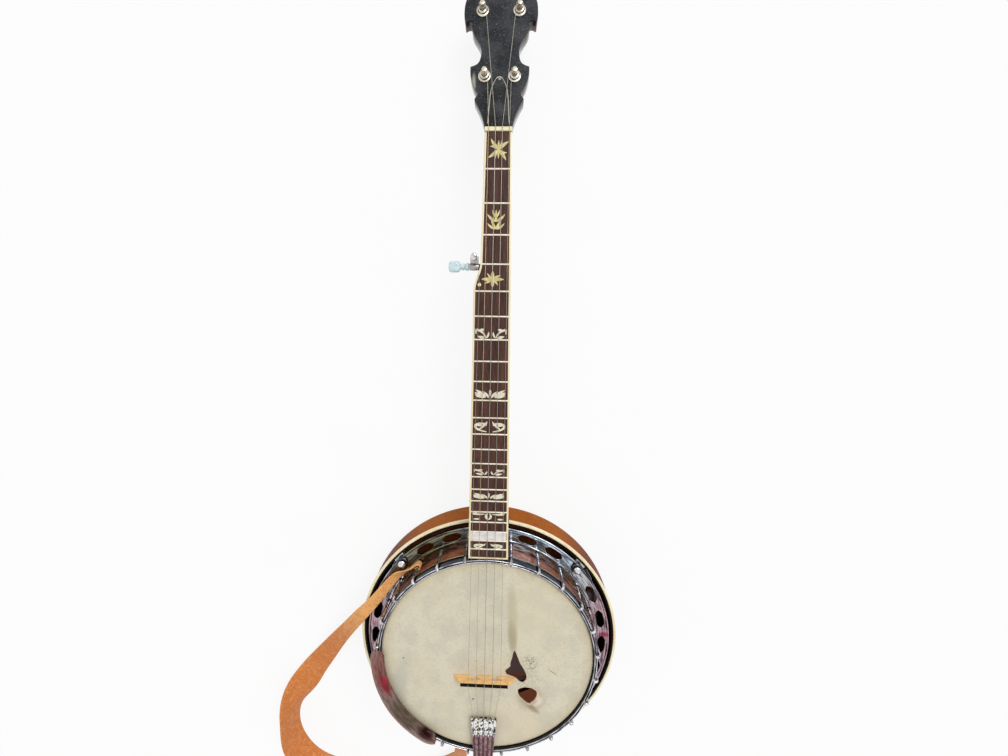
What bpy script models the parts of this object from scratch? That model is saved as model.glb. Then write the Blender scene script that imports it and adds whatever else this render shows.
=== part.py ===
"""Five-string resonator banjo, lying on the flat back of its resonator.

The origin is the centre of the resonator's back. +Y runs along the neck to the peghead, +Z comes
out of the head, and the short fifth string is on the -X side. Sizes are written in millimetres and
turned into metres by MM where a mesh is made.
"""

import math

import bmesh
import bpy
import numpy as np
from mathutils import Euler, Matrix, Vector

MM = 0.001
GAP = 0.3            # clearance between pieces that touch
WELD = 1e-6          # metres, merge distance

# Strings
SCALE_LENGTH = 667.0
FRETS = 22
BRIDGE_X = -2.0
STRING_RADII = (0.28, 0.36, 0.30, 0.22, 0.22)            # fourth, third, second, first, fifth
STRING_X_NUT = (-8.8, -1.3, 6.2, 13.7)
STRING_X_BRIDGE = (-12.3, -1.6, 9.1, 19.8, -23.0)
STRING_X_TAIL = (-8.6, -1.8, 5.0, 11.8, -15.4)
STRING_LIFT = 0.35   # from a string's underside to the nut or bridge below it
WINDING_TURNS = 2.5
WINDING_POINTS = 10
WINDING_GAP = 0.5
WINDING_OFF = 0.35   # from a post's side to the string wound on it

# Rings round the pot, each from the one inside it
RIM_R = 139.7
RIM_THICK = 14.0
HEAD_COLLAR = 1.3    # from the rim's side to the hoop's
HOOP_R0 = RIM_R + HEAD_COLLAR
HOOP_THICK = 3.9
HOOP_R1 = HOOP_R0 + HOOP_THICK
HOOK_R = HOOP_R1 + 2.3
FLANGE_OPEN_R0 = HOOK_R + 6.3
FLANGE_OPEN_R1 = FLANGE_OPEN_R0 + 10.0
FLANGE_R1 = FLANGE_OPEN_R1 + 5.5
SCREW_R = FLANGE_OPEN_R1 - 0.5
RES_WALL = 5.7
RES_R = FLANGE_R1 + 3.5 + RES_WALL
RES_BACK_R = RES_R - 14.6
RING_SEGMENTS = 54

# Heights, each from the one below it; the resonator's back is at 0
RES_BACK_THICK = 5.0
RES_TOP_Z = 61.0
FLANGE_THICK = 3.0
FLANGE_Z0 = RES_TOP_Z - 2.0
FLANGE_Z1 = FLANGE_Z0 + FLANGE_THICK
RIM_Z0 = FLANGE_Z0 - 29.0
RIM_Z1 = RIM_Z0 + 65.0
TONE_RING_H = 8.6
HEAD_THICK = 0.6
HEAD_Z = RIM_Z1 + TONE_RING_H + GAP + HEAD_THICK
HOOP_RISE = 4.5      # from the head to the hoop's top
HOOP_H = 15.7
HOOP_Z1 = HEAD_Z + HOOP_RISE
HOOP_Z0 = HOOP_Z1 - HOOP_H
HEAD_BEAD = 3.0
BEAD_Z0 = HOOP_Z0 - GAP - HEAD_BEAD

# Bracket hooks
HOOK_COUNT = 24
HOOK_ROD_R = 1.9
HOOK_NUT_R = 4.3
HOOK_NUT_H = 10.5
HOOK_FIRST_DEG = 11.35
HOOK_STEP_DEG = 14.5

# Holes torn in the head: the middle and reach of each, and its outline as shares of that reach
TEAR_X, TEAR_Y, TEAR_REACH = 39.5, -9.5, 24.0
TEAR_SHAPE = (
    (-0.10, 1.00),
    (-0.19, 0.79),
    (-0.24, 0.52),
    (-0.32, 0.24),
    (-0.35, -0.02),
    (-0.56, -0.26),
    (-0.59, -0.39),
    (-0.47, -0.55),
    (-0.21, -0.64),
    (0.05, -0.77),
    (0.17, -0.91),
    (0.36, -1.00),
    (0.53, -0.89),
    (0.60, -0.62),
    (0.48, -0.24),
    (0.25, 0.17),
    (0.08, 0.58),
)
HOLE_X, HOLE_Y, HOLE_REACH = 56.0, -53.5, 13.0
HOLE_SHAPE = (
    (-1.01, 0.60),
    (-0.96, 0.20),
    (-0.80, -0.15),
    (-0.42, -0.54),
    (0.12, -0.95),
    (0.50, -0.72),
    (0.78, -0.41),
    (0.97, 0.10),
    (0.90, 0.58),
    (0.42, 0.89),
    (-0.21, 0.98),
    (-0.73, 0.85),
)

# Flange's openings and thumbscrews
FLANGE_GAP_X = 22.5
FLANGE_OPEN_DEG = 10.2
SCREW_DEGREES = (46.4, 133.6, -133.6, -46.4)
SCREW_SHAFT_R = 2.6
SCREW_SHAFT_H = 17.0
SCREW_HEAD_R = 7.0

# Resonator
BINDING_W = 3.0
BINDING_H = 4.2
BINDING_PROUD = 0.5
NOTCH_X = 25.6
NOTCH_Z = RES_TOP_Z - 15.0
LUG_Z0 = FLANGE_Z0 - 19.0
LUG_DEPTH = 14.5
LUG_WIDTH = 16.0
LUG_CHAMFER = 3.0

# Coordinator rods and tailpiece
ROD_R = 4.5
ROD_BOLT_R = 2.6
ROD_UPPER_Z = RIM_Z0 + 47.0
ROD_LOWER_Z = RIM_Z0 + 18.0
ROD_ZS = (ROD_UPPER_Z, ROD_LOWER_Z)
ROD_NUT_R = 5.2
ROD_NUT_H = 4.5
ROD_HEEL_REACH = 14.0
TAIL_X = -1.8
TAIL_LENGTH = 66.4   # from the adjusting screw to the front lip
TAIL_SCREW_Y = -(HOOP_R1 + 8.8)
TAIL_SCREW_R = 1.8
TAIL_FRONT_Y = TAIL_SCREW_Y + TAIL_LENGTH
TAIL_PLATE_Z = HOOP_Z1 + 5.0
TAIL_PIN_Y = TAIL_FRONT_Y - 20.2
TAIL_PIN_H = 3.0
BRACKET_THICK = 2.2
BRACKET_HALF = 7.0

# Armrest
ARMREST_DEG0 = -85.0
ARMREST_DEG1 = -152.0
ARMREST_WIDE_FROM = -95.0   # from this angle down it widens by ARMREST_WIDER over 30 degrees
ARMREST_WIDER = 0.22
ARMREST_CLAMP_DEG = -(HOOK_FIRST_DEG + 7.5 * HOOK_STEP_DEG)
CLAMP_THICK = 2.8

# Bridge
BRIDGE_H = 16.0
BRIDGE_FOOT = 80.0
BRIDGE_TOP = 62.0
BRIDGE_CAP_H = 1.9
BRIDGE_BASE_T = 6.4
BRIDGE_TOP_T = 3.4
BRIDGE_ARCH = (       # from the outer foot to the middle one: share of half the foot, then height
    (0.442, 0.0),
    (0.450, 1.8),
    (0.582, 5.2),
    (0.525, 7.0),
    (0.195, 7.0),
    (0.135, 5.2),
    (0.248, 1.8),
    (0.255, 0.0),
)

# Neck
NECK_PITCH = 2.5     # degrees
NECK_SIN = math.sin(math.radians(NECK_PITCH))
NECK_COS = math.cos(math.radians(NECK_PITCH))
NECK_END_Y = HOOP_R1 + 0.4
NECK_END_Z = HEAD_Z + 2.2                                # board's top at its lower end


def fret_s(number):
    """A fret's distance from the nut."""
    return SCALE_LENGTH * (1.0 - 2.0 ** (-number / 12.0))


BOARD_LENGTH = fret_s(FRETS) + 13.2
BOARD_THICK = 5.0
BOARD_NUT_LEFT, BOARD_NUT_RIGHT = -12.9, 16.9
BOARD_END_HALF = 24.9
FLARE_LENGTH = 32.0
FLARE_S1 = fret_s(5)
FLARE_S0 = FLARE_S1 - FLARE_LENGTH
FLARE_LEFT0, FLARE_LEFT1 = -15.3, -23.0
BOARD_BINDING = 2.3
FRET_W = 2.2
FRET_H = 1.0
NUT_THICK = 5.0
NUT_H = 1.3          # above the board
NECK_DEPTH_NUT = 14.5
NECK_DEPTH_BODY = 19.0
HEEL_DEPTH = 64.0
HEEL_RUN = 55.0      # along the board, from the plain neck to the heel's full depth
HEEL_S = BOARD_LENGTH - HEEL_RUN - 8.0
TRUSS_SLOT_W = 6.4
TRUSS_SLOT_D = 8.0
TRUSS_ROD_R = 2.5
TRUSS_FOOT_S = HEEL_S - 3.0
TRUSS_NUT_H = 9.0
SPIKES = ((7, 4.4), (8, 7.0), (9, 6.8))                  # fret, and how far nutward of it
SPIKE_X = -17.2
SPIKE_R = 0.6
PIP_S = FLARE_S1 - 6.9
PIP_X = -16.1
PIP_R = 2.0
PIP_H = 2.0
BRIDGE_Y = NECK_END_Y - (SCALE_LENGTH - BOARD_LENGTH) * NECK_COS

# Peghead
PEG_TILT = 11.5      # degrees back from the neck
PEG_X = 1.6
PEG_ORIGIN_S = -(NUT_THICK + 2 * GAP)
PEG_TURN = math.radians(NECK_PITCH + PEG_TILT)
OVERLAY_THICK = 2.0
PEGHEAD_THICK = 15.0
POCKET_V = 34.0      # how far the truss rod's pocket runs up the peghead
TUNER_PLACES = ((-16.4, 57.0), (-20.2, 130.6), (20.2, 130.6), (16.4, 57.0))
TUNER_SLEEVE_R = 5.2
TUNER_FERRULE_R = 7.0
TUNER_BORE_R = 3.2
TUNER_POST_R = 2.8
TUNER_POST_H = 12.0
TUNER_BODY_R = 8.5
TUNER_BODY_H = 10.0
TUNER_BUTTON_BACK = 44.0
TUNER_BUTTON_W, TUNER_BUTTON_D = 21.0, 12.5

# Fifth peg
FIFTH_Y = NECK_END_Y + (BOARD_LENGTH - FLARE_S0 - 4.7) * NECK_COS
FIFTH_DROP = 10.0    # its axis below the board's top
FIFTH_COLLAR_X = FLARE_LEFT1 - 6.0
FIFTH_SHANK_R = 3.0
FIFTH_SHAFT_R = 1.9
FIFTH_SOCKET_X = -8.0
FIFTH_POST_X = FLARE_LEFT1 + 0.4
FIFTH_POST_Y = FIFTH_Y + 10.0
FIFTH_POST_R = 2.4
FIFTH_CASE_HALF = 4.6
FIFTH_CASE_UP = 5.0
FIFTH_CASE_DOWN = 3.5

# Strap, tied round the rods of two hooks
STRAP_THICK = 1.8
STRAP_LIFT = 0.2
STRAP_HOOKS = (-(HOOK_FIRST_DEG + 2 * HOOK_STEP_DEG), -(HOOK_FIRST_DEG + 11 * HOOK_STEP_DEG))
STRAP_EYE_R = HOOK_ROD_R + 1.7
STRAP_EYE_Z = FLANGE_Z1 + 8.0
STRAP_EYE_HALF = 6.0


def clear_scene():
    for item in list(bpy.data.objects):
        bpy.data.objects.remove(item, do_unlink=True)


def material(name, color, roughness, metallic):
    made = bpy.data.materials.new(name)
    made.use_nodes = True
    shader = made.node_tree.nodes["Principled BSDF"]
    shader.inputs["Base Color"].default_value = (*color, 1.0)
    shader.inputs["Roughness"].default_value = roughness
    shader.inputs["Metallic"].default_value = metallic
    made.diffuse_color = (*color, 1.0)
    return made


FINISHES = {
    "chrome": ((0.80, 0.80, 0.82), 0.12, 1.0),
    "brass": ((0.70, 0.52, 0.25), 0.3, 1.0),
    "rim_wood": ((0.24, 0.07, 0.03), 0.2, 0.0),
    "sunburst": ((0.50, 0.19, 0.05), 0.18, 0.0),
    "neck_wood": ((0.20, 0.07, 0.03), 0.3, 0.0),
    "rosewood": ((0.055, 0.025, 0.02), 0.4, 0.0),
    "ivoroid": ((0.82, 0.74, 0.52), 0.3, 0.0),
    "bone": ((0.85, 0.79, 0.60), 0.35, 0.0),
    "skin": ((0.78, 0.70, 0.55), 0.6, 0.0),
    "maple": ((0.66, 0.47, 0.25), 0.45, 0.0),
    "ebony": ((0.02, 0.018, 0.017), 0.3, 0.0),
    "black_lacquer": ((0.012, 0.012, 0.012), 0.15, 0.0),
    "pearl": ((0.72, 0.76, 0.80), 0.2, 0.0),
    "steel": ((0.62, 0.61, 0.60), 0.25, 1.0),
    "suede": ((0.62, 0.27, 0.09), 0.9, 0.0),
}


def finish(obj, slot):
    """Gives the object a material of its own, made from the named finish."""
    color, roughness, metallic = FINISHES[slot]
    obj.data.materials.clear()
    obj.data.materials.append(material(f"{obj.name}_{slot}", color, roughness, metallic))
    return obj


def mesh_object(name, bm, slot, parent=None, sharp_deg=35.0):
    """Turns a bmesh, in metres, into a smooth-shaded object with outward faces."""
    bmesh.ops.remove_doubles(bm, verts=bm.verts, dist=WELD)
    bmesh.ops.recalc_face_normals(bm, faces=bm.faces)
    mesh = bpy.data.meshes.new(name)
    bm.to_mesh(mesh)
    bm.free()
    mesh.shade_smooth()
    mesh.set_sharp_from_angle(angle=math.radians(sharp_deg))
    obj = bpy.data.objects.new(name, mesh)
    bpy.context.scene.collection.objects.link(obj)
    obj.parent = parent
    return finish(obj, slot)


def empty(name, location, rotation, parent=None):
    obj = bpy.data.objects.new(name, None)
    bpy.context.scene.collection.objects.link(obj)
    obj.parent = parent
    obj.location = [value * MM for value in location]
    obj.rotation_euler = rotation
    return obj


def add_rings(bm, rings, loop=False):
    """Skins rings of points (mm) into a closed shell. A loop joins its last ring to its first."""
    rows = [[bm.verts.new(Vector(point) * MM) for point in ring] for ring in rings]
    pairs = list(zip(rows, rows[1:])) + ([(rows[-1], rows[0])] if loop else [])
    for low, high in pairs:
        for i in range(len(low)):
            j = (i + 1) % len(low)
            bm.faces.new((low[i], low[j], high[j], high[i]))
    if not loop:
        bm.faces.new(rows[0][::-1])
        bm.faces.new(rows[-1])


def add_prism(bm, outline, z0, z1):
    """Extrudes an outline of (x, y) points in mm between two heights."""
    face = bm.faces.new([bm.verts.new(Vector((x, y, z0)) * MM) for x, y in outline])
    moved = bmesh.ops.extrude_face_region(bm, geom=[face])["geom"]
    verts = [item for item in moved if isinstance(item, bmesh.types.BMVert)]
    bmesh.ops.translate(bm, verts=verts, vec=(0.0, 0.0, (z1 - z0) * MM))


def circle(radius, z, count=RING_SEGMENTS, center=(0.0, 0.0), turn=0.0):
    step = 2 * math.pi / count
    return [
        (
            center[0] + radius * math.cos(turn + i * step),
            center[1] + radius * math.sin(turn + i * step),
            z,
        )
        for i in range(count)
    ]


def turned(name, profile, slot, closed=False, count=RING_SEGMENTS, parent=None, axis=None):
    """A turned piece from (radius, height) points; closed makes a ring round a bore."""
    bm = bmesh.new()
    rings = [circle(radius, z, count) for radius, z in profile]
    add_rings(bm, rings, loop=closed)
    if axis is not None:
        bmesh.ops.transform(bm, matrix=axis, verts=bm.verts)
    return mesh_object(name, bm, slot, parent)


def prism(name, outline, z0, z1, slot, parent=None):
    bm = bmesh.new()
    add_prism(bm, outline, z0, z1)
    return mesh_object(name, bm, slot, parent)


def side_prism(name, outline, x0, x1, slot, parent=None):
    """Extrudes a side view of (y, z) points in mm along X."""
    bm = bmesh.new()
    face = bm.faces.new([bm.verts.new(Vector((x0, y, z)) * MM) for y, z in outline])
    moved = bmesh.ops.extrude_face_region(bm, geom=[face])["geom"]
    verts = [item for item in moved if isinstance(item, bmesh.types.BMVert)]
    bmesh.ops.translate(bm, verts=verts, vec=((x1 - x0) * MM, 0.0, 0.0))
    return mesh_object(name, bm, slot, parent)


def helper(obj):
    """Marks an object as a cutter, which is neither rendered nor built."""
    obj.hide_render = True
    obj.display_type = "WIRE"
    return obj


def boolean(obj, other, operation):
    modifier = obj.modifiers.new(f"{operation.lower()}_{other.name}", "BOOLEAN")
    modifier.operation = operation
    modifier.solver = "EXACT"
    modifier.object = helper(other)


def cut(obj, other):
    boolean(obj, other, "DIFFERENCE")


def join(obj, other):
    boolean(obj, other, "UNION")


def keep_inside(obj, other):
    boolean(obj, other, "INTERSECT")


def axis_matrix(location, direction):
    """Takes a shape made along +Z to stand at location (mm) along direction."""
    turn = Vector((0, 0, 1)).rotation_difference(Vector(direction)).to_matrix().to_4x4()
    return Matrix.Translation(Vector(location) * MM) @ turn


def rod_cutter(name, start, end, radius, count=16, parent=None):
    """A plain cylinder between two points in mm."""
    length = (Vector(end) - Vector(start)).length
    place = axis_matrix(start, Vector(end) - Vector(start))
    return turned(name, [(radius, 0.0), (radius, length)], "steel", False, count, parent, place)


def polar(radius, degrees, z=0.0):
    """A point at an angle measured from +Y toward +X."""
    angle = math.radians(degrees)
    return Vector((radius * math.sin(angle), radius * math.cos(angle), z))


def hook_degrees():
    half = [HOOK_FIRST_DEG + HOOK_STEP_DEG * i for i in range(HOOK_COUNT // 2)]
    return half + [-degrees for degrees in half]


def blend(start, end, share):
    """A smooth step from start to end as share goes from 0 to 1."""
    share = min(max(share, 0.0), 1.0)
    return start + (end - start) * (0.5 - 0.5 * math.cos(math.pi * share))


# The neck's frame: x across, y from the board's lower end toward the nut, z off the board's top


def board_right(s):
    return BOARD_NUT_RIGHT + (BOARD_END_HALF - BOARD_NUT_RIGHT) * s / BOARD_LENGTH


def board_left(s):
    if s <= FLARE_S0:
        return BOARD_NUT_LEFT + (FLARE_LEFT0 - BOARD_NUT_LEFT) * s / FLARE_S0
    if s <= FLARE_S1:
        return blend(FLARE_LEFT0, FLARE_LEFT1, (s - FLARE_S0) / (FLARE_S1 - FLARE_S0))
    share = (s - FLARE_S1) / (BOARD_LENGTH - FLARE_S1)
    return FLARE_LEFT1 + (-BOARD_END_HALF - FLARE_LEFT1) * share


def spike_places():
    """Distances of the capo spikes from the nut."""
    return [fret_s(number) - behind for number, behind in SPIKES]


def neck_world(x, s, z):
    """World place, in mm, of a point of the neck's frame given by its distance from the nut."""
    d = BOARD_LENGTH - s
    return Vector((x, NECK_END_Y + d * NECK_COS + z * NECK_SIN, NECK_END_Z - d * NECK_SIN + z * NECK_COS))


def peg_world(x, v, w):
    """World place, in mm, of a point of the peghead's frame: v along it, w off its face."""
    origin = neck_world(0.0, PEG_ORIGIN_S, -BOARD_THICK)
    along = Vector((0.0, math.cos(PEG_TURN), -math.sin(PEG_TURN)))
    out = Vector((0.0, math.sin(PEG_TURN), math.cos(PEG_TURN)))
    return origin + Vector((x, 0.0, 0.0)) + along * v + out * w


def board_outline(inset, s0, s1):
    """The board seen from above, as (x, y) points, drawn in by inset on both sides."""
    stations = [s0, FLARE_S0]
    stations += [FLARE_S0 + (FLARE_S1 - FLARE_S0) * i / 8 for i in range(1, 9)]
    stations += [s1]
    left = [(board_left(s) + inset, BOARD_LENGTH - s) for s in stations]
    right = [(board_right(s) - inset, BOARD_LENGTH - s) for s in (s0, s1)]
    return left + right[::-1]


def make_rim():
    inner = RIM_R - RIM_THICK
    rim = turned(
        "rim",
        [(inner, RIM_Z0), (RIM_R, RIM_Z0), (RIM_R, RIM_Z1), (inner, RIM_Z1)],
        "rim_wood",
        closed=True,
    )
    for index, z in enumerate(ROD_ZS):
        reach = RIM_R + 20.0
        hole = rod_cutter(f"rim_hole_{index}", (0, -reach, z), (0, reach, z), ROD_BOLT_R + 2 * GAP, 8)
        cut(rim, hole)
    z0 = RIM_Z1 + GAP
    top = z0 + TONE_RING_H - GAP
    turned(
        "tone_ring",
        [
            (inner, z0),
            (RIM_R, z0),
            (RIM_R, top - 2.8),
            (RIM_R - 2.4, top),
            (RIM_R - 6.7, top - 1.1),
            (inner, z0 + 2.2),
        ],
        "brass",
        closed=True,
    )


def torn_hole(name, middle, reach, shape, z0, z1):
    """The cutter for one hole torn in the head."""
    outline = [(middle[0] + reach * x, middle[1] + reach * y) for x, y in shape]
    return prism(name, outline, z0, z1, "skin")


def make_head():
    inner = RIM_R + GAP
    outer = HOOP_R0 - GAP
    bead = HOOP_R1 - 1.0
    under = HEAD_Z - HEAD_THICK
    bead_top = BEAD_Z0 + HEAD_BEAD
    head = turned(
        "head",
        [
            (RIM_R - 2.1, under),
            (inner, under - 2.8),
            (inner, BEAD_Z0),
            (bead, BEAD_Z0),
            (bead, bead_top),
            (outer, bead_top),
            (outer, HEAD_Z - 3.3),
            (RIM_R - 1.9, HEAD_Z),
        ],
        "skin",
    )
    low, high = under - 2.0, HEAD_Z + 2.0
    cut(head, torn_hole("head_tear", (TEAR_X, TEAR_Y), TEAR_REACH, TEAR_SHAPE, low, high))
    cut(head, torn_hole("head_hole", (HOLE_X, HOLE_Y), HOLE_REACH, HOLE_SHAPE, low, high))


def hook_rings(degrees):
    """One bracket hook with its nut, as six-sided rings along a J-shaped path."""
    nut_top = FLANGE_Z0 - GAP
    nut_foot = nut_top - HOOK_NUT_H
    groove = HOOP_R0 + 0.5 * HOOP_THICK
    path = [
        (groove, HOOP_Z1 - 1.8, 1.5),
        (groove + 1.6, HOOP_Z1 + 2.0, 1.8),
        (HOOK_R, HOOP_Z1 - 1.2, HOOK_ROD_R),
        (HOOK_R, nut_top, HOOK_ROD_R),
        (HOOK_R, nut_top, HOOK_NUT_R),
        (HOOK_R, nut_foot, HOOK_NUT_R),
    ]
    out = polar(1.0, degrees)
    side = Vector((out.y, -out.x, 0.0))
    up = Vector((0.0, 0.0, 1.0))
    lean = (70.0, 0.0, -80.0, -90.0, -90.0, -90.0)
    rings = []
    for (r, z, radius), slope in zip(path, lean):
        slope = math.radians(slope)
        across = out * -math.sin(slope) + up * math.cos(slope)
        center = out * r + up * z
        rings.append(
            [
                center + (side * math.cos(a) + across * math.sin(a)) * radius
                for a in np.linspace(0.0, 2 * math.pi, 6, endpoint=False)
            ]
        )
    return rings


def make_tension_hoop():
    r0 = HOOP_R0
    r1 = HOOP_R1
    top = HOOP_Z1
    hoop = turned(
        "tension_hoop",
        [
            (r0, HOOP_Z0),
            (r1, HOOP_Z0),
            (r1, top),
            (r1 - 1.2, top),
            (r1 - 1.4, top - 2.2),
            (r0 + 1.4, top - 2.2),
            (r0 + 1.2, top),
            (r0, top),
        ],
        "chrome",
        closed=True,
    )
    bm = bmesh.new()
    for degrees in hook_degrees():
        add_rings(bm, hook_rings(degrees))
    join(hoop, mesh_object("hooks_and_nuts", bm, "chrome"))


def arc_points(radius, start, end, count):
    return [polar(radius, a) for a in np.linspace(start, end, count)]


def add_spline(curve, points):
    """Adds a closed outline, in metres, to a flat curve."""
    spline = curve.splines.new("POLY")
    spline.points.add(len(points) - 1)
    for item, point in zip(spline.points, points):
        item.co = (point[0] * MM, point[1] * MM, 0.0, 1.0)
    spline.use_cyclic_u = True


def flange_opening(middle):
    """The outline of one opening of the flange, with its ends drawn to points."""
    half = FLANGE_OPEN_DEG / 2
    inner = arc_points(FLANGE_OPEN_R0, middle - half * 0.65, middle + half * 0.65, 2)
    outer = arc_points(FLANGE_OPEN_R1, middle + half * 0.65, middle - half * 0.65, 2)
    mean = (FLANGE_OPEN_R0 + FLANGE_OPEN_R1) / 2
    return inner + [polar(mean, middle + half)] + outer + [polar(mean, middle - half)]


def opening_degrees():
    """The middle of each gap between two hooks that has no thumbscrew in it."""
    ordered = sorted(hook_degrees())
    middles = [(a + b) / 2 for a, b in zip(ordered, ordered[1:])]
    near_screw = [min(abs(m - s) for s in SCREW_DEGREES) < HOOK_STEP_DEG / 2 for m in middles]
    return [m for m, near in zip(middles, near_screw) if not near and abs(m) > HOOK_FIRST_DEG]


def make_flange():
    r0 = RIM_R + GAP
    a0 = math.degrees(math.asin(FLANGE_GAP_X / r0))
    a1 = math.degrees(math.asin(FLANGE_GAP_X / FLANGE_R1))
    curve = bpy.data.curves.new("flange", "CURVE")
    curve.dimensions = "2D"
    curve.fill_mode = "BOTH"
    curve.extrude = FLANGE_THICK / 2 * MM
    outer = arc_points(FLANGE_R1, a1, 360.0 - a1, RING_SEGMENTS)
    inner = arc_points(r0, 360.0 - a0, a0, RING_SEGMENTS)
    add_spline(curve, outer + inner)
    for degrees in hook_degrees():
        center = polar(HOOK_R, degrees)
        add_spline(curve, circle(HOOK_ROD_R + 3 * GAP, 0.0, 6, center))
    for degrees in SCREW_DEGREES:
        center = polar(SCREW_R, degrees)
        add_spline(curve, circle(SCREW_SHAFT_R + 2 * GAP, 0.0, 8, center))
    for middle in opening_degrees():
        add_spline(curve, flange_opening(middle))
    flange = bpy.data.objects.new("flange", curve)
    flange.location = (0.0, 0.0, (FLANGE_Z0 + FLANGE_THICK / 2) * MM)
    bpy.context.scene.collection.objects.link(flange)
    finish(flange, "chrome")


def make_resonator():
    inner = RES_R - RES_WALL
    lip = inner + RES_WALL - BINDING_W - GAP
    shelf = RES_TOP_Z - BINDING_H + BINDING_PROUD - GAP
    seat = RES_BACK_R + GAP
    wall = turned(
        "resonator_wall",
        [
            (seat, 0.0),
            (RES_R - 6.0, 3.4),
            (RES_R, 17.0),
            (RES_R, shelf),
            (lip, shelf),
            (lip, RES_TOP_Z),
            (inner, RES_TOP_Z),
            (inner, 17.0),
            (seat, RES_BACK_THICK),
        ],
        "sunburst",
        closed=True,
    )
    binding = turned(
        "resonator_binding",
        [
            (lip + GAP, shelf + GAP),
            (RES_R + BINDING_PROUD, shelf + GAP),
            (RES_R + BINDING_PROUD, RES_TOP_Z),
            (RES_R, RES_TOP_Z + BINDING_PROUD),
            (lip + GAP, RES_TOP_Z + BINDING_PROUD),
        ],
        "ivoroid",
        closed=True,
    )
    turned(
        "resonator_back",
        [(RES_BACK_R, 0.0), (RES_BACK_R, RES_BACK_THICK)],
        "sunburst",
    )
    reach = RES_R + 20.0
    outline = [(-NOTCH_X, RIM_R), (NOTCH_X, RIM_R), (NOTCH_X, reach), (-NOTCH_X, reach)]
    cut(wall, prism("wall_notch", outline, NOTCH_Z, RES_TOP_Z + 10.0, "steel"))
    cut(binding, prism("binding_notch", outline, NOTCH_Z, RES_TOP_Z + 10.0, "steel"))


def make_lugs_and_screws():
    """Lugs inside the resonator's wall and the thumbscrews that come down into them."""
    wall_r = (RES_R - RES_WALL) * math.cos(math.pi / RING_SEGMENTS) - GAP
    screw_profile = [
        (SCREW_SHAFT_R, -SCREW_SHAFT_H),
        (SCREW_SHAFT_R, 0.0),
        (SCREW_HEAD_R, 0.0),
        (SCREW_HEAD_R, 2.0),
        (3.7, 3.0),
        (5.2, 4.8),
        (5.2, 7.4),
        (3.2, 8.6),
    ]
    seat_z = FLANGE_Z1 + GAP
    for index, degrees in enumerate(SCREW_DEGREES, start=1):
        turn = Matrix.Rotation(math.radians(-degrees), 4, "Z")
        half = LUG_WIDTH / 2
        edge_y = math.sqrt(wall_r**2 - half**2)
        back_y = edge_y - LUG_DEPTH
        outline = [
            (-half, edge_y),
            (-half, back_y + LUG_CHAMFER),
            (-half + LUG_CHAMFER, back_y),
            (half - LUG_CHAMFER, back_y),
            (half, back_y + LUG_CHAMFER),
            (half, edge_y),
            (half / 2, math.sqrt(wall_r**2 - half**2 / 4)),
            (-half / 2, math.sqrt(wall_r**2 - half**2 / 4)),
        ]
        bm = bmesh.new()
        add_prism(bm, outline, LUG_Z0, FLANGE_Z0 - GAP)
        bmesh.ops.transform(bm, matrix=turn, verts=bm.verts)
        lug = mesh_object(f"resonator_lug_{index}", bm, "steel")
        place = polar(SCREW_R, degrees)
        low = (place.x, place.y, LUG_Z0 - 5.0)
        high = (place.x, place.y, FLANGE_Z0 + 5.0)
        cut(lug, rod_cutter(f"lug_hole_{index}", low, high, SCREW_SHAFT_R + GAP, 12))
        screw = turned(f"resonator_thumbscrew_{index}", screw_profile, "chrome", count=12)
        screw.location = (place.x * MM, place.y * MM, seat_z * MM)


def make_coordinator_rods():
    """Two rods through the pot: a bolt into the heel, the rod, and a bolt and nut at the tail."""
    inner = RIM_R - RIM_THICK
    outer = RIM_R + GAP
    bracket = BRACKET_THICK + GAP
    for name, z, pad in (("upper", ROD_UPPER_Z, bracket), ("lower", ROD_LOWER_Z, 0.0)):
        nut_y = outer + pad
        profile = [
            (ROD_BOLT_R, -(nut_y + ROD_NUT_H + 2.0)),
            (ROD_BOLT_R, -(nut_y + ROD_NUT_H)),
            (ROD_NUT_R, -(nut_y + ROD_NUT_H)),
            (ROD_NUT_R, -nut_y),
            (ROD_BOLT_R, -nut_y),
            (ROD_BOLT_R, -(inner - 1.2)),
            (ROD_R, -(inner - 1.2)),
            (ROD_R, inner - 9.0),
            (ROD_NUT_R, inner - 6.0),
            (ROD_NUT_R, inner - 1.2),
            (ROD_BOLT_R, inner - 1.2),
            (ROD_BOLT_R, outer + ROD_HEEL_REACH),
        ]
        place = axis_matrix((0.0, 0.0, z), (0.0, 1.0, 0.0))
        turned(f"coordinator_rod_{name}", profile, "steel", count=12, axis=place)


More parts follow.
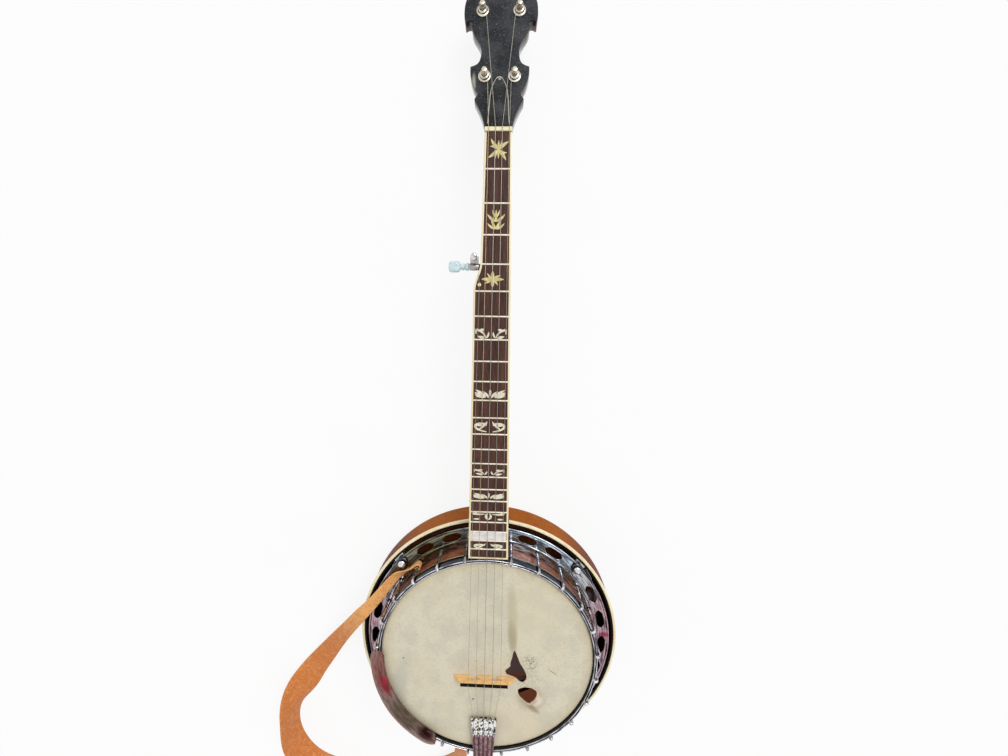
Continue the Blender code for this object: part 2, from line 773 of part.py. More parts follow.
def make_tailpiece():
    face = RIM_R + GAP
    thick = BRACKET_THICK
    post_y = HOOP_R1 + 1.6
    end_y = TAIL_SCREW_Y - 5.0
    bend = 3.5
    foot_z = ROD_UPPER_Z - 8.0
    bend_z = BEAD_Z0 - bend
    tab_z = HOOP_Z1 - 9.5
    top_z = TAIL_PLATE_Z - 0.9
    bracket = side_prism(
        "tailpiece_bracket",
        [
            (-face, foot_z),
            (-face, bend_z),
            (-post_y, bend_z + bend),
            (-post_y, top_z),
            (-post_y - thick, top_z),
            (-post_y - thick, tab_z + thick),
            (end_y, tab_z + thick),
            (end_y, tab_z),
            (-post_y - thick, tab_z),
            (-post_y - thick, bend_z + bend - 1.2),
            (-face - thick, bend_z - 1.2),
            (-face - thick, foot_z),
        ],
        -BRACKET_HALF,
        BRACKET_HALF,
        "steel",
    )
    bolt_out = (0.0, -face - 2 * thick, ROD_UPPER_Z)
    bolt_in = (0.0, -face + thick, ROD_UPPER_Z)
    cut(bracket, rod_cutter("bracket_hole", bolt_out, bolt_in, ROD_BOLT_R + GAP, 12))
    screw_low = (0.0, TAIL_SCREW_Y, tab_z - 5.0)
    screw_high = (0.0, TAIL_SCREW_Y, tab_z + 8.0)
    cut(bracket, rod_cutter("bracket_tap", screw_low, screw_high, TAIL_SCREW_R + GAP, 12))

    top = TAIL_PLATE_Z
    tail_y = TAIL_SCREW_Y - 7.3
    sheet = 1.9
    plate = side_prism(
        "tailpiece_plate",
        [
            (TAIL_FRONT_Y, top),
            (TAIL_FRONT_Y - 15.0, top + 0.5),
            (TAIL_SCREW_Y + 7.7, top + 1.4),
            (TAIL_SCREW_Y - 2.3, top + 0.8),
            (tail_y, top - 2.0),
            (tail_y, top - 7.5),
            (tail_y + sheet, top - 7.5),
            (tail_y + sheet, top - 2.4),
            (TAIL_SCREW_Y - 1.7, top - 0.9),
            (TAIL_SCREW_Y + 7.7, top - 0.5),
            (TAIL_FRONT_Y - 15.0, top - 1.4),
            (TAIL_FRONT_Y - sheet, top - 1.9),
            (TAIL_FRONT_Y - sheet, top - 5.5),
            (TAIL_FRONT_Y, top - 5.5),
        ],
        -40.0,
        40.0,
        "chrome",
    )
    front = TAIL_FRONT_Y + 5.0
    outline = [
        (TAIL_X - 17.2, front),
        (TAIL_X - 17.2, TAIL_FRONT_Y - 6.0),
        (TAIL_X - 13.8, TAIL_SCREW_Y + 18.7),
        (TAIL_X - 13.8, TAIL_SCREW_Y + 1.7),
        (TAIL_X - 9.0, TAIL_SCREW_Y - 12.3),
        (TAIL_X + 9.0, TAIL_SCREW_Y - 12.3),
        (TAIL_X + 13.8, TAIL_SCREW_Y + 1.7),
        (TAIL_X + 13.8, TAIL_SCREW_Y + 18.7),
        (TAIL_X + 17.2, TAIL_FRONT_Y - 6.0),
        (TAIL_X + 17.2, front),
    ]
    keep_inside(plate, prism("plate_outline", outline, top - 15.0, top + 8.0, "chrome"))
    hole_top = (0.0, TAIL_SCREW_Y, top + 8.0)
    cut(plate, rod_cutter("plate_hole", screw_low, hole_top, TAIL_SCREW_R + 2 * GAP, 12))
    bm = bmesh.new()
    half = 0.9
    y = TAIL_PIN_Y
    for x in STRING_X_TAIL:
        pin = [(x - half, y - 3.0), (x + half, y - 3.0), (x + half, y), (x - half, y)]
        add_prism(bm, pin, top - 0.5, top + TAIL_PIN_H)
    join(plate, mesh_object("string_pins", bm, "chrome"))

    profile = [
        (TAIL_SCREW_R - 0.6, -20.0),
        (TAIL_SCREW_R, -19.0),
        (TAIL_SCREW_R, 0.0),
        (4.6, 0.0),
        (5.0, 0.5),
        (5.0, 4.3),
        (4.2, 5.0),
    ]
    screw = turned("tailpiece_adjusting_screw", profile, "chrome", count=16)
    screw.location = (0.0, TAIL_SCREW_Y * MM, (top + 1.7) * MM)


def make_armrest():
    section = [
        (-9.5, 2.6),
        (-7.0, 5.3),
        (-1.0, 7.3),
        (5.0, 6.2),
        (9.0, 2.6),
        (7.5, 2.3),
        (4.3, 4.9),
        (-1.0, 5.9),
        (-6.1, 4.0),
        (-7.8, 2.3),
    ]
    middle = HOOP_R1 - 0.9
    bm = bmesh.new()
    rings = []
    for degrees in np.linspace(ARMREST_DEG0, ARMREST_DEG1, 14):
        end = min(degrees - ARMREST_DEG1, ARMREST_DEG0 - degrees)
        draw = 0.55 if end < 0.1 else (0.85 if end < 4.0 else 1.0)
        draw *= 1.0 + ARMREST_WIDER * min(max((ARMREST_WIDE_FROM - degrees) / 30.0, 0.0), 1.0)
        rings.append([polar(middle + r * draw, degrees, HOOP_Z1 + z) for r, z in section])
    add_rings(bm, rings)
    mesh_object("armrest", bm, "chrome")

    near = HOOK_R * math.cos(math.radians(HOOK_STEP_DEG / 2)) + HOOK_ROD_R + 2 * GAP
    turn = Matrix.Rotation(math.radians(-ARMREST_CLAMP_DEG), 4, "Z")
    far = near + CLAMP_THICK
    reach = HOOK_R * math.sin(math.radians(HOOK_STEP_DEG / 2)) + 7.4
    bar_z0 = HOOP_Z1 - 33.0
    bar_z1 = HOOP_Z1 - 25.0
    half = 6.0
    bm = bmesh.new()
    add_prism(bm, [(-reach, near), (reach, near), (reach, far), (-reach, far)], bar_z0, bar_z1)
    bmesh.ops.transform(bm, matrix=turn, verts=bm.verts)
    clamp = mesh_object("armrest_clamp", bm, "chrome")
    bm = bmesh.new()
    strip_z1 = HOOP_Z1 + 1.9
    add_prism(bm, [(-half, near), (half, near), (half, far), (-half, far)], bar_z0 + 2.0, strip_z1)
    bmesh.ops.transform(bm, matrix=turn, verts=bm.verts)
    join(clamp, mesh_object("clamp_strip", bm, "chrome"))


def make_bridge():
    half = BRIDGE_FOOT / 2
    top = BRIDGE_TOP / 2
    body_h = BRIDGE_H - BRIDGE_CAP_H - 2 * GAP
    side = [(-half, 0.0)] + [(-half * share, z) for share, z in BRIDGE_ARCH]
    outer = [
        (half, 4.0),
        (half - 3.0, 8.2),
        (half - 7.6, 9.8),
        (top, body_h),
        (-top, body_h),
        (-half + 7.6, 9.8),
        (-half + 3.0, 8.2),
        (-half, 4.0),
    ]
    outline = side + [(-x, z) for x, z in side[::-1]] + outer
    bm = bmesh.new()
    rows = []
    for sign in (-1.0, 1.0):
        row = []
        for x, z in outline:
            thick = BRIDGE_BASE_T + (BRIDGE_TOP_T - BRIDGE_BASE_T) * z / body_h
            row.append((x, sign * thick / 2, z))
        rows.append(row)
    add_rings(bm, rows)
    bridge = mesh_object("bridge", bm, "maple")
    bridge.location = (BRIDGE_X * MM, BRIDGE_Y * MM, (HEAD_Z + GAP) * MM)
    cap_half = BRIDGE_TOP_T / 2
    cap = [(-top, -cap_half), (top, -cap_half), (top, cap_half), (-top, cap_half)]
    capped = prism("bridge_cap", cap, 0.0, BRIDGE_CAP_H, "ebony")
    capped.location = (BRIDGE_X * MM, BRIDGE_Y * MM, (HEAD_Z + body_h + 2 * GAP) * MM)


def neck_depth(s):
    """The neck's depth below the board at a distance from the nut."""
    plain = NECK_DEPTH_NUT + (NECK_DEPTH_BODY - NECK_DEPTH_NUT) * min(max(s / HEEL_S, 0.0), 1.0)
    if s <= HEEL_S:
        return plain
    share = min((s - HEEL_S) / HEEL_RUN, 1.0)
    return plain + (HEEL_DEPTH - plain) * (share**1.6) * (1.6 - 0.6 * share)


def neck_ring(s):
    """A D-shaped section of the neck, in the neck's frame."""
    left = board_left(min(max(s, 0.0), BOARD_LENGTH))
    right = board_right(min(max(s, 0.0), BOARD_LENGTH))
    top = -BOARD_THICK - GAP
    depth = neck_depth(s)
    side = 2.5
    middle = (left + right) / 2
    half = (right - left) / 2
    d = BOARD_LENGTH - s
    ring = [(left, d, top), (right, d, top)]
    count = 8
    for i in range(count + 1):
        angle = math.pi * i / count
        x = middle + half * math.copysign(abs(math.cos(angle)) ** 0.85, math.cos(angle))
        ring.append((x, d, top - side - (depth - side) * math.sin(angle) ** 0.85))
    return ring


def half_peghead():
    """Half of the peghead's fiddle-shaped outline: distance from its middle, then along it."""
    lower = [(14.9, -3.0), (15.8, 4.0), (18.5, 14.0), (21.8, 22.0), (24.8, 28.0), (27.3, 32.5)]
    lobe = [(24.5, 36.5), (24.3, 40.5), (27.2, 45.0), (30.2, 52.0), (32.2, 61.0), (32.5, 68.5)]
    waist = [(27.8, 70.2), (24.3, 72.6), (22.2, 76.5), (20.8, 84.4), (21.9, 92.5), (25.6, 100.0)]
    upper = [(29.6, 106.5), (31.7, 113.5), (30.6, 118.0), (34.0, 120.8), (39.2, 118.5)]
    crown = [(40.6, 127.0), (40.2, 137.0), (38.5, 144.0), (34.5, 151.0), (27.5, 155.5)]
    crest = [(20.5, 155.5), (15.0, 152.5), (9.5, 156.5), (0.0, 161.0)]
    return lower + lobe + waist + upper + crown + crest


def peghead_outline(start):
    half = [(x, max(v, start)) for x, v in half_peghead()]
    right = [(PEG_X + x, v) for x, v in half]
    left = [(PEG_X - x, v) for x, v in half[:-1]]
    return right + left[::-1]


def make_neck(neck_frame, peg_frame):
    stations = [PEG_ORIGIN_S, FLARE_S0 / 2, FLARE_S0]
    stations += [FLARE_S0 + (FLARE_S1 - FLARE_S0) * i / 6 for i in range(1, 7)]
    stations += [(FLARE_S1 + HEEL_S) / 2, HEEL_S]
    stations += [HEEL_S + HEEL_RUN * (i / 8) ** 0.8 for i in range(1, 9)]
    stations += [BOARD_LENGTH + 9.0]
    bm = bmesh.new()
    add_rings(bm, [neck_ring(s) for s in stations])
    neck = mesh_object("neck", bm, "neck_wood", neck_frame)
    core = prism(
        "peghead_core",
        peghead_outline(-3.0),
        -PEGHEAD_THICK,
        -OVERLAY_THICK - GAP,
        "neck_wood",
        peg_frame,
    )
    join(neck, core)
    ledge = BEAD_Z0 - 2 * GAP
    pot = turned(
        "heel_cutter",
        [
            (RIM_R + GAP, RIM_Z0 - 20.0),
            (RIM_R + GAP, ledge),
            (NECK_END_Y, ledge),
            (NECK_END_Y, HOOP_Z1 + 20.0),
        ],
        "steel",
        count=96,
    )
    cut(neck, pot)
    for index, z in enumerate(ROD_ZS):
        start = (0.0, RIM_R - 15.0, z)
        end = (0.0, RIM_R + GAP + ROD_HEEL_REACH + 1.0, z)
        cut(neck, rod_cutter(f"heel_hole_{index}", start, end, ROD_BOLT_R + GAP, 12))
    half = TRUSS_SLOT_W / 2
    slot_low = -BOARD_THICK - TRUSS_SLOT_D
    slot_d0 = BOARD_LENGTH - HEEL_S
    slot_d1 = BOARD_LENGTH + TRUSS_NUT_H + 18.0
    left = PEG_X - half
    right = PEG_X + half
    slot = [(left, slot_d0), (right, slot_d0), (right, slot_d1), (left, slot_d1)]
    cut(neck, prism("truss_slot", slot, slot_low, 0.0, "steel", neck_frame))
    fifth = rod_cutter(
        "fifth_socket",
        (FIFTH_COLLAR_X - 10.0, FIFTH_Y, fifth_z()),
        (FIFTH_SOCKET_X, FIFTH_Y, fifth_z()),
        FIFTH_SHANK_R + GAP,
        16,
    )
    cut(neck, fifth)
    for index, (x, v) in enumerate(TUNER_PLACES):
        hole = rod_cutter(
            f"peg_hole_{index}",
            (PEG_X + x, v, -PEGHEAD_THICK - 5.0),
            (PEG_X + x, v, 5.0),
            TUNER_SLEEVE_R + 2 * GAP,
            14,
            peg_frame,
        )
        cut(neck, hole)


def make_board(neck_frame):
    """The fretboard with its frets, cut from one side view, and the binding round it."""
    profile = [(BOARD_LENGTH, -BOARD_THICK), (BOARD_LENGTH, 0.0)]
    for number in range(1, FRETS + 1):
        d = BOARD_LENGTH - fret_s(number)
        profile += [
            (d + FRET_W / 2, 0.0),
            (d + FRET_W / 4, FRET_H),
            (d - FRET_W / 4, FRET_H),
            (d - FRET_W / 2, 0.0),
        ]
    profile += [(BOARD_BINDING, 0.0), (BOARD_BINDING, -BOARD_THICK)]
    reach = BOARD_END_HALF + 10.0
    board = side_prism("fretboard", profile, -reach, reach, "rosewood", neck_frame)
    inset = BOARD_BINDING + GAP
    inner = board_outline(inset, 0.0, BOARD_LENGTH)
    low = -2 * BOARD_THICK
    high = BOARD_THICK
    keep_inside(board, prism("board_outline", inner, low, high, "rosewood", neck_frame))
    for index, s in enumerate(spike_places()):
        d = BOARD_LENGTH - s
        low = (SPIKE_X, d, -BOARD_THICK - 2.0)
        high = (SPIKE_X, d, 3.0)
        hole = rod_cutter(f"spike_hole_{index}", low, high, SPIKE_R + GAP, 8, neck_frame)
        cut(board, hole)
    pip_d = BOARD_LENGTH - PIP_S
    low = (PIP_X, pip_d, -2.5)
    high = (PIP_X, pip_d, 4.0)
    cut(board, rod_cutter("pip_hole", low, high, PIP_R + GAP, 12, neck_frame))

    binding = prism(
        "fretboard_binding",
        board_outline(0.0, 0.0, BOARD_LENGTH),
        -BOARD_THICK,
        0.0,
        "ivoroid",
        neck_frame,
    )
    window = board_outline(BOARD_BINDING, 0.0, BOARD_LENGTH - BOARD_BINDING + GAP)
    window = [(x, d + 20.0 if d >= BOARD_LENGTH else d) for x, d in window]
    cut(binding, prism("binding_window", window, -2 * BOARD_THICK, BOARD_THICK, "steel", neck_frame))


def make_nut(neck_frame):
    left, right = BOARD_NUT_LEFT, BOARD_NUT_RIGHT
    d0 = BOARD_LENGTH + GAP
    outline = [
        (d0, -BOARD_THICK),
        (d0, NUT_H),
        (d0 + NUT_THICK * 0.5, NUT_H),
        (d0 + NUT_THICK, NUT_H - 1.6),
        (d0 + NUT_THICK, -BOARD_THICK),
    ]
    side_prism("nut", outline, left, right, "bone", neck_frame)
    pip = [(PIP_R - 0.6, -2.2), (PIP_R, -1.6), (PIP_R, PIP_H - 0.8), (PIP_R - 0.8, PIP_H)]
    place = Matrix.Translation(Vector((PIP_X, BOARD_LENGTH - PIP_S, 0.0)) * MM)
    turned("fifth_string_nut", pip, "bone", count=12, parent=neck_frame, axis=place)
    for index, s in enumerate(spike_places(), start=1):
        spike = [(SPIKE_R * 0.5, -4.4), (SPIKE_R, -3.6), (SPIKE_R, 1.2), (SPIKE_R * 0.6, 1.6)]
        place = Matrix.Translation(Vector((SPIKE_X, BOARD_LENGTH - s, 0.0)) * MM)
        turned(f"capo_spike_{index}", spike, "steel", count=6, parent=neck_frame, axis=place)


def make_truss_rod(neck_frame, peg_frame):
    z = -BOARD_THICK - TRUSS_SLOT_D / 2 - 0.2
    plain = TRUSS_FOOT_S + 3.0
    profile = [
        (TRUSS_ROD_R, 0.0),
        (TRUSS_ROD_R, plain),
        (TRUSS_ROD_R + 0.4, plain),
        (TRUSS_ROD_R + 0.4, plain + TRUSS_NUT_H),
    ]
    start = (PEG_X, BOARD_LENGTH - TRUSS_FOOT_S, z)
    place = axis_matrix(start, (0.0, 1.0, 0.0))
    turned("truss_rod", profile, "steel", count=10, parent=neck_frame, axis=place)
    half = [(14.3, 1.2), (12.6, 30.0), (11.6, 38.0), (9.3, 46.0), (5.5, 53.5), (0.0, 60.0)]
    outline = [(PEG_X + x, v) for x, v in half]
    outline += [(PEG_X - x, v) for x, v in half[-2::-1]]
    prism("truss_rod_cover", outline, GAP, GAP + 1.8, "black_lacquer", peg_frame)


def make_overlay(peg_frame):
    overlay = prism(
        "peghead_overlay",
        peghead_outline(0.6),
        -OVERLAY_THICK,
        0.0,
        "black_lacquer",
        peg_frame,
    )
    half = TRUSS_SLOT_W / 2 + 1.5
    left = PEG_X - half
    right = PEG_X + half
    foot = -4.0
    pocket = [(left, foot), (right, foot), (right, POCKET_V), (left, POCKET_V)]
    low_z = -3 * OVERLAY_THICK
    high_z = 2 * OVERLAY_THICK
    cut(overlay, prism("overlay_pocket", pocket, low_z, high_z, "steel", peg_frame))
    for index, (x, v) in enumerate(TUNER_PLACES):
        low = (PEG_X + x, v, low_z)
        high = (PEG_X + x, v, high_z)
        hole = rod_cutter(f"overlay_hole_{index}", low, high, TUNER_SLEEVE_R + 2 * GAP, 14, peg_frame)
        cut(overlay, hole)


def button_rings(length, wide, deep, count=12):
    """A flattened egg-shaped button along -Z, starting at its collar."""
    rings = []
    for share, size in ((0.0, 0.30), (0.10, 0.62), (0.35, 0.95), (0.65, 1.0), (0.9, 0.72), (1.0, 0.4)):
        z = -length * share
        ring = [
            (wide / 2 * size * math.cos(a), deep / 2 * size * math.sin(a), z)
            for a in np.linspace(0.0, 2 * math.pi, count, endpoint=False)
        ]
        rings.append(ring)
    return rings


def make_tuners(peg_frame):
    """Four planetary tuners: a geared housing through the peghead, a post and a rear button."""
    back = -PEGHEAD_THICK - GAP
    body_end = back - TUNER_BODY_H
    housing_profile = [
        (TUNER_BORE_R, body_end),
        (TUNER_BODY_R, body_end),
        (TUNER_BODY_R, back),
        (TUNER_SLEEVE_R, back),
        (TUNER_SLEEVE_R, GAP),
        (TUNER_FERRULE_R, GAP),
        (TUNER_FERRULE_R, 1.6),
        (TUNER_FERRULE_R - 1.5, 2.2),
        (TUNER_BORE_R + 1.7, 4.6),
        (TUNER_BORE_R, 4.6),
    ]
    post_foot = back - TUNER_BODY_H / 2
    post_profile = [
        (TUNER_POST_R, post_foot),
        (TUNER_POST_R, 4.8),
        (TUNER_POST_R - 0.5, 7.0),
        (TUNER_POST_R, TUNER_POST_H - 0.8),
        (TUNER_POST_R - 0.6, TUNER_POST_H),
    ]
    shaft_top = post_foot - GAP
    collar = -TUNER_BUTTON_BACK + TUNER_BUTTON_D
    for index, (x, v) in enumerate(TUNER_PLACES, start=1):
        place = (PEG_X + x, v, 0.0)
        housing = turned(
            f"tuner_housing_{index}", housing_profile, "chrome", True, 12, peg_frame
        )
        housing.location = Vector(place) * MM
        post = turned(f"tuner_post_{index}", post_profile, "chrome", False, 12, peg_frame)
        post.location = Vector(place) * MM
        bm = bmesh.new()
        rings = [circle(TUNER_POST_R, shaft_top, 10), circle(TUNER_POST_R, collar, 10)]
        wide, deep = TUNER_BUTTON_W, TUNER_BUTTON_D
        add_rings(
            bm,
            rings
            + [
                [(px, py, collar + pz) for px, py, pz in ring]
                for ring in button_rings(deep, wide, deep, 10)
            ],
        )
        button = mesh_object(f"tuner_button_{index}", bm, "ivoroid", peg_frame)
        button.location = Vector(place) * MM


def fifth_z():
    """Height of the fifth peg's axis, taken at its place along the neck."""
    s = BOARD_LENGTH - (FIFTH_Y - NECK_END_Y) / NECK_COS
    return neck_world(0.0, s, -FIFTH_DROP).z


def make_fifth_peg():
    """The fifth string's geared peg: a shank in the neck's side, a post and a side button."""
    z = fifth_z()
    bore = FIFTH_SHAFT_R + GAP
    shank = FIFTH_SHANK_R
    shank_end = FIFTH_SOCKET_X - FIFTH_COLLAR_X - 1.0
    profile = [
        (bore, 0.0),
        (shank + 0.6, 0.0),
        (shank + 1.3, 2.0),
        (shank + 1.3, 5.0),
        (shank + 0.9, 11.5),
        (shank, 13.0),
        (shank, shank_end),
        (bore, shank_end),
    ]
    place = axis_matrix((FIFTH_COLLAR_X, FIFTH_Y, z), (1.0, 0.0, 0.0))
    housing = turned("fifth_peg_housing", profile, "steel", True, 14, None, place)
    low = z - FIFTH_CASE_DOWN
    high = z + FIFTH_CASE_UP
    half = FIFTH_CASE_HALF
    near_y = FIFTH_Y + shank + GAP
    end_y = FIFTH_POST_Y + half
    chamfer = 2.1
    case = [
        (FIFTH_POST_X - half, near_y),
        (FIFTH_POST_X + half, near_y),
        (FIFTH_POST_X + half, end_y - chamfer),
        (FIFTH_POST_X + half - chamfer, end_y),
        (FIFTH_POST_X - half + chamfer, end_y),
        (FIFTH_POST_X - half, end_y - chamfer),
    ]
    join(housing, prism("fifth_case", case, low, high, "steel"))
    floor = 1.5
    bore_low = (FIFTH_POST_X, FIFTH_POST_Y, low + floor)
    bore_high = (FIFTH_POST_X, FIFTH_POST_Y, high + 5.0)
    cut(housing, rod_cutter("fifth_bore", bore_low, bore_high, FIFTH_POST_R + GAP, 14))

    case_h = high - low
    post_profile = [
        (FIFTH_POST_R, 0.0),
        (FIFTH_POST_R, case_h - 1.0),
        (FIFTH_POST_R - 0.5, case_h + 3.0),
        (FIFTH_POST_R - 0.3, case_h + 6.4),
        (FIFTH_POST_R + 1.3, case_h + 7.0),
        (FIFTH_POST_R + 1.5, case_h + 8.6),
        (FIFTH_POST_R + 0.6, case_h + 9.2),
    ]
    post = turned("fifth_peg_post", post_profile, "steel", count=14)
    post.location = Vector((FIFTH_POST_X, FIFTH_POST_Y, low + floor + GAP)) * MM

    bm = bmesh.new()
    neck_x = 9.4
    shaft = [
        (FIFTH_SHAFT_R, -14.0),
        (FIFTH_SHAFT_R, GAP),
        (4.4, GAP),
        (4.4, 3.2),
        (3.0, 4.4),
        (4.0, 5.6),
        (4.0, 8.4),
        (2.8, neck_x),
    ]
    rings = [circle(radius, -x, 12) for radius, x in shaft]
    rings += [
        [(px, py, pz - neck_x) for px, py, pz in ring] for ring in button_rings(14.0, 13.0, 9.0, 12)
    ]
    add_rings(bm, rings)
    turn = Matrix.Rotation(math.radians(90.0), 4, "Y") @ Matrix.Rotation(math.radians(90.0), 4, "Z")
    bmesh.ops.transform(bm, matrix=turn, verts=bm.verts)
    button = mesh_object("fifth_peg_button", bm, "pearl")
    button.location = Vector((FIFTH_COLLAR_X, FIFTH_Y, z)) * MM


def winding(center, axis, arrive, radius, wire, spin):
    """Points of a string wound down a post, starting where it arrives on a tangent."""
    axis = axis.normalized()
    toward = arrive - center
    rise = toward.dot(axis)
    flat = toward - axis * rise
    reach = math.acos(min(radius / flat.length, 1.0))
    first = flat.normalized()
    second = axis.cross(first) * spin
    step = 2 * math.pi / WINDING_POINTS
    drop = (2 * wire + WINDING_GAP) / WINDING_POINTS
    points = []
    for i in range(int(WINDING_TURNS * WINDING_POINTS) + 1):
        angle = -reach - i * step
        spoke = first * math.cos(angle) + second * math.sin(angle)
        points.append(center + spoke * radius - axis * (drop * i))
    return points


def least_self_gap(points, wire):
    """The least clear distance between turns, measured on the winding's own points."""
    least = math.inf
    for i, a in enumerate(points):
        for b in points[i + WINDING_POINTS // 2 :]:
            least = min(least, (a - b).length - 2 * wire)
    return least


def string_curve(name, points, wire):
    curve = bpy.data.curves.new(name, "CURVE")
    curve.dimensions = "3D"
    curve.bevel_depth = wire * MM
    curve.bevel_resolution = 1
    curve.use_fill_caps = True
    spline = curve.splines.new("POLY")
    spline.points.add(len(points) - 1)
    for item, point in zip(spline.points, points):
        item.co = (point.x * MM, point.y * MM, point.z * MM, 1.0)
    obj = bpy.data.objects.new(name, curve)
    bpy.context.scene.collection.objects.link(obj)
    finish(obj, "steel")


def make_strings():
    cap_top = HEAD_Z + BRIDGE_H
    for index, wire in enumerate(STRING_RADII):
        lift = STRING_LIFT + wire
        tail_x = STRING_X_TAIL[index]
        start = [
            Vector((tail_x, TAIL_PIN_Y + 2 * GAP, TAIL_PLATE_Z + 0.9 + lift)),
            Vector((tail_x, TAIL_FRONT_Y, TAIL_PLATE_Z + lift + GAP)),
            Vector((STRING_X_BRIDGE[index], BRIDGE_Y, cap_top + lift)),
        ]
        if index < 4:
            stop = neck_world(STRING_X_NUT[index], -1.5, NUT_H + lift)
            over = neck_world(STRING_X_NUT[index], -NUT_THICK - 0.6, NUT_H - 1.3 + lift)
            x, v = TUNER_PLACES[index]
            center = peg_world(PEG_X + x, v, TUNER_POST_H - 2.6)
            axis = peg_world(0, 0, 1) - peg_world(0, 0, 0)
            start += [stop, over]
            spin = -1.0 if x < 0 else 1.0
            radius = TUNER_POST_R + wire + WINDING_OFF
        else:
            start.append(neck_world(PIP_X, PIP_S, PIP_H + lift))
            center = Vector((FIFTH_POST_X, FIFTH_POST_Y, fifth_z() + FIFTH_CASE_UP + 5.4))
            axis = Vector((0.0, 0.0, 1.0))
            spin = -1.0
            radius = FIFTH_POST_R + wire + WINDING_OFF
        wound = winding(center, axis, start[-1], radius, wire, spin)
        gap = least_self_gap(wound, wire)
        print(f"string_{index + 1}: least gap between turns {gap:.2f} mm")
        string_curve(f"string_{index + 1}", start + wound, wire)


# The strap's route: how far past the resonator's edge its middle is, the angle, its height as a
# share of its eyes', half its width, and its tilt in degrees, the outer edge up


STRAP_ROUTE = (
    (-27.3, -43.8, 1.000, 6, 84),
    (-25.7, -47.5, 0.993, 6.2, 58),
    (-20.8, -53.2, 0.977, 6.4, 24),
    (-17.6, -62.6, 0.964, 6.8, 0),
    (-9.8, -72.4, 0.964, 8, 0),
    (3.6, -80.6, 0.943, 9.3, -20),
    (24.9, -91.0, 0.686, 10.8, -30),
    (51.8, -99.5, 0.414, 12.6, -22),
    (83.6, -106.3, 0.200, 15.3, -8),
    (119.9, -111.6, 0.093, 19, 6),
    (151.9, -115.5, 0.229, 25, 38),
    (182.1, -120.3, 0.357, 25, 75),
    (207.8, -126.6, 0.360, 25, 80),
    (215.7, -133.9, 0.350, 24, 75),
    (204.0, -141.1, 0.279, 21, 62),
    (177.9, -148.3, 0.150, 16.5, 34),
    (152.2, -156.3, 0.071, 14, 8),
    (126.7, -162.6, 0.071, 13, 0),
    (98.4, -167.5, 0.143, 12, 0),
    (63.7, -169.8, 0.400, 11, 0),
    (32.2, -169.7, 0.771, 10, 0),
    (9.7, -169.1, 0.956, 9, 10),
    (-12.5, -169.6, 0.993, 7, 60),
)


def strap_eye(degrees, toward, spin):
    """A loop of the strap round a hook's rod, ending where it leaves toward the strap."""
    center = polar(HOOK_R, degrees)
    heading = math.atan2(toward[1] - center.y, toward[0] - center.x)
    leave = heading - spin * math.pi / 2
    points = []
    for i in range(9):
        angle = leave - spin * math.radians(270.0) * (1.0 - i / 8)
        x = center.x + STRAP_EYE_R * math.cos(angle)
        y = center.y + STRAP_EYE_R * math.sin(angle)
        points.append((x, y, STRAP_EYE_Z, STRAP_EYE_HALF, 90.0))
    return points


def smooth_rows(rows, steps):
    """Catmull-Rom points through rows of numbers."""
    rows = [np.array(row, float) for row in rows]
    padded = [2 * rows[0] - rows[1], *rows, 2 * rows[-1] - rows[-2]]
    out = []
    for a, b, c, d in zip(padded, padded[1:], padded[2:], padded[3:]):
        for i in range(steps):
            t = i / steps
            out.append(
                0.5
                * (2 * b + (c - a) * t + (2 * a - 5 * b + 4 * c - d) * t**2 + (3 * b - a - 3 * c + d) * t**3)
            )
    out.append(rows[-1])
    return out


def strap_rows():
    """The strap's route as rows of x, y, z, half its width and its tilt."""
    rows = []
    for beyond, degrees, share, half, tilt in STRAP_ROUTE:
        place = polar(RES_R + beyond, degrees, share * STRAP_EYE_Z)
        rows.append((*place, half, tilt))
    return rows


def make_strap():
    route = strap_rows()
    head = strap_eye(STRAP_HOOKS[0], route[0], 1.0)
    tail = strap_eye(STRAP_HOOKS[1], route[-1], -1.0)
    rows = head + smooth_rows(route, 2) + tail[::-1]
    rings = []
    length = 0.0
    for i, row in enumerate(rows):
        before = np.array(rows[max(i - 1, 0)][:2], float)
        after = np.array(rows[min(i + 1, len(rows) - 1)][:2], float)
        heading = after - before
        heading /= np.hypot(*heading)
        x, y, z, half, tilt = row
        if i:
            length += float(np.linalg.norm(np.array(row[:3]) - np.array(rows[i - 1][:3])))
        tilt = math.radians(tilt)
        out = Vector((heading[1], -heading[0], 0.0))
        wide = out * math.cos(tilt) + Vector((0.0, 0.0, math.sin(tilt)))
        level = Vector((heading[0], heading[1], 0.0))
        thick = level.cross(wide).normalized() * (STRAP_THICK / 2)
        drop = half * abs(wide.z) + abs(thick.z)
        middle = Vector((x, y, max(z, drop + STRAP_LIFT)))
        side = wide * half
        rings.append(
            [middle - side - thick, middle + side - thick, middle + side + thick, middle - side + thick]
        )
    print(f"strap: {length:.0f} mm long")
    bm = bmesh.new()
    add_rings(bm, rings)
    mesh_object("strap", bm, "suede", sharp_deg=50.0)


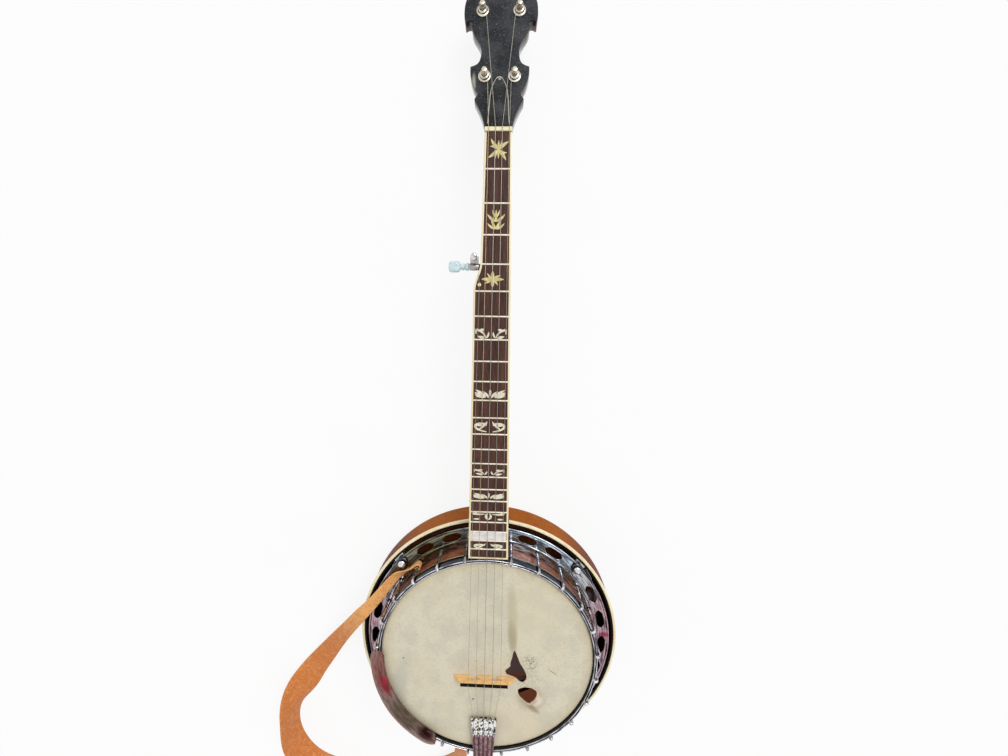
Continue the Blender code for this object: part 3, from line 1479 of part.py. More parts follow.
def main():
    clear_scene()
    neck_frame = empty(
        "neck_frame",
        (0.0, NECK_END_Y, NECK_END_Z),
        Euler((-math.radians(NECK_PITCH), 0.0, 0.0)),
    )
    peg_frame = empty(
        "peg_frame",
        (0.0, BOARD_LENGTH - PEG_ORIGIN_S, -BOARD_THICK),
        Euler((-math.radians(PEG_TILT), 0.0, 0.0)),
        neck_frame,
    )
    make_rim()
    make_head()
    make_tension_hoop()
    make_flange()
    make_resonator()
    make_lugs_and_screws()
    make_coordinator_rods()
    make_tailpiece()
    make_armrest()
    make_bridge()
    make_neck(neck_frame, peg_frame)
    make_board(neck_frame)
    make_nut(neck_frame)
    make_truss_rod(neck_frame, peg_frame)
    make_overlay(peg_frame)
    make_tuners(peg_frame)
    make_fifth_peg()
    make_strings()
    make_strap()


main()
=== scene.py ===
"""Five-string resonator banjo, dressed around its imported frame.

The banjo lies on the flat back of its resonator: +Y runs up the neck, +Z comes out of the head,
and the short fifth string is on the -X side. Sizes are in millimetres and turned into metres by
MM where a mesh is made.
"""

import logging
import math
from dataclasses import dataclass
from enum import Enum
from typing import Callable, Iterable, Sequence, Union

import bmesh
import bpy
import numpy as np
from mathutils import Euler, Matrix, Vector


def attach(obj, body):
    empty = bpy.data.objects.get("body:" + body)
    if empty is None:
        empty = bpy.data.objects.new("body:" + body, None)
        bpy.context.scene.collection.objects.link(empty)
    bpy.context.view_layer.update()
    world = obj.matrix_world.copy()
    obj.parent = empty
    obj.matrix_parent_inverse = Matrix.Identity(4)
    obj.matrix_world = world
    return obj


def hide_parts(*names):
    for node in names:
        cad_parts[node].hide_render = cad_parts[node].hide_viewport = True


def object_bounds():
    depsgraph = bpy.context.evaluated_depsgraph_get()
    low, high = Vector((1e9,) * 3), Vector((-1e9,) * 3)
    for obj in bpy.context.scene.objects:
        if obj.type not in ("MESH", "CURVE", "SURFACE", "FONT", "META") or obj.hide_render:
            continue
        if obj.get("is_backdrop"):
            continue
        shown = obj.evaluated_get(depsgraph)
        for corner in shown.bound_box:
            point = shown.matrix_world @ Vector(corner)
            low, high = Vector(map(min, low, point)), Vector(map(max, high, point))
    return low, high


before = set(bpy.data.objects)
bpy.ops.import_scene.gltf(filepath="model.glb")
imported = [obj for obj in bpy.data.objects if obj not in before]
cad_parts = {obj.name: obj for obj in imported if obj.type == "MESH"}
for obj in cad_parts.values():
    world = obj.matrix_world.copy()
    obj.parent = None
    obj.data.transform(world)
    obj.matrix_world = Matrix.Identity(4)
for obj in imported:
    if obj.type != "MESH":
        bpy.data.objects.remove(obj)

LOG = logging.getLogger("banjo")
MM = 0.001
CAD_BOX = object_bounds()
Point = Sequence[float]
Rings = list[list[Vector]]
Outline = list[tuple[float, float]]


class Body(Enum):
    """The bodies that pieces ride on, apart from the turning ones, which are named by number."""

    INSTRUMENT = "instrument"
    TAIL_SCREW = "tailpiece_adjusting_screw_body"
    FIFTH_POST = "fifth_peg_post_body"
    FIFTH_BUTTON = "fifth_peg_button_body"


class Slot(Enum):
    """The record's material slots."""

    CHROME = "chrome"
    BRASS = "brass"
    STEEL = "steel"
    RIM_WOOD = "rim_wood"
    SUNBURST = "sunburst"
    NECK_WOOD = "neck_wood"
    ROSEWOOD = "rosewood"
    IVOROID = "ivoroid"
    BONE = "bone"
    SKIN = "skin"
    MAPLE = "maple"
    EBONY = "ebony"
    LACQUER = "black_lacquer"
    PEARL = "pearl"
    SUEDE = "suede"


# Shader expressions


class Value:
    """A shader socket that can be written in a sum."""

    def __init__(self, board: "Board", socket: bpy.types.NodeSocket) -> None:
        """Keeps the socket and the board that it is on."""
        self.board = board
        self.socket = socket

    def _math(self, operation: str, other: "Number", swapped: bool = False) -> "Value":
        """Adds one Math node.

        Args:
            operation: the Math node's operation.
            other: the second operand.
            swapped: whether the other operand comes first.

        Returns:
            The node's result.
        """
        pair = (other, self) if swapped else (self, other)
        return self.board.out("ShaderNodeMath", {"operation": operation}, dict(enumerate(pair)))

    def __add__(self, other: "Number") -> "Value":
        """Sum."""
        return self._math("ADD", other)

    def __radd__(self, other: "Number") -> "Value":
        """Sum with the number first."""
        return self._math("ADD", other)

    def __sub__(self, other: "Number") -> "Value":
        """Difference."""
        return self._math("SUBTRACT", other)

    def __rsub__(self, other: "Number") -> "Value":
        """Difference with the number first."""
        return self._math("SUBTRACT", other, True)

    def __mul__(self, other: "Number") -> "Value":
        """Product."""
        return self._math("MULTIPLY", other)

    def __rmul__(self, other: "Number") -> "Value":
        """Product with the number first."""
        return self._math("MULTIPLY", other)

    def __truediv__(self, other: "Number") -> "Value":
        """Quotient."""
        return self._math("DIVIDE", other)

    def __pow__(self, other: "Number") -> "Value":
        """Power."""
        return self._math("POWER", other)

    def most(self, other: "Number") -> "Value":
        """The larger of the two."""
        return self._math("MAXIMUM", other)

    def size(self) -> "Value":
        """The number without its sign."""
        return self._math("ABSOLUTE", 0.0)

    def angle_from(self, other: "Number") -> "Value":
        """The angle, in radians, of a point this far across and that far along."""
        return self._math("ARCTAN2", other)

    def wave(self) -> "Value":
        """The cosine of the number."""
        return self._math("COSINE", 0.0)


Number = Union[Value, float]
Colour = Union[Value, tuple]


class Board:
    """A shader node tree, with the pattern helpers that finishes are written in."""

    def __init__(self, owner: Union[bpy.types.Material, bpy.types.World]) -> None:
        """Takes over the tree of a material or a world, with the nodes that it starts with.

        Args:
            owner: the material or world.
        """
        owner.use_nodes = True
        self.material = owner
        self.nodes = owner.node_tree.nodes
        self.links = owner.node_tree.links
        self.shader = self.nodes.get("Principled BSDF") or self.nodes["Background"]
        self._where: Union[Value, None] = None

    def add(self, kind: str, settings: dict, inputs: dict) -> bpy.types.Node:
        """Adds any node.

        Args:
            kind: the node's type.
            settings: its settings, set first.
            inputs: values or links by socket name or number.

        Returns:
            The node.
        """
        node = self.nodes.new(kind)
        for key, value in settings.items():
            setattr(node, key, value)
        for key, value in inputs.items():
            self._give(node.inputs[key], value)
        return node

    def out(self, kind: str, settings: dict, inputs: dict, number: Union[int, str] = 0) -> Value:
        """Adds a node and takes one of its outputs."""
        return Value(self, self.add(kind, settings, inputs).outputs[number])

    def _give(self, socket: bpy.types.NodeSocket, value: Union[Value, float, tuple]) -> None:
        """Links or sets a socket; a colour of three numbers gets its fourth.

        Args:
            socket: the socket.
            value: a link or a constant.
        """
        if isinstance(value, Value):
            self.links.new(value.socket, socket)
        elif socket.type == "RGBA" and len(value) == 3:
            socket.default_value = (*value, 1.0)
        else:
            socket.default_value = value

    def join(self, start: bpy.types.NodeSocket, end: bpy.types.NodeSocket) -> None:
        """Links two shader sockets."""
        self.links.new(start, end)

    def seen_as_white(self) -> Value:
        """One for the rays that should see the white background, and 0 for the rest.

        Returns:
            The mask.
        """
        path = self.add("ShaderNodeLightPath", {}, {}).outputs
        camera, glossy, through = (
            Value(self, path[name]) for name in ("Is Camera Ray", "Is Glossy Ray", "Is Transmission Ray")
        )
        return camera.most(glossy).most(through)

    def feed(self, socket: str, value: Union[Value, float, tuple]) -> None:
        """Links a socket of the shader to what varies over the surface, or sets it."""
        self._give(self.shader.inputs[socket], value)

    def dull(self, rough: tuple[float, float], share: Value) -> None:
        """Feeds the roughness, from its low to its high by a share."""
        low, high = rough
        self.feed("Roughness", low + (high - low) * share)

    def where(self) -> Value:
        """The place on the piece, in millimetres.

        Returns:
            The vector, made once.
        """
        if self._where is None:
            inputs = {0: self.out("ShaderNodeTexCoord", {}, {}, "Object"), "Scale": 1.0 / MM}
            self._where = self.out("ShaderNodeVectorMath", {"operation": "SCALE"}, inputs)
        return self._where

    def axes(self, place: Union[Value, None] = None) -> tuple[Value, Value, Value]:
        """The place's three numbers."""
        node = self.add("ShaderNodeSeparateXYZ", {}, {0: place or self.where()})
        return tuple(Value(self, out) for out in node.outputs)

    def radius(self) -> Value:
        """The distance from the pot's axis."""
        x, y, _ = self.axes()
        return (x * x + y * y) ** 0.5

    def unrolled(self, along: float, across: float = 1.0) -> Value:
        """The place unrolled round the pot, for streaks that run round it, such as painted reflections in the
        chrome.

        Args:
            along: how long a streak is round the pot.
            across: how wide it is outward and upward.

        Returns:
            The new vector.
        """
        x, y, z = self.axes()
        inputs = {0: x.angle_from(y) * (150.0 / along), 1: self.radius() / across, 2: z / across}
        return self.out("ShaderNodeCombineXYZ", {}, inputs)

    def stretched(self, by: Point, turn: Point = (0.0, 0.0, 0.0)) -> Value:
        """The place, turned and then scaled, for a pattern that runs one way.

        Args:
            by: the three scales.
            turn: Euler angles in degrees.

        Returns:
            The new vector.
        """
        angles = tuple(math.radians(a) for a in turn)
        inputs = {"Vector": self.where(), "Rotation": angles, "Scale": tuple(by)}
        return self.out("ShaderNodeMapping", {"vector_type": "POINT"}, inputs)

    def noise(self, size: float, detail: float = 3.0, place: Union[Value, None] = None) -> Value:
        """Soft noise from 0 to 1.

        Args:
            size: how far apart its blobs are, in millimetres.
            detail: its finer octaves.
            place: another vector than the plain place.

        Returns:
            The noise.
        """
        inputs = {"Vector": place or self.where(), "Scale": 1.0 / size, "Detail": detail}
        return self.out("ShaderNodeTexNoise", {}, inputs)

    def cells(self, size: float, place: Union[Value, None] = None) -> Value:
        """Distance to the nearest of scattered points, in shares of their spacing."""
        inputs = {"Vector": place or self.where(), "Scale": 1.0 / size}
        return self.out("ShaderNodeTexVoronoi", {}, inputs)

    def step(self, value: Value, low: float, high: float) -> Value:
        """A smooth step from 0 at low to 1 at high.

        Args:
            value: what is measured.
            low: where the step starts.
            high: where it ends, which may be below low.

        Returns:
            The step.
        """
        inputs = {"Value": value, "From Min": low, "From Max": high}
        return self.out("ShaderNodeMapRange", {"interpolation_type": "SMOOTHSTEP"}, inputs)

    def spot(self, x: float, y: float, reach: tuple[float, float], turn: float = 0.0) -> Value:
        """An oval mask on the X-Y plane, 1 in its middle and 0 at its edge.

        Args:
            x: its middle.
            y: its middle.
            reach: its two half sizes.
            turn: its turn in degrees.

        Returns:
            The mask.
        """
        px, py, _ = self.axes()
        c, s = math.cos(math.radians(turn)), math.sin(math.radians(turn))
        dx, dy = px - x, py - y
        along = (dx * c + dy * s) / reach[0]
        across = (dy * c - dx * s) / reach[1]
        return self.step((along * along + across * across) ** 0.5, 1.0, 0.35)

    def mix(self, share: Number, first: Colour, second: Colour) -> Value:
        """Mixes two colours by a share."""
        return self.out("ShaderNodeMix", {"data_type": "RGBA"}, {0: share, 6: first, 7: second}, 2)

    def bump(self, height: Value, depth: float, strength: float = 1.0) -> None:
        """Raises the surface by a height pattern.

        Args:
            height: the pattern.
            depth: how high its 1 stands, in millimetres.
            strength: how much of it shows.
        """
        inputs = {"Height": height, "Distance": depth * MM, "Strength": strength}
        self.feed("Normal", self.out("ShaderNodeBump", {}, inputs))


# Finishes


@dataclass(frozen=True)
class Patch:
    """An oval area of another colour on a piece, seen from above."""

    x: float
    y: float
    reach: tuple[float, float]
    colour: tuple
    share: float = 1.0
    turn: float = 0.0


@dataclass(frozen=True)
class Finish:
    """What every finish has: a name, its slot and its patches of other colours."""

    name: str
    slot: Slot
    patches: tuple[Patch, ...] = ()

    def patched(self, board: Board, colour: Value) -> Value:
        """Lays the patches over a colour.

        Args:
            board: the material's board.
            colour: what they lie on.

        Returns:
            The new colour.
        """
        for patch in self.patches:
            mask = board.spot(patch.x, patch.y, patch.reach, patch.turn) * patch.share
            colour = board.mix(mask, colour, patch.colour)
        return colour

    def paint(self, board: Board) -> None:
        """Builds the finish's nodes on a board."""
        raise NotImplementedError

    def material(self) -> bpy.types.Material:
        """The finish's material, made once.

        Returns:
            The material.
        """
        found = bpy.data.materials.get(self.name)
        if found is None:
            board = Board(bpy.data.materials.new(self.name))
            self.paint(board)
            found = board.material
        return found


@dataclass(frozen=True)
class Metal(Finish):
    """Plated or bare metal with smudges, tarnished patches and fine scratches; on the flange, hoop, armrest
    and tailpiece its dark blotches and streaks are painted reflections.
    """

    colour: tuple = (0.80, 0.80, 0.82)
    # Tarnished patches; on the flange, hoop, armrest and tailpiece also dark painted reflections.
    tarnish_and_reflection: tuple = (0.42, 0.38, 0.34)
    # How much of the tarnished patches and painted reflections shows.
    tarnish_and_reflection_share: float = 0.35
    rough: tuple[float, float] = (0.08, 0.26)
    blob: float = 14.0
    streak: float = 0.0

    def shaded(self, board: Board, mask: Value) -> Value:
        """The metal's colour, with tarnished patches and painted reflections laid in by a mask."""
        return board.mix(mask, self.patched(board, self.colour), self.tarnish_and_reflection)

    def paint(self, board: Board) -> None:
        """Colour by tarnished patches and painted reflections, in blobs or in streaks round the pot;
        roughness by smudges.

        Args:
            board: the material's board.
        """
        place = board.unrolled(self.streak) if self.streak else None
        blobs = board.noise(self.blob, 4.0, place)
        fine = board.noise(1.3, 3.0)
        mask = board.step(blobs + fine * 0.16, 0.46, 0.74) * self.tarnish_and_reflection_share
        board.feed("Base Color", self.shaded(board, mask))
        board.feed("Metallic", 1.0)
        board.dull(self.rough, board.step(fine * 0.4 + blobs * 0.7, 0.3, 0.8))
        board.bump(board.noise(5.0, 2.0) + fine * 0.08, 0.10, 0.5)


@dataclass(frozen=True)
class HoopMetal(Metal):
    """The tension hoop's plating: bright lips over painted shade on its walls and groove."""

    shadow: tuple = (0.022, 0.022, 0.030)
    lip_z: float = 108.2

    def shaded(self, board: Board, mask: Value) -> Value:
        """Lays painted shade on the plating below the lips."""
        below = board.step(board.axes()[2], self.lip_z + 0.4, self.lip_z - 0.5)
        return board.mix(below * 0.94, super().shaded(board, mask), self.shadow)


@dataclass(frozen=True)
class FlutedMetal(Metal):
    """The tailpiece's plating, with painted shade between its pale flutes, which draw in toward the screw."""

    middle_x: float = -1.8
    pitch: float = 6.8
    dark: tuple = (0.055, 0.022, 0.026)

    def shaded(self, board: Board, mask: Value) -> Value:
        """Paints the front pale with dark spots (painted highlight and painted shade), and lays painted shade
        in lines between the flutes from where they start.

        Args:
            board: the material's board.
            mask: where the tarnished patches and painted reflections lie.

        Returns:
            The colour.
        """
        x, y, _ = board.axes()
        # Painted highlight on the front, with dark spots painted where its openings lie in shade.
        front = board.step(y, -110.0, -106.0)
        marks = board.step(board.noise(3.2, 2.0), 0.50, 0.56)
        pale = board.mix(marks, (0.80, 0.79, 0.76), (0.035, 0.03, 0.034))
        plain = board.mix(front, super().shaded(board, mask), pale)
        # Painted shade in lines between the flutes.
        narrowing = 1.0 + (y + 91.0) * 0.0035
        wave = ((x - self.middle_x) / narrowing * (2 * math.pi / self.pitch)).wave()
        line = board.step(wave, -0.35, 0.55) * board.step(y, -109.0, -113.0)
        hair = board.step(board.noise(0.9, 2.0, board.stretched((1.0, 0.06, 1.0))), 0.52, 0.62)
        dark = line * (0.72 + 0.28 * hair)
        return board.mix(dark, plain, self.dark)


@dataclass(frozen=True)
class Wood(Finish):
    """Lacquered or oiled wood with grain along one axis."""

    light: tuple = (0.40, 0.15, 0.05)
    dark: tuple = (0.12, 0.03, 0.01)
    along: tuple = (0.0, 0.0, 0.0)
    grain: float = 1.6
    length: float = 18.0
    rough: tuple[float, float] = (0.12, 0.24)
    coat: float = 0.6
    gloss: float = 0.4
    depth: float = 0.04
    # Strength of painted light: an emission inside the pot.
    glow: float = 0.0

    def light_up(self, board: Board, mask: Value, colour: Colour) -> None:
        """Paints light on the inside of the pot by emission, standing in for the light that comes in through
        its skin.

        Args:
            board: the material's board.
            mask: where it shows.
            colour: its colour.
        """
        if self.glow:
            board.feed("Emission Color", board.mix(mask, (0.0, 0.0, 0.0), colour))
            board.feed("Emission Strength", self.glow)

    def grained(self, board: Board) -> Value:
        """The grain's pattern from 0 to 1.

        Args:
            board: the material's board.

        Returns:
            The pattern.
        """
        place = board.stretched((1.0, 1.0 / self.length, 1.0), self.along)
        streaks = board.noise(self.grain, 5.0, place)
        bands = board.noise(self.grain * 6.0, 3.0, place)
        return board.step(streaks * 0.65 + bands * 0.5, 0.32, 0.84)

    def paint(self, board: Board) -> None:
        """Colour by grain, with pores in the surface under the coat.

        Args:
            board: the material's board.
        """
        grain = self.grained(board)
        colour = board.mix(grain, self.dark, self.light)
        board.feed("Base Color", self.patched(board, colour))
        board.dull(self.rough, board.noise(7.0, 3.0))
        board.feed("Specular IOR Level", self.gloss)
        board.feed("Coat Weight", self.coat)
        board.feed("Coat Roughness", 0.06)
        # Painted light: the rim's inner wall glows.
        self.light_up(board, board.step(board.radius(), 127.4, 126.2), self.light)
        board.bump(grain, self.depth, 0.6)


@dataclass(frozen=True)
class Burst(Wood):
    """Sunburst wood: amber where the pot is near the neck, and red-brown to dark at its sides."""

    edge: tuple = (0.13, 0.020, 0.004)
    black_from: float = 0.0

    def paint(self, board: Board) -> None:
        """Adds the burst and the black inner edge (the wall's dark top and painted shade of the gap by the
        flange) to the grained colour.

        Args:
            board: the material's board.
        """
        grain = self.grained(board)
        x, y, z = board.axes()
        colour = board.mix(grain, self.dark, self.light)
        reach = x.size() + y * -0.55
        shade = board.step(reach + board.noise(30.0) * 12.0, 8.0, 96.0)
        colour = board.mix(shade * 0.93, colour, self.edge)
        # Black inner edge: the wall's dark-stained top, and painted shade of the gap beside the flange.
        if self.black_from:
            inner = board.step(board.radius(), self.black_from, self.black_from - 0.3)
            colour = board.mix(inner, colour, (0.012, 0.009, 0.009))
        board.feed("Base Color", self.patched(board, colour))
        # Painted light: the bowl's floor under the pot glows, mauve toward the neck and orange toward the
        # tail.
        inside = board.step(z, 4.0, 4.8) * board.step(board.radius(), 127.0, 118.0)
        warmth = board.mix(board.step(y, -96.0, -112.0), (0.50, 0.37, 0.40), (0.80, 0.26, 0.09))
        self.light_up(board, inside, warmth)
        board.dull(self.rough, board.noise(9.0, 3.0))
        board.feed("Specular IOR Level", self.gloss)
        board.feed("Coat Weight", self.coat)
        board.feed("Coat Roughness", 0.05)
        board.bump(grain, self.depth, 0.5)


@dataclass(frozen=True)
class Cast(Finish):
    """Cream plastic, bone or pearl: a cloudy or streaked pale body with a polish."""

    light: tuple = (0.92, 0.80, 0.52)
    dark: tuple = (0.72, 0.55, 0.28)
    size: float = 6.0
    stretch: tuple = (1.0, 0.15, 1.0)
    rough: tuple[float, float] = (0.22, 0.42)
    depth: float = 0.02
    sheen: float = 0.25

    def paint(self, board: Board) -> None:
        """Colour by cloudy streaks, with a dulled polish.

        Args:
            board: the material's board.
        """
        streaks = board.noise(self.size, 4.0, board.stretched(self.stretch))
        specks = board.noise(0.8, 2.0)
        share = board.step(streaks + specks * 0.15, 0.35, 0.85)
        board.feed("Base Color", self.patched(board, board.mix(share, self.light, self.dark)))
        board.dull(self.rough, board.noise(5.0, 3.0))
        board.feed("Coat Weight", self.sheen)
        board.bump(streaks, self.depth, 0.5)


@dataclass(frozen=True)
class Lacquer(Finish):
    """Black lacquer with dust, and a pale patch where one is given, as on the peghead's left edge."""

    colour: tuple = (0.016, 0.018, 0.023)
    dust: tuple = (0.24, 0.24, 0.22)
    rough: tuple[float, float] = (0.42, 0.60)

    def paint(self, board: Board) -> None:
        """Near black with greyer clouds and dust specks.

        Args:
            board: the material's board.
        """
        cloud = board.noise(22.0, 5.0)
        specks = board.step(board.noise(1.5, 3.0), 0.56, 0.70)
        colour = board.mix(board.step(cloud, 0.38, 0.66), self.colour, (0.050, 0.052, 0.056))
        colour = board.mix(specks * 0.38, colour, self.dust)
        board.feed("Base Color", self.patched(board, colour))
        board.dull(self.rough, board.step(cloud, 0.3, 0.7))
        board.feed("Specular IOR Level", 0.14)
        board.bump(board.noise(3.0, 3.0) + specks * 0.3, 0.05, 0.3)


@dataclass(frozen=True)
class Skin(Finish):
    """The head's aged cream skin, with mottling, an edge darkened by browning and painted shade, and marks of
    play.
    """

    cream: tuple = (0.71, 0.655, 0.505)
    grey: tuple = (0.625, 0.585, 0.465)
    brown: tuple = (0.26, 0.18, 0.10)
    sprinkles: tuple[Patch, ...] = ()

    def paint(self, board: Board) -> None:
        """Mottled cream with specks, the patches over it, then the sprinkled marks.

        Args:
            board: the material's board.
        """
        cloud = board.noise(24.0, 6.0)
        fine = board.noise(2.4, 4.0)
        colour = board.mix(board.step(cloud + fine * 0.16, 0.46, 0.72), self.cream, self.grey)
        warm = board.step(board.noise(44.0, 5.0), 0.48, 0.70) * 0.5
        colour = board.mix(warm, colour, (0.72, 0.64, 0.45))
        colour = board.mix(board.step(fine, 0.50, 0.66) * 0.4, colour, (0.54, 0.485, 0.35))
        # Darker toward the hoop: browning, and painted shade beside the hoop.
        edge = board.step(board.radius() + cloud * 10.0, 126.0, 144.0)
        colour = board.mix(edge * 0.4, colour, (0.60, 0.49, 0.29))
        specks = board.step(board.cells(8.0), 0.08, 0.02) * board.step(board.noise(31.0), 0.48, 0.6)
        colour = self.patched(board, board.mix(specks * 0.7, colour, self.brown))
        dots = board.step(board.noise(1.5, 3.0), 0.50, 0.60)
        for patch in self.sprinkles:
            mask = board.spot(patch.x, patch.y, patch.reach, patch.turn) * patch.share
            colour = board.mix(mask * dots, colour, patch.colour)
        board.feed("Base Color", colour)
        board.feed("Roughness", 0.46 + 0.22 * board.step(fine, 0.3, 0.7))
        board.feed("Specular IOR Level", 0.3)
        board.bump(fine * 0.5 + board.noise(0.9, 2.0) * 0.3 + cloud * 0.4, 0.12, 0.35)


@dataclass(frozen=True)
class Suede(Finish):
    """Orange suede with a mottled nap, deeper in colour toward -Y."""

    pale: tuple = (0.93, 0.49, 0.175)
    deep: tuple = (0.62, 0.19, 0.045)

    def paint(self, board: Board) -> None:
        """Colour by blotches and grain, and a rough napped surface.

        Args:
            board: the material's board.
        """
        blotch = board.noise(7.0, 4.0)
        nap = board.noise(1.3, 4.0)
        far = board.step(board.axes()[1], 60.0, -60.0) * 0.22
        share = board.step(blotch * 0.35 + nap * 0.8 + far, 0.50, 0.86)
        colour = board.mix(share, self.pale, self.deep)
        dots = board.step(board.noise(2.1, 3.0), 0.56, 0.66) * 0.42
        colour = board.mix(dots, colour, (0.36, 0.15, 0.08))
        board.feed("Base Color", self.patched(board, colour))
        board.feed("Roughness", 0.86 + 0.12 * nap)
        board.feed("Sheen Weight", 0.12)
        board.feed("Sheen Roughness", 0.5)
        board.feed("Specular IOR Level", 0.2)
        board.bump(nap * 0.7 + blotch * 0.3, 0.30, 0.7)


@dataclass(frozen=True)
class WoundWire(Finish):
    """Steel or bronze string; a wound one has ridges along its run."""

    colour: tuple = (0.62, 0.60, 0.56)
    pitch: float = 0.0

    def paint(self, board: Board) -> None:
        """Metal with tarnished blotches, and the winding's ridges where it has them.

        Args:
            board: the material's board.
        """
        blobs = board.noise(30.0, 4.0)
        colour = board.mix(board.step(blobs, 0.4, 0.7) * 0.5, self.colour, (0.33, 0.27, 0.19))
        board.feed("Base Color", colour)
        board.feed("Metallic", 1.0)
        board.feed("Roughness", 0.22 + 0.14 * blobs)
        height = board.noise(2.0, 2.0)
        if self.pitch:
            settings = {"wave_type": "BANDS", "bands_direction": "Y"}
            inputs = {"Vector": board.where(), "Scale": 0.314 / self.pitch}
            height = board.out("ShaderNodeTexWave", settings, inputs, 1)
        board.bump(height, 0.05, 0.7)


# Mesh helpers


def blend_step(start: float, end: float, share: float) -> float:
    """A smooth step from start to end as share goes from 0 to 1."""
    share = min(max(share, 0.0), 1.0)
    return start + (end - start) * (0.5 - 0.5 * math.cos(math.pi * share))


def polar(radius: float, degrees: float, z: float = 0.0) -> Vector:
    """A point at an angle measured from +Y toward +X."""
    angle = math.radians(degrees)
    return Vector((radius * math.sin(angle), radius * math.cos(angle), z))


def full_turn(count: int) -> np.ndarray:
    """Angles all the way round, in radians."""
    return np.linspace(0.0, 2 * math.pi, count, endpoint=False)


def turned_ring(radius: float, z: float, count: int, turn: float = 0.0) -> list[Vector]:
    """A ring of points round the Z axis."""
    angles = full_turn(count) + turn
    return [Vector((radius * math.cos(a), radius * math.sin(a), z)) for a in angles]


def smooth_path(points: Iterable[Point], steps: int, closed: bool = False) -> list[np.ndarray]:
    """Catmull-Rom points through rows of numbers.

    Args:
        points: the rows.
        steps: how many pieces each span gets.
        closed: whether the last row joins the first.

    Returns:
        The finer rows.
    """
    rows = [np.array(row, float) for row in points]
    if closed:
        padded = [rows[-1], *rows, rows[0], rows[1]]
    else:
        padded = [2 * rows[0] - rows[1], *rows, 2 * rows[-1] - rows[-2]]
    out = []
    for a, b, c, d in zip(padded, padded[1:], padded[2:], padded[3:]):
        for t in np.arange(steps) / steps:
            linear = (c - a) * t
            square = (2 * a - 5 * b + 4 * c - d) * t**2
            cube = (3 * b - a - 3 * c + d) * t**3
            out.append(0.5 * (2 * b + linear + square + cube))
    if not closed:
        out.append(rows[-1])
    return out


def linked(name: str, data: bpy.types.ID) -> bpy.types.Object:
    """A new object, linked to the scene.

    Args:
        name: its name.
        data: its mesh, curve, camera or lamp.

    Returns:
        The object.
    """
    obj = bpy.data.objects.new(name, data)
    bpy.context.scene.collection.objects.link(obj)
    return obj


def smoothed(obj: bpy.types.Object, sharp: float) -> bpy.types.Object:
    """Shades an object smooth.

    Args:
        obj: the mesh object.
        sharp: the angle past which an edge stays sharp.

    Returns:
        The object.
    """
    obj.data.shade_smooth()
    obj.data.set_sharp_from_angle(angle=math.radians(sharp))
    return obj


def object_from(name: str, bm: bmesh.types.BMesh, sharp: float = 38.0) -> bpy.types.Object:
    """Turns a bmesh in millimetres into a smooth-shaded object in metres.

    Args:
        name: the object's name.
        bm: the mesh, which is used up.
        sharp: the angle past which an edge stays sharp.

    Returns:
        The object, linked to the scene.
    """
    bmesh.ops.remove_doubles(bm, verts=bm.verts, dist=0.0008)
    bmesh.ops.recalc_face_normals(bm, faces=bm.faces)
    bmesh.ops.scale(bm, vec=(MM, MM, MM), verts=bm.verts)
    mesh = bpy.data.meshes.new(name)
    bm.to_mesh(mesh)
    bm.free()
    return smoothed(linked(name, mesh), sharp)


def add_loft(bm: bmesh.types.BMesh, rings: Rings, loop: bool = False) -> None:
    """Skins rings into a closed shell.

    Args:
        bm: the mesh that gets it.
        rings: rings of equal count.
        loop: joins the last ring to the first in place of two caps.
    """
    rows = [[bm.verts.new(point) for point in ring] for ring in rings]
    pairs = list(zip(rows, rows[1:])) + ([(rows[-1], rows[0])] if loop else [])
    for low, high in pairs:
        for i, vert in enumerate(low):
            j = (i + 1) % len(low)
            bm.faces.new((vert, low[j], high[j], high[i]))
    if not loop:
        bm.faces.new(rows[0][::-1])
        bm.faces.new(rows[-1])


def loft(name: str, rings: Rings, loop: bool = False, sharp: float = 38.0) -> bpy.types.Object:
    """A lofted object.

    Args:
        name: the object's name.
        rings: rings of equal count.
        loop: whether the last ring joins the first.
        sharp: the angle past which an edge stays sharp.

    Returns:
        The object.
    """
    bm = bmesh.new()
    add_loft(bm, rings, loop)
    return object_from(name, bm, sharp)


def lathe(
    name: str, profile: Sequence[Point], count: int = 192, closed: bool = False, sharp: float = 38.0
) -> bpy.types.Object:
    """A turned object from (radius, height) points; closed makes a ring round a bore."""
    return loft(name, [turned_ring(r, z, count) for r, z in profile], closed, sharp)


def add_prism(bm: bmesh.types.BMesh, outline: Sequence[Point], z0: float, z1: float) -> None:
    """Adds an outline of (x, y) points, raised from one height to another.

    Args:
        bm: the mesh that gets it.
        outline: (x, y) points.
        z0: the height of its foot.
        z1: the height of its top.
    """
    face = bm.faces.new([bm.verts.new((x, y, z0)) for x, y in outline])
    moved = bmesh.ops.extrude_face_region(bm, geom=[face])["geom"]
    verts = [item for item in moved if isinstance(item, bmesh.types.BMVert)]
    bmesh.ops.translate(bm, verts=verts, vec=(0.0, 0.0, z1 - z0))


def prism(name: str, outline: Sequence[Point], z0: float, z1: float) -> bpy.types.Object:
    """A raised outline as an object.

    Args:
        name: the object's name.
        outline: (x, y) points.
        z0: the height of its foot.
        z1: the height of its top.

    Returns:
        The object.
    """
    bm = bmesh.new()
    add_prism(bm, outline, z0, z1)
    return object_from(name, bm)


def place(obj: bpy.types.Object, matrix: Matrix) -> bpy.types.Object:
    """Moves an object's mesh by a matrix in millimetres, and leaves the object at the origin.

    Args:
        obj: the object.
        matrix: where its mesh goes.

    Returns:
        The same object.
    """
    scale = Matrix.Scale(MM, 4)
    obj.data.transform(scale @ matrix @ scale.inverted())
    return obj


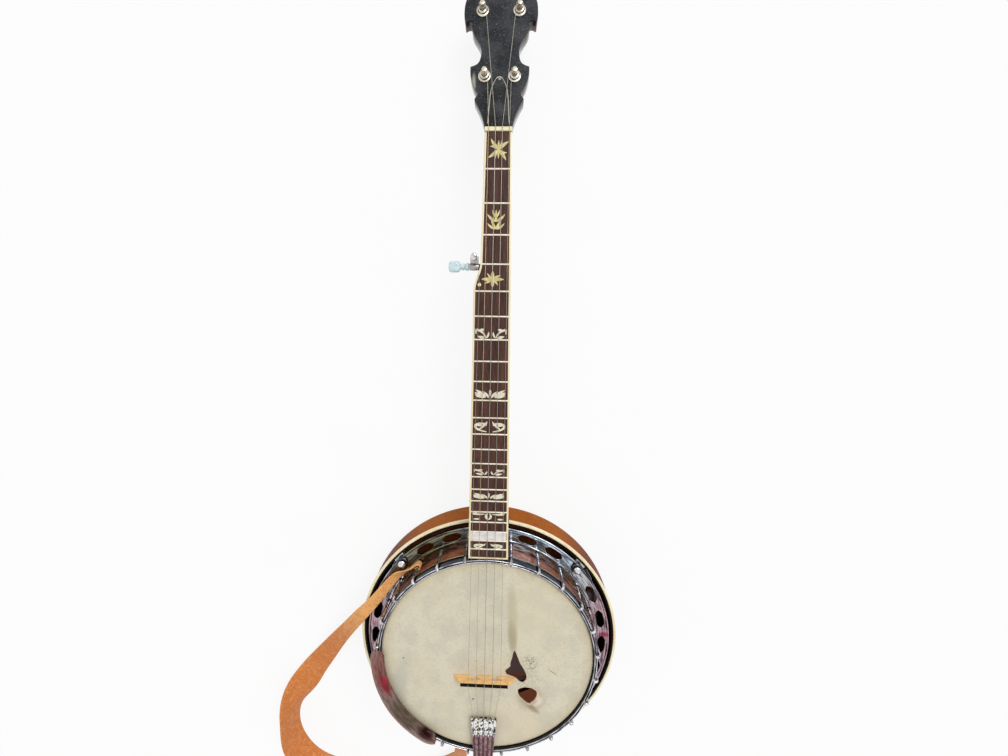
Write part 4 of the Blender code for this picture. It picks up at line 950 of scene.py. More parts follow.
def settle(obj: bpy.types.Object) -> bpy.types.Object:
    """Applies an object's modifiers to its mesh.

    Args:
        obj: a mesh or curve object.

    Returns:
        The object, or the mesh object that takes its place.
    """
    bpy.context.view_layer.update()
    graph = bpy.context.evaluated_depsgraph_get()
    mesh = bpy.data.meshes.new_from_object(obj.evaluated_get(graph), depsgraph=graph)
    name = obj.name
    materials = [slot.material for slot in obj.material_slots]
    bpy.data.objects.remove(obj)
    mesh.name = name
    if materials and not mesh.materials:
        mesh.materials.append(materials[0])
    return linked(name, mesh)


def bevelled(obj: bpy.types.Object, width: float, segments: int = 2, angle: float = 40.0) -> bpy.types.Object:
    """Rounds an object's sharp edges by a width in millimetres.

    Args:
        obj: the object.
        width: the rounding's width.
        segments: its steps.
        angle: the angle past which an edge is rounded.

    Returns:
        The rounded object.
    """
    modifier = obj.modifiers.new("round_edges", "BEVEL")
    modifier.width = width * MM
    modifier.segments = segments
    modifier.limit_method = "ANGLE"
    modifier.angle_limit = math.radians(angle)
    modifier.harden_normals = False
    return smoothed(settle(obj), 50.0)


def combined(obj: bpy.types.Object, other: bpy.types.Object, operation: str) -> bpy.types.Object:
    """Cuts, joins or crosses one object with another, which is used up.

    Args:
        obj: the object.
        other: the other one.
        operation: the modifier's operation.

    Returns:
        The result.
    """
    modifier = obj.modifiers.new("combine", "BOOLEAN")
    modifier.operation = operation
    modifier.solver = "EXACT"
    modifier.object = other
    made = settle(obj)
    bpy.data.objects.remove(other)
    return smoothed(made, 40.0)


def axis_matrix(location: Point, direction: Point) -> Matrix:
    """Takes a shape made along +Z to stand at a place along a direction."""
    turn = Vector((0, 0, 1)).rotation_difference(Vector(direction)).to_matrix().to_4x4()
    return Matrix.Translation(Vector(location)) @ turn


def swept(
    points: Sequence[Vector], radii: Sequence[float], count: int = 12, side: Union[Vector, None] = None
) -> Rings:
    """Round rings along a path.

    Args:
        points: the path.
        radii: its radius at each point.
        count: points in each ring.
        side: a direction that stays across the path; without it the rings turn as little as they can.

    Returns:
        The rings.
    """
    rings = []
    across = side
    for i, (point, radius) in enumerate(zip(points, radii)):
        ahead = points[min(i + 1, len(points) - 1)] - points[max(i - 1, 0)]
        ahead.normalize()
        if side is None:
            seed = across or Vector((0.3, 0.2, 0.93))
            across = (seed - ahead * seed.dot(ahead)).normalized()
        else:
            across = (side - ahead * side.dot(ahead)).normalized()
        other = ahead.cross(across)
        angles = full_turn(count)
        rings.append([point + (across * math.cos(a) + other * math.sin(a)) * radius for a in angles])
    return rings


def merged(name: str, pieces: Sequence[bpy.types.Object]) -> bpy.types.Object:
    """Joins several objects with one material into one.

    Args:
        name: its name.
        pieces: the objects, used up.

    Returns:
        The object.
    """
    bm = bmesh.new()
    materials = list(pieces[0].data.materials)
    for piece in pieces:
        bm.from_mesh(piece.data)
        bpy.data.objects.remove(piece)
    mesh = bpy.data.meshes.new(name)
    bm.to_mesh(mesh)
    bm.free()
    for material in materials:
        mesh.materials.append(material)
    return smoothed(linked(name, mesh), 40.0)


def dress(
    obj: bpy.types.Object,
    finish: Finish,
    body: str = Body.INSTRUMENT.value,
    nodes: Sequence[str] = (),
) -> bpy.types.Object:
    """Gives a piece its finish, its body and the nodes that it stands for.

    Args:
        obj: the piece, in place.
        finish: its finish.
        body: the body that it rides on.
        nodes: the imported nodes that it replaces.

    Returns:
        The piece.
    """
    obj.data.materials.clear()
    obj.data.materials.append(finish.material())
    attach(obj, body)
    if nodes:
        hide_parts(*nodes)
    LOG.info("%s: %d faces on %s", obj.name, len(obj.data.polygons), body)
    return obj


def keep(node: str, finish: Finish) -> None:
    """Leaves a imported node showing, with a better material.

    Args:
        node: its name.
        finish: its finish.
    """
    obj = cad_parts[node]
    obj.data.materials.clear()
    obj.data.materials.append(finish.material())
    LOG.info("%s kept from the frame", node)


# Geometry Nodes


class Tree:
    """A Geometry Nodes tree with named inputs."""

    def __init__(self, name: str) -> None:
        """Starts a tree with one geometry output.

        Args:
            name: the tree's name.
        """
        self.tree = bpy.data.node_groups.new(name, "GeometryNodeTree")
        self.tree.interface.new_socket("Geometry", in_out="OUTPUT", socket_type="NodeSocketGeometry")
        self.inside = self.tree.nodes.new("NodeGroupInput")
        self.outside = self.tree.nodes.new("NodeGroupOutput")
        self.named: dict[str, tuple[str, object]] = {}

    def input(self, name: str, kind: str, value: object) -> bpy.types.NodeSocket:
        """Adds a named input.

        Args:
            name: its name.
            kind: its socket type.
            value: what the modifier gives it.

        Returns:
            The socket inside the tree.
        """
        item = self.tree.interface.new_socket(name, in_out="INPUT", socket_type=kind)
        self.named[name] = (item.identifier, value)
        return self.inside.outputs[name]

    def node(self, kind: str, settings: dict, inputs: dict) -> bpy.types.Node:
        """Adds any node: settings first, then values and links by name or number.

        Args:
            kind: the node's type.
            settings: its settings.
            inputs: values or links by socket name or number.

        Returns:
            The node.
        """
        node = self.tree.nodes.new(kind)
        for key, value in settings.items():
            setattr(node, key, value)
        for key, value in inputs.items():
            if isinstance(value, bpy.types.NodeSocket):
                self.tree.links.new(value, node.inputs[key])
            else:
                node.inputs[key].default_value = value
        return node

    def math(self, operation: str, *values: object) -> bpy.types.NodeSocket:
        """A Math node's result."""
        made = self.node("ShaderNodeMath", {"operation": operation}, dict(enumerate(values)))
        return made.outputs[0]

    def copies(
        self, template: bpy.types.NodeSocket, points: bpy.types.NodeSocket, extra: dict
    ) -> bpy.types.NodeSocket:
        """Puts copies of a template on points.

        Args:
            template: the input that holds the shape.
            points: where they go.
            extra: their Rotation or Scale.

        Returns:
            The copies.
        """
        source = self.node("GeometryNodeObjectInfo", {"transform_space": "ORIGINAL"}, {"Object": template})
        inputs = {"Points": points, "Instance": source.outputs["Geometry"], **extra}
        return self.node("GeometryNodeInstanceOnPoints", {}, inputs).outputs[0]

    def finish(self, name: str, geometry: bpy.types.NodeSocket, finish: Finish) -> bpy.types.Object:
        """Ends the tree, runs it and keeps its result as a plain mesh.

        Args:
            name: the piece's name.
            geometry: the tree's last geometry.
            finish: the finish that Set Material gives it.

        Returns:
            The mesh object, with no modifier.
        """
        real = self.node("GeometryNodeRealizeInstances", {}, {0: geometry})
        painted = self.node(
            "GeometryNodeSetMaterial", {}, {"Geometry": real.outputs[0], "Material": finish.material()}
        )
        self.tree.links.new(painted.outputs[0], self.outside.inputs[0])
        holder = linked(name, bpy.data.meshes.new(name))
        modifier = holder.modifiers.new("made_by_rule", "NODES")
        modifier.node_group = self.tree
        for identifier, value in self.named.values():
            modifier[identifier] = value
        return smoothed(settle(holder), 42.0)


def knurl(name: str, radius: float, count: int, height: float, span: Point) -> bpy.types.Object:
    """The small ridges round a screw's head.

    Args:
        name: their name.
        radius: the head's radius.
        count: how many there are.
        height: how far they stand out.
        span: the heights where they start and end.

    Returns:
        The ridges.
    """
    rings = [[Vector((0.0, -0.22, z)), Vector((height, 0.0, z)), Vector((0.0, 0.22, z))] for z in span]
    return around(name, loft("ridge_shape", rings), radius, count, CHROME)


def both_sides(
    name: str, template: bpy.types.Object, first: float, step: float, count: int, finish: Finish
) -> bpy.types.Object:
    """Copies a template round the pot, mirrored in angle about the neck's line.

    Args:
        name: the piece's name.
        template: the shape, made at the pot's +Y side.
        first: the first copy's angle in degrees from +Y.
        step: the angle between copies.
        count: copies on each side.
        finish: their finish.

    Returns:
        The copies as one mesh.
    """
    tree = Tree(name + "_rule")
    shape = tree.input("Template", "NodeSocketObject", template)
    start = tree.input("First Angle", "NodeSocketFloat", math.radians(first))
    apart = tree.input("Step Angle", "NodeSocketFloat", math.radians(step))
    each = tree.input("Copies Per Side", "NodeSocketInt", count)
    total = tree.math("MULTIPLY", each, 2.0)
    line = tree.node("GeometryNodeMeshLine", {}, {"Count": total, "Offset": (0.0, 0.0, 0.0)})
    index = tree.node("GeometryNodeInputIndex", {}, {}).outputs[0]
    far = tree.math("GREATER_THAN", index, tree.math("SUBTRACT", each, 0.5))
    within = tree.math("SUBTRACT", index, tree.math("MULTIPLY", far, each))
    angle = tree.math("ADD", start, tree.math("MULTIPLY", within, apart))
    signed = tree.math("MULTIPLY", angle, tree.math("SUBTRACT", tree.math("MULTIPLY", far, 2.0), 1.0))
    turn = tree.node("ShaderNodeCombineXYZ", {}, {"Z": signed})
    copies = tree.copies(shape, line.outputs[0], {"Rotation": turn.outputs[0]})
    made = tree.finish(name, copies, finish)
    bpy.data.objects.remove(template)
    return made


def around(
    name: str, template: bpy.types.Object, radius: float, count: int, finish: Finish
) -> bpy.types.Object:
    """Copies a template round the Z axis, facing out, at a radius in millimetres.

    Args:
        name: the piece's name.
        template: the shape, used up.
        radius: how far out it goes.
        count: how many copies.
        finish: their finish.

    Returns:
        The copies as one mesh.
    """
    tree = Tree(name + "_rule")
    shape = tree.input("Template", "NodeSocketObject", template)
    size = tree.input("Radius", "NodeSocketFloat", radius * MM)
    many = tree.input("Copies", "NodeSocketInt", count)
    ring = tree.node("GeometryNodeMeshCircle", {}, {"Vertices": many, "Radius": size})
    index = tree.node("GeometryNodeInputIndex", {}, {}).outputs[0]
    share = tree.math("DIVIDE", index, many)
    turn = tree.node("ShaderNodeCombineXYZ", {}, {"Z": tree.math("MULTIPLY", share, 2 * math.pi)})
    copies = tree.copies(shape, ring.outputs[0], {"Rotation": turn.outputs[0]})
    made = tree.finish(name, copies, finish)
    bpy.data.objects.remove(template)
    return made


# The banjo's finishes

# Colours of painted reflections in the flange's chrome.
BLUE_WHITE = (0.62, 0.74, 0.86)
OLIVE = (0.24, 0.23, 0.15)
MAUVE = (0.50, 0.33, 0.37)

CHROME = Metal(
    "aged_chrome", Slot.CHROME, colour=(0.70, 0.70, 0.72), tarnish_and_reflection=(0.10, 0.09, 0.10), tarnish_and_reflection_share=0.8, blob=6.0
)
# The flange: its blue-white, olive, mauve and crimson areas and dark streaks round the pot are painted
# reflections; the near-black spots at the two upper thumbscrews are painted shade.
FLANGE_CHROME = Metal(
    "flange_chrome",
    Slot.CHROME,
    (
        Patch(75.0, 145.0, (80.0, 60.0), BLUE_WHITE, 1.0, -35.0),
        Patch(-85.0, 140.0, (80.0, 56.0), OLIVE, 1.0, 38.0),
        Patch(165.0, 20.0, (44.0, 130.0), MAUVE, 0.95),
        Patch(161.5, 12.8, (9.0, 6.0), (0.34, 0.03, 0.08), 0.9),
        Patch(118.0, 112.4, (11.5, 11.5), (0.01, 0.01, 0.012), 1.0),
        Patch(-118.0, 112.4, (11.5, 11.5), (0.01, 0.01, 0.012), 1.0),
        Patch(-165.0, 10.0, (44.0, 130.0), MAUVE, 0.95),
    ),
    colour=(0.52, 0.52, 0.54),
    tarnish_and_reflection=(0.020, 0.022, 0.034),
    tarnish_and_reflection_share=0.9,
    blob=2.6,
    streak=7.0,
)
# The hoop: bright lips, painted shade below them and dark streaks of painted reflection round the pot.
HOOP_CHROME = HoopMetal(
    "hoop_chrome", Slot.CHROME, colour=(0.72, 0.74, 0.80), tarnish_and_reflection=(0.05, 0.05, 0.07), tarnish_and_reflection_share=0.85, blob=2.2,
    streak=6.0,
)
# The armrest's red-brown, crimson, brown-grey and near-black areas are painted reflections in its chrome.
ARM_CHROME = Metal(
    "armrest_chrome",
    Slot.CHROME,
    (
        Patch(-136.0, -20.0, (22.0, 46.0), (0.25, 0.10, 0.09), 0.9, 8.0),
        Patch(-134.0, -37.0, (7.0, 22.0), (0.34, 0.022, 0.045), 0.95, 20.0),
        Patch(-108.0, -84.0, (24.0, 40.0), (0.125, 0.098, 0.070), 0.95, 40.0),
        Patch(-80.0, -112.0, (12.0, 18.0), (0.022, 0.006, 0.006), 1.0, 50.0),
        Patch(-66.0, -121.0, (5.0, 6.0), (0.30, 0.12, 0.07), 0.9),
    ),
    colour=(0.30, 0.20, 0.18),
    tarnish_and_reflection=(0.075, 0.038, 0.030),
    tarnish_and_reflection_share=0.7,
    blob=2.4,
    streak=5.0,
    rough=(0.10, 0.24),
)
# The tailpiece's mauve-brown tint is a painted reflection; the dark band along its front edge is painted
# shade.
TAIL_CHROME = FlutedMetal(
    "tailpiece_chrome",
    Slot.CHROME,
    (Patch(-1.8, -88.0, (30.0, 3.2), (0.05, 0.045, 0.04), 0.9),),
    colour=(0.36, 0.23, 0.24),
    tarnish_and_reflection=(0.08, 0.035, 0.040),
    tarnish_and_reflection_share=0.7,
    blob=4.0,
)
CLAW_CHROME = Metal(
    "claw_chrome", Slot.CHROME, colour=(0.86, 0.86, 0.87), tarnish_and_reflection=(0.30, 0.28, 0.28), tarnish_and_reflection_share=0.4
)
# The thumbscrews: a bright top, with painted shade on everything below it, washer included.
SCREW_CHROME = HoopMetal(
    "screw_chrome", Slot.CHROME, colour=(0.80, 0.82, 0.84), tarnish_and_reflection=(0.20, 0.20, 0.22), lip_z=69.9, blob=3.0
)
NICKEL = Metal("aged_nickel", Slot.CHROME, colour=(0.78, 0.73, 0.62), tarnish_and_reflection=(0.34, 0.28, 0.18), tarnish_and_reflection_share=0.6)
GREY_STEEL = Metal("grey_steel", Slot.STEEL, colour=(0.50, 0.49, 0.47), tarnish_and_reflection=(0.24, 0.21, 0.18), tarnish_and_reflection_share=0.6)
BLACK_STEEL = Metal(
    "dark_steel", Slot.STEEL, colour=(0.25, 0.24, 0.24), tarnish_and_reflection=(0.10, 0.09, 0.08), rough=(0.25, 0.45)
)
FRET_METAL = Metal(
    "fret_metal", Slot.ROSEWOOD, colour=(0.86, 0.80, 0.66), tarnish_and_reflection=(0.50, 0.42, 0.28), tarnish_and_reflection_share=0.5,
    rough=(0.15, 0.3)
)
TONE_BRASS = Metal("tone_ring_brass", Slot.BRASS, colour=(0.62, 0.44, 0.18), tarnish_and_reflection=(0.26, 0.15, 0.05))
# The rim's glow is painted light on its inner wall.
RIM_WOOD = Wood(
    "rim_wood_gloss", Slot.RIM_WOOD, light=(0.50, 0.17, 0.075), dark=(0.16, 0.038, 0.018),
    coat=0.1, gloss=0.25, rough=(0.3, 0.45), glow=0.16,
)
BURST = Burst(
    "resonator_burst", Slot.SUNBURST, light=(0.43, 0.125, 0.004), dark=(0.31, 0.070, 0.002),
    black_from=175.55, coat=0.0, gloss=0.04, rough=(0.42, 0.55),
)
# The back's glow is painted light inside the bowl.
BURST_BACK = Burst(
    "resonator_back_burst", Slot.SUNBURST, light=(0.46, 0.15, 0.03), dark=(0.20, 0.05, 0.012), coat=0.4,
    glow=0.09
)
NECK_WOOD = Wood(
    "neck_wood_gloss", Slot.NECK_WOOD, (Patch(1.6, 722.0, (95.0, 125.0), (0.022, 0.012, 0.011), 0.95),),
    light=(0.22, 0.075, 0.028), dark=(0.085, 0.024, 0.010), grain=1.2
)
ROSEWOOD = Wood(
    "rosewood_board", Slot.ROSEWOOD, light=(0.118, 0.050, 0.034), dark=(0.022, 0.009, 0.006), grain=0.9,
    length=16.0, rough=(0.38, 0.55), coat=0.03, gloss=0.2, depth=0.05,
)
MAPLE = Wood(
    "bridge_maple", Slot.MAPLE, light=(0.98, 0.66, 0.30), dark=(0.80, 0.43, 0.14), along=(0.0, 0.0, 90.0),
    grain=1.0, rough=(0.4, 0.55), coat=0.1,
)
EBONY = Wood(
    "bridge_ebony", Slot.EBONY, light=(0.020, 0.013, 0.010), dark=(0.006, 0.004, 0.003),
    along=(0.0, 0.0, 90.0), grain=0.8, rough=(0.6, 0.75), coat=0.0, gloss=0.03,
)
IVOROID = Cast("cream_binding", Slot.IVOROID, light=(0.95, 0.86, 0.60), dark=(0.84, 0.68, 0.38))
BUTTON_CREAM = Cast("button_cream", Slot.IVOROID, light=(0.86, 0.78, 0.58), dark=(0.66, 0.52, 0.30), size=4.0)
BONE = Cast("nut_bone", Slot.BONE, light=(0.93, 0.90, 0.62), dark=(0.80, 0.70, 0.40), size=3.0)
SHELL_WARM = Cast(
    "shell_warm", Slot.PEARL, light=(0.88, 0.76, 0.36), dark=(0.52, 0.42, 0.16), size=3.5,
    stretch=(1.0, 0.6, 1.0)
)
SHELL_COOL = Cast(
    "shell_cool", Slot.PEARL, light=(0.92, 0.87, 0.68), dark=(0.66, 0.60, 0.44), size=3.5,
    stretch=(1.0, 0.6, 1.0)
)
SHELL_BLOCK = Cast(
    "shell_block", Slot.PEARL, light=(0.86, 0.83, 0.80), dark=(0.66, 0.62, 0.60), size=5.0,
    stretch=(0.5, 1.0, 1.0)
)
PEARL_BUTTON = Cast(
    "pearl_button", Slot.PEARL, light=(0.72, 0.88, 0.90), dark=(0.46, 0.62, 0.66), size=4.0,
    stretch=(0.8, 0.8, 0.8), rough=(0.12, 0.22), sheen=0.8,
)
BLACK_LACQUER = Lacquer(
    "peghead_lacquer", Slot.LACQUER, (Patch(-26.5, 690.0, (3.0, 16.0), (0.45, 0.42, 0.34), 0.8),)
)
COVER_LACQUER = Lacquer("cover_lacquer", Slot.LACQUER, colour=(0.014, 0.014, 0.015))
COVER_LINE = Cast("cover_line", Slot.LACQUER, light=(0.62, 0.60, 0.50), dark=(0.44, 0.42, 0.33))
HEAD_SKIN = Skin(
    "aged_skin",
    Slot.SKIN,
    (
        Patch(33.0, 62.0, (9.0, 62.0), (0.42, 0.355, 0.21), 0.55, 3.0),
        Patch(33.5, 34.0, (8.0, 34.0), (0.34, 0.28, 0.15), 0.6, 4.0),
        # Painted shade round the torn hole.
        Patch(61.0, -58.0, (24.0, 25.0), (0.38, 0.29, 0.17), 0.7),
        Patch(70.0, -62.0, (9.0, 12.0), (0.80, 0.70, 0.58), 0.8, -30.0),
        # Painted shadow beside the curled lip of the hole.
        Patch(64.0, -74.0, (15.0, 5.0), (0.22, 0.13, 0.08), 0.6, -38.0),
        Patch(-17.0, -63.0, (2.2, 1.6), (0.16, 0.10, 0.06), 1.0),
        Patch(-110.5, -4.0, (2.0, 1.6), (0.12, 0.08, 0.05), 1.0),
        Patch(88.0, -16.0, (11.0, 1.2), (0.34, 0.28, 0.16), 0.8, -35.0),
        # Painted shadow of the armrest on the head.
        Patch(-118.0, -45.0, (14.0, 62.0), (0.52, 0.50, 0.42), 0.5, -12.0),
        Patch(60.0, 70.0, (46.0, 60.0), (0.70, 0.62, 0.44), 0.45),
        Patch(40.0, -100.0, (50.0, 40.0), (0.72, 0.60, 0.44), 0.45),
    ),
    sprinkles=(
        Patch(59.0, -4.0, (13.0, 17.0), (0.17, 0.14, 0.105), 0.95, 20.0),
        Patch(58.0, -30.0, (22.0, 24.0), (0.36, 0.31, 0.20), 0.5),
        Patch(39.5, -9.0, (24.0, 34.0), (0.40, 0.34, 0.22), 0.4),
    ),
)
TORN_SKIN = Skin("torn_skin", Slot.SKIN, cream=(0.74, 0.62, 0.50), grey=(0.52, 0.38, 0.27))
SUEDE = Suede("orange_suede", Slot.SUEDE, (Patch(-186.0, -35.0, (3.5, 2.5), (0.10, 0.05, 0.03), 0.9),))
PLAIN_WIRE = WoundWire("plain_wire", Slot.STEEL, colour=(0.36, 0.34, 0.31))
WOUND_WIRE = WoundWire("wound_wire", Slot.STEEL, colour=(0.52, 0.42, 0.30), pitch=0.45)


# Sub-assemblies


@dataclass(frozen=True)
class TornHole:
    """A hole torn in the head: its middle, its reach and its outline as shares of that reach."""

    x: float
    y: float
    reach: float
    shape: tuple[tuple[float, float], ...]

    def outline(self) -> Outline:
        """The torn edge, with small nicks between its corners.

        Returns:
            Points all the way round.
        """
        points = []
        for i, (u, v) in enumerate(smooth_path(self.shape, 4, closed=True)):
            nick = 1.0 + 0.012 * math.sin(2.7 * i) + 0.010 * math.sin(4.9 * i + 1.0)
            points.append((self.x + self.reach * u * nick, self.y + self.reach * v * nick))
        return points

    def lip(self, z: float, lift: float, width: float, toward: float) -> Rings:
        """Rings of the torn edge's lip, which curls up most toward one direction.

        Args:
            z: the head's height.
            lift: how high the lip curls.
            width: how wide it is there.
            toward: that direction in degrees from +X.

        Returns:
            The rings, for a closed loop.
        """
        rings = []
        for px, py in self.outline():
            out = Vector((px - self.x, py - self.y, 0.0)).normalized()
            share = max(0.0, math.cos(math.atan2(out.y, out.x) - math.radians(toward))) ** 1.5
            wide, high = 0.6 + width * share, 0.18 + lift * share
            base = Vector((px, py, z))
            rings.append([
                base + out * wide + Vector((0, 0, 0.03)),
                base + out * wide * 0.55 + Vector((0, 0, high)),
                base - out * 0.35 + Vector((0, 0, high * 0.3 - 0.2)),
                base - out * 0.25 + Vector((0, 0, -0.6)),
                base + out * wide * 0.5 + Vector((0, 0, -0.12)),
            ])
        return rings


@dataclass
class Drum:
    """The rim, tone ring, head and tension hoop, with the hooks and nuts that pull it down."""

    rim_r: float = 139.7
    rim_thick: float = 14.0
    rim_z0: float = 30.0
    rim_z1: float = 95.0
    head_z: float = 104.5
    hoop_r0: float = 141.0
    hoop_r1: float = 144.9
    hoop_z0: float = 93.3
    hoop_z1: float = 109.0
    bead_z0: float = 90.0
    hook_r: float = 147.2
    hook_foot_z: float = 48.2
    nut_top_z: float = 58.7
    hook_first: float = 11.35
    hook_step: float = 14.5
    hooks_each_side: int = 12
    tear: TornHole = TornHole(39.5, -9.5, 24.0, (
        (-0.10, 1.00), (-0.19, 0.79), (-0.24, 0.52), (-0.32, 0.24), (-0.35, -0.02), (-0.56, -0.26),
        (-0.59, -0.39),
        (-0.47, -0.55), (-0.21, -0.64), (0.05, -0.77), (0.17, -0.91), (0.36, -1.00), (0.53, -0.89),
        (0.60, -0.62), (0.48, -0.24), (0.25, 0.17), (0.08, 0.58),
    ))
    hole: TornHole = TornHole(56.0, -53.5, 13.0, (
        (-1.01, 0.60), (-0.96, 0.20), (-0.80, -0.15), (-0.42, -0.54), (0.12, -0.95), (0.50, -0.72),
        (0.78, -0.41), (0.97, 0.10), (0.90, 0.58), (0.42, 0.89), (-0.21, 0.98), (-0.73, 0.85),
    ))

    def build(self) -> None:
        """Builds every piece of the drum."""
        self.build_rim()
        self.build_head()
        self.build_torn_lips()
        self.build_hoop()
        self.build_hooks()

    def build_rim(self) -> None:
        """The laminated rim and the turned tone ring on it."""
        inner = self.rim_r - self.rim_thick
        r0, r1, z0, z1 = inner, self.rim_r, self.rim_z0, self.rim_z1
        profile = [(r0 + 1, z0), (r1 - 1, z0), (r1, z0 + 1), (r1, z1), (r0, z1), (r0, z0 + 1)]
        dress(lathe("rim_shell", profile, closed=True), RIM_WOOD, nodes=["rim"])
        low = z1 + 0.3
        top = low + 8.3
        ring = [
            (r0, low), (r1, low), (r1, top - 2.8), (r1 - 0.7, top - 1.3), (r1 - 1.5, top - 0.4),
            (r1 - 2.6, top), (r1 - 4.8, top - 0.4), (r1 - 6.7, top - 1.1), (r0, low + 2.2),
        ]
        dress(lathe("tone_ring_turned", ring, closed=True, sharp=60), TONE_BRASS, nodes=["tone_ring"])

    def build_head(self) -> None:
        """The skin over the tone ring, its collar and bead, with its two holes."""
        z, r = self.head_z, self.rim_r
        under = z - 0.6
        profile = [
            (r - 2.1, under), (r + 0.3, under - 2.8), (r + 0.3, self.bead_z0),
            (self.hoop_r1 - 1.0, self.bead_z0),
            (self.hoop_r1 - 1.0, self.bead_z0 + 3.0), (self.hoop_r0 - 0.3, self.bead_z0 + 3.0),
            (self.hoop_r0 - 0.3, z - 3.3), (r + 0.5, z - 1.9), (r - 0.4, z - 0.8), (r - 1.9, z - 0.1),
            (r - 4.4, z),
        ]
        head = lathe("head_skin", profile, sharp=50)
        for torn in (self.tear, self.hole):
            head = combined(head, prism("torn_cutter", torn.outline(), under - 2.0, z + 2.0), "DIFFERENCE")
        dress(head, HEAD_SKIN, nodes=["head"])

    def build_torn_lips(self) -> None:
        """Curled edges of skin at the two holes."""
        for name, torn, lift, width, toward in (
            ("head_tear_lip", self.tear, 0.25, 0.5, -120.0), ("head_hole_lip", self.hole, 1.5, 4.2, -45.0)
        ):
            dress(loft(name, torn.lip(self.head_z, lift, width, toward), loop=True, sharp=80), TORN_SKIN)

    def build_hoop(self) -> None:
        """The tension hoop, with its grooved top and rounded lips."""
        r0, r1, z0, z1 = self.hoop_r0, self.hoop_r1, self.hoop_z0, self.hoop_z1
        profile = [
            (r0, z0), (r1, z0), (r1, z1 - 0.5), (r1 - 0.25, z1 - 0.1), (r1 - 0.6, z1), (r1 - 1.0, z1 - 0.15),
            (r1 - 1.25, z1 - 0.6), (r1 - 1.4, z1 - 2.2), (r0 + 1.4, z1 - 2.2), (r0 + 1.25, z1 - 0.6),
            (r0 + 1.0, z1 - 0.15), (r0 + 0.6, z1), (r0 + 0.2, z1 - 0.15), (r0, z1 - 0.6),
        ]
        dress(lathe("hoop_turned", profile, closed=True, sharp=50), HOOP_CHROME, nodes=["tension_hoop"])

    def build_hooks(self) -> None:
        """The hooks over the hoop and their nuts under the flange, by rule round the pot."""
        groove = (self.hoop_r0 + self.hoop_r1) / 2
        top = self.hoop_z1
        rows = [
            (groove, top - 1.9), (groove, top + 0.6), (groove + 0.9, top + 2.2), (groove + 2.4, top + 2.5),
            (groove + 3.7, top + 1.4), (self.hook_r, top - 0.8), (self.hook_r, top - 6.0),
            (self.hook_r, self.nut_top_z - 2.0),
        ]
        radii = [1.45, 1.75, 2.0, 2.05, 2.0, 1.9, 1.9, 1.9]
        path = [Vector((0.0, r, z)) for r, z in rows]
        hook = loft("hook_shape", swept(path, radii, 14, Vector((1, 0, 0))), sharp=60)
        low, high = self.hook_foot_z, self.nut_top_z
        rows = [(3.3, low), (4.3, low + 0.9), (4.3, high - 0.9), (3.5, high)]
        nut = loft("nut_shape", [turned_ring(r, z, 6) for r, z in rows])
        place(nut, Matrix.Translation((0.0, self.hook_r, 0.0)))
        for name, shape, finish in (("bracket_hooks", hook, CHROME), ("hook_nuts", nut, GREY_STEEL)):
            made = both_sides(name, shape, self.hook_first, self.hook_step, self.hooks_each_side, finish)
            dress(made, finish)


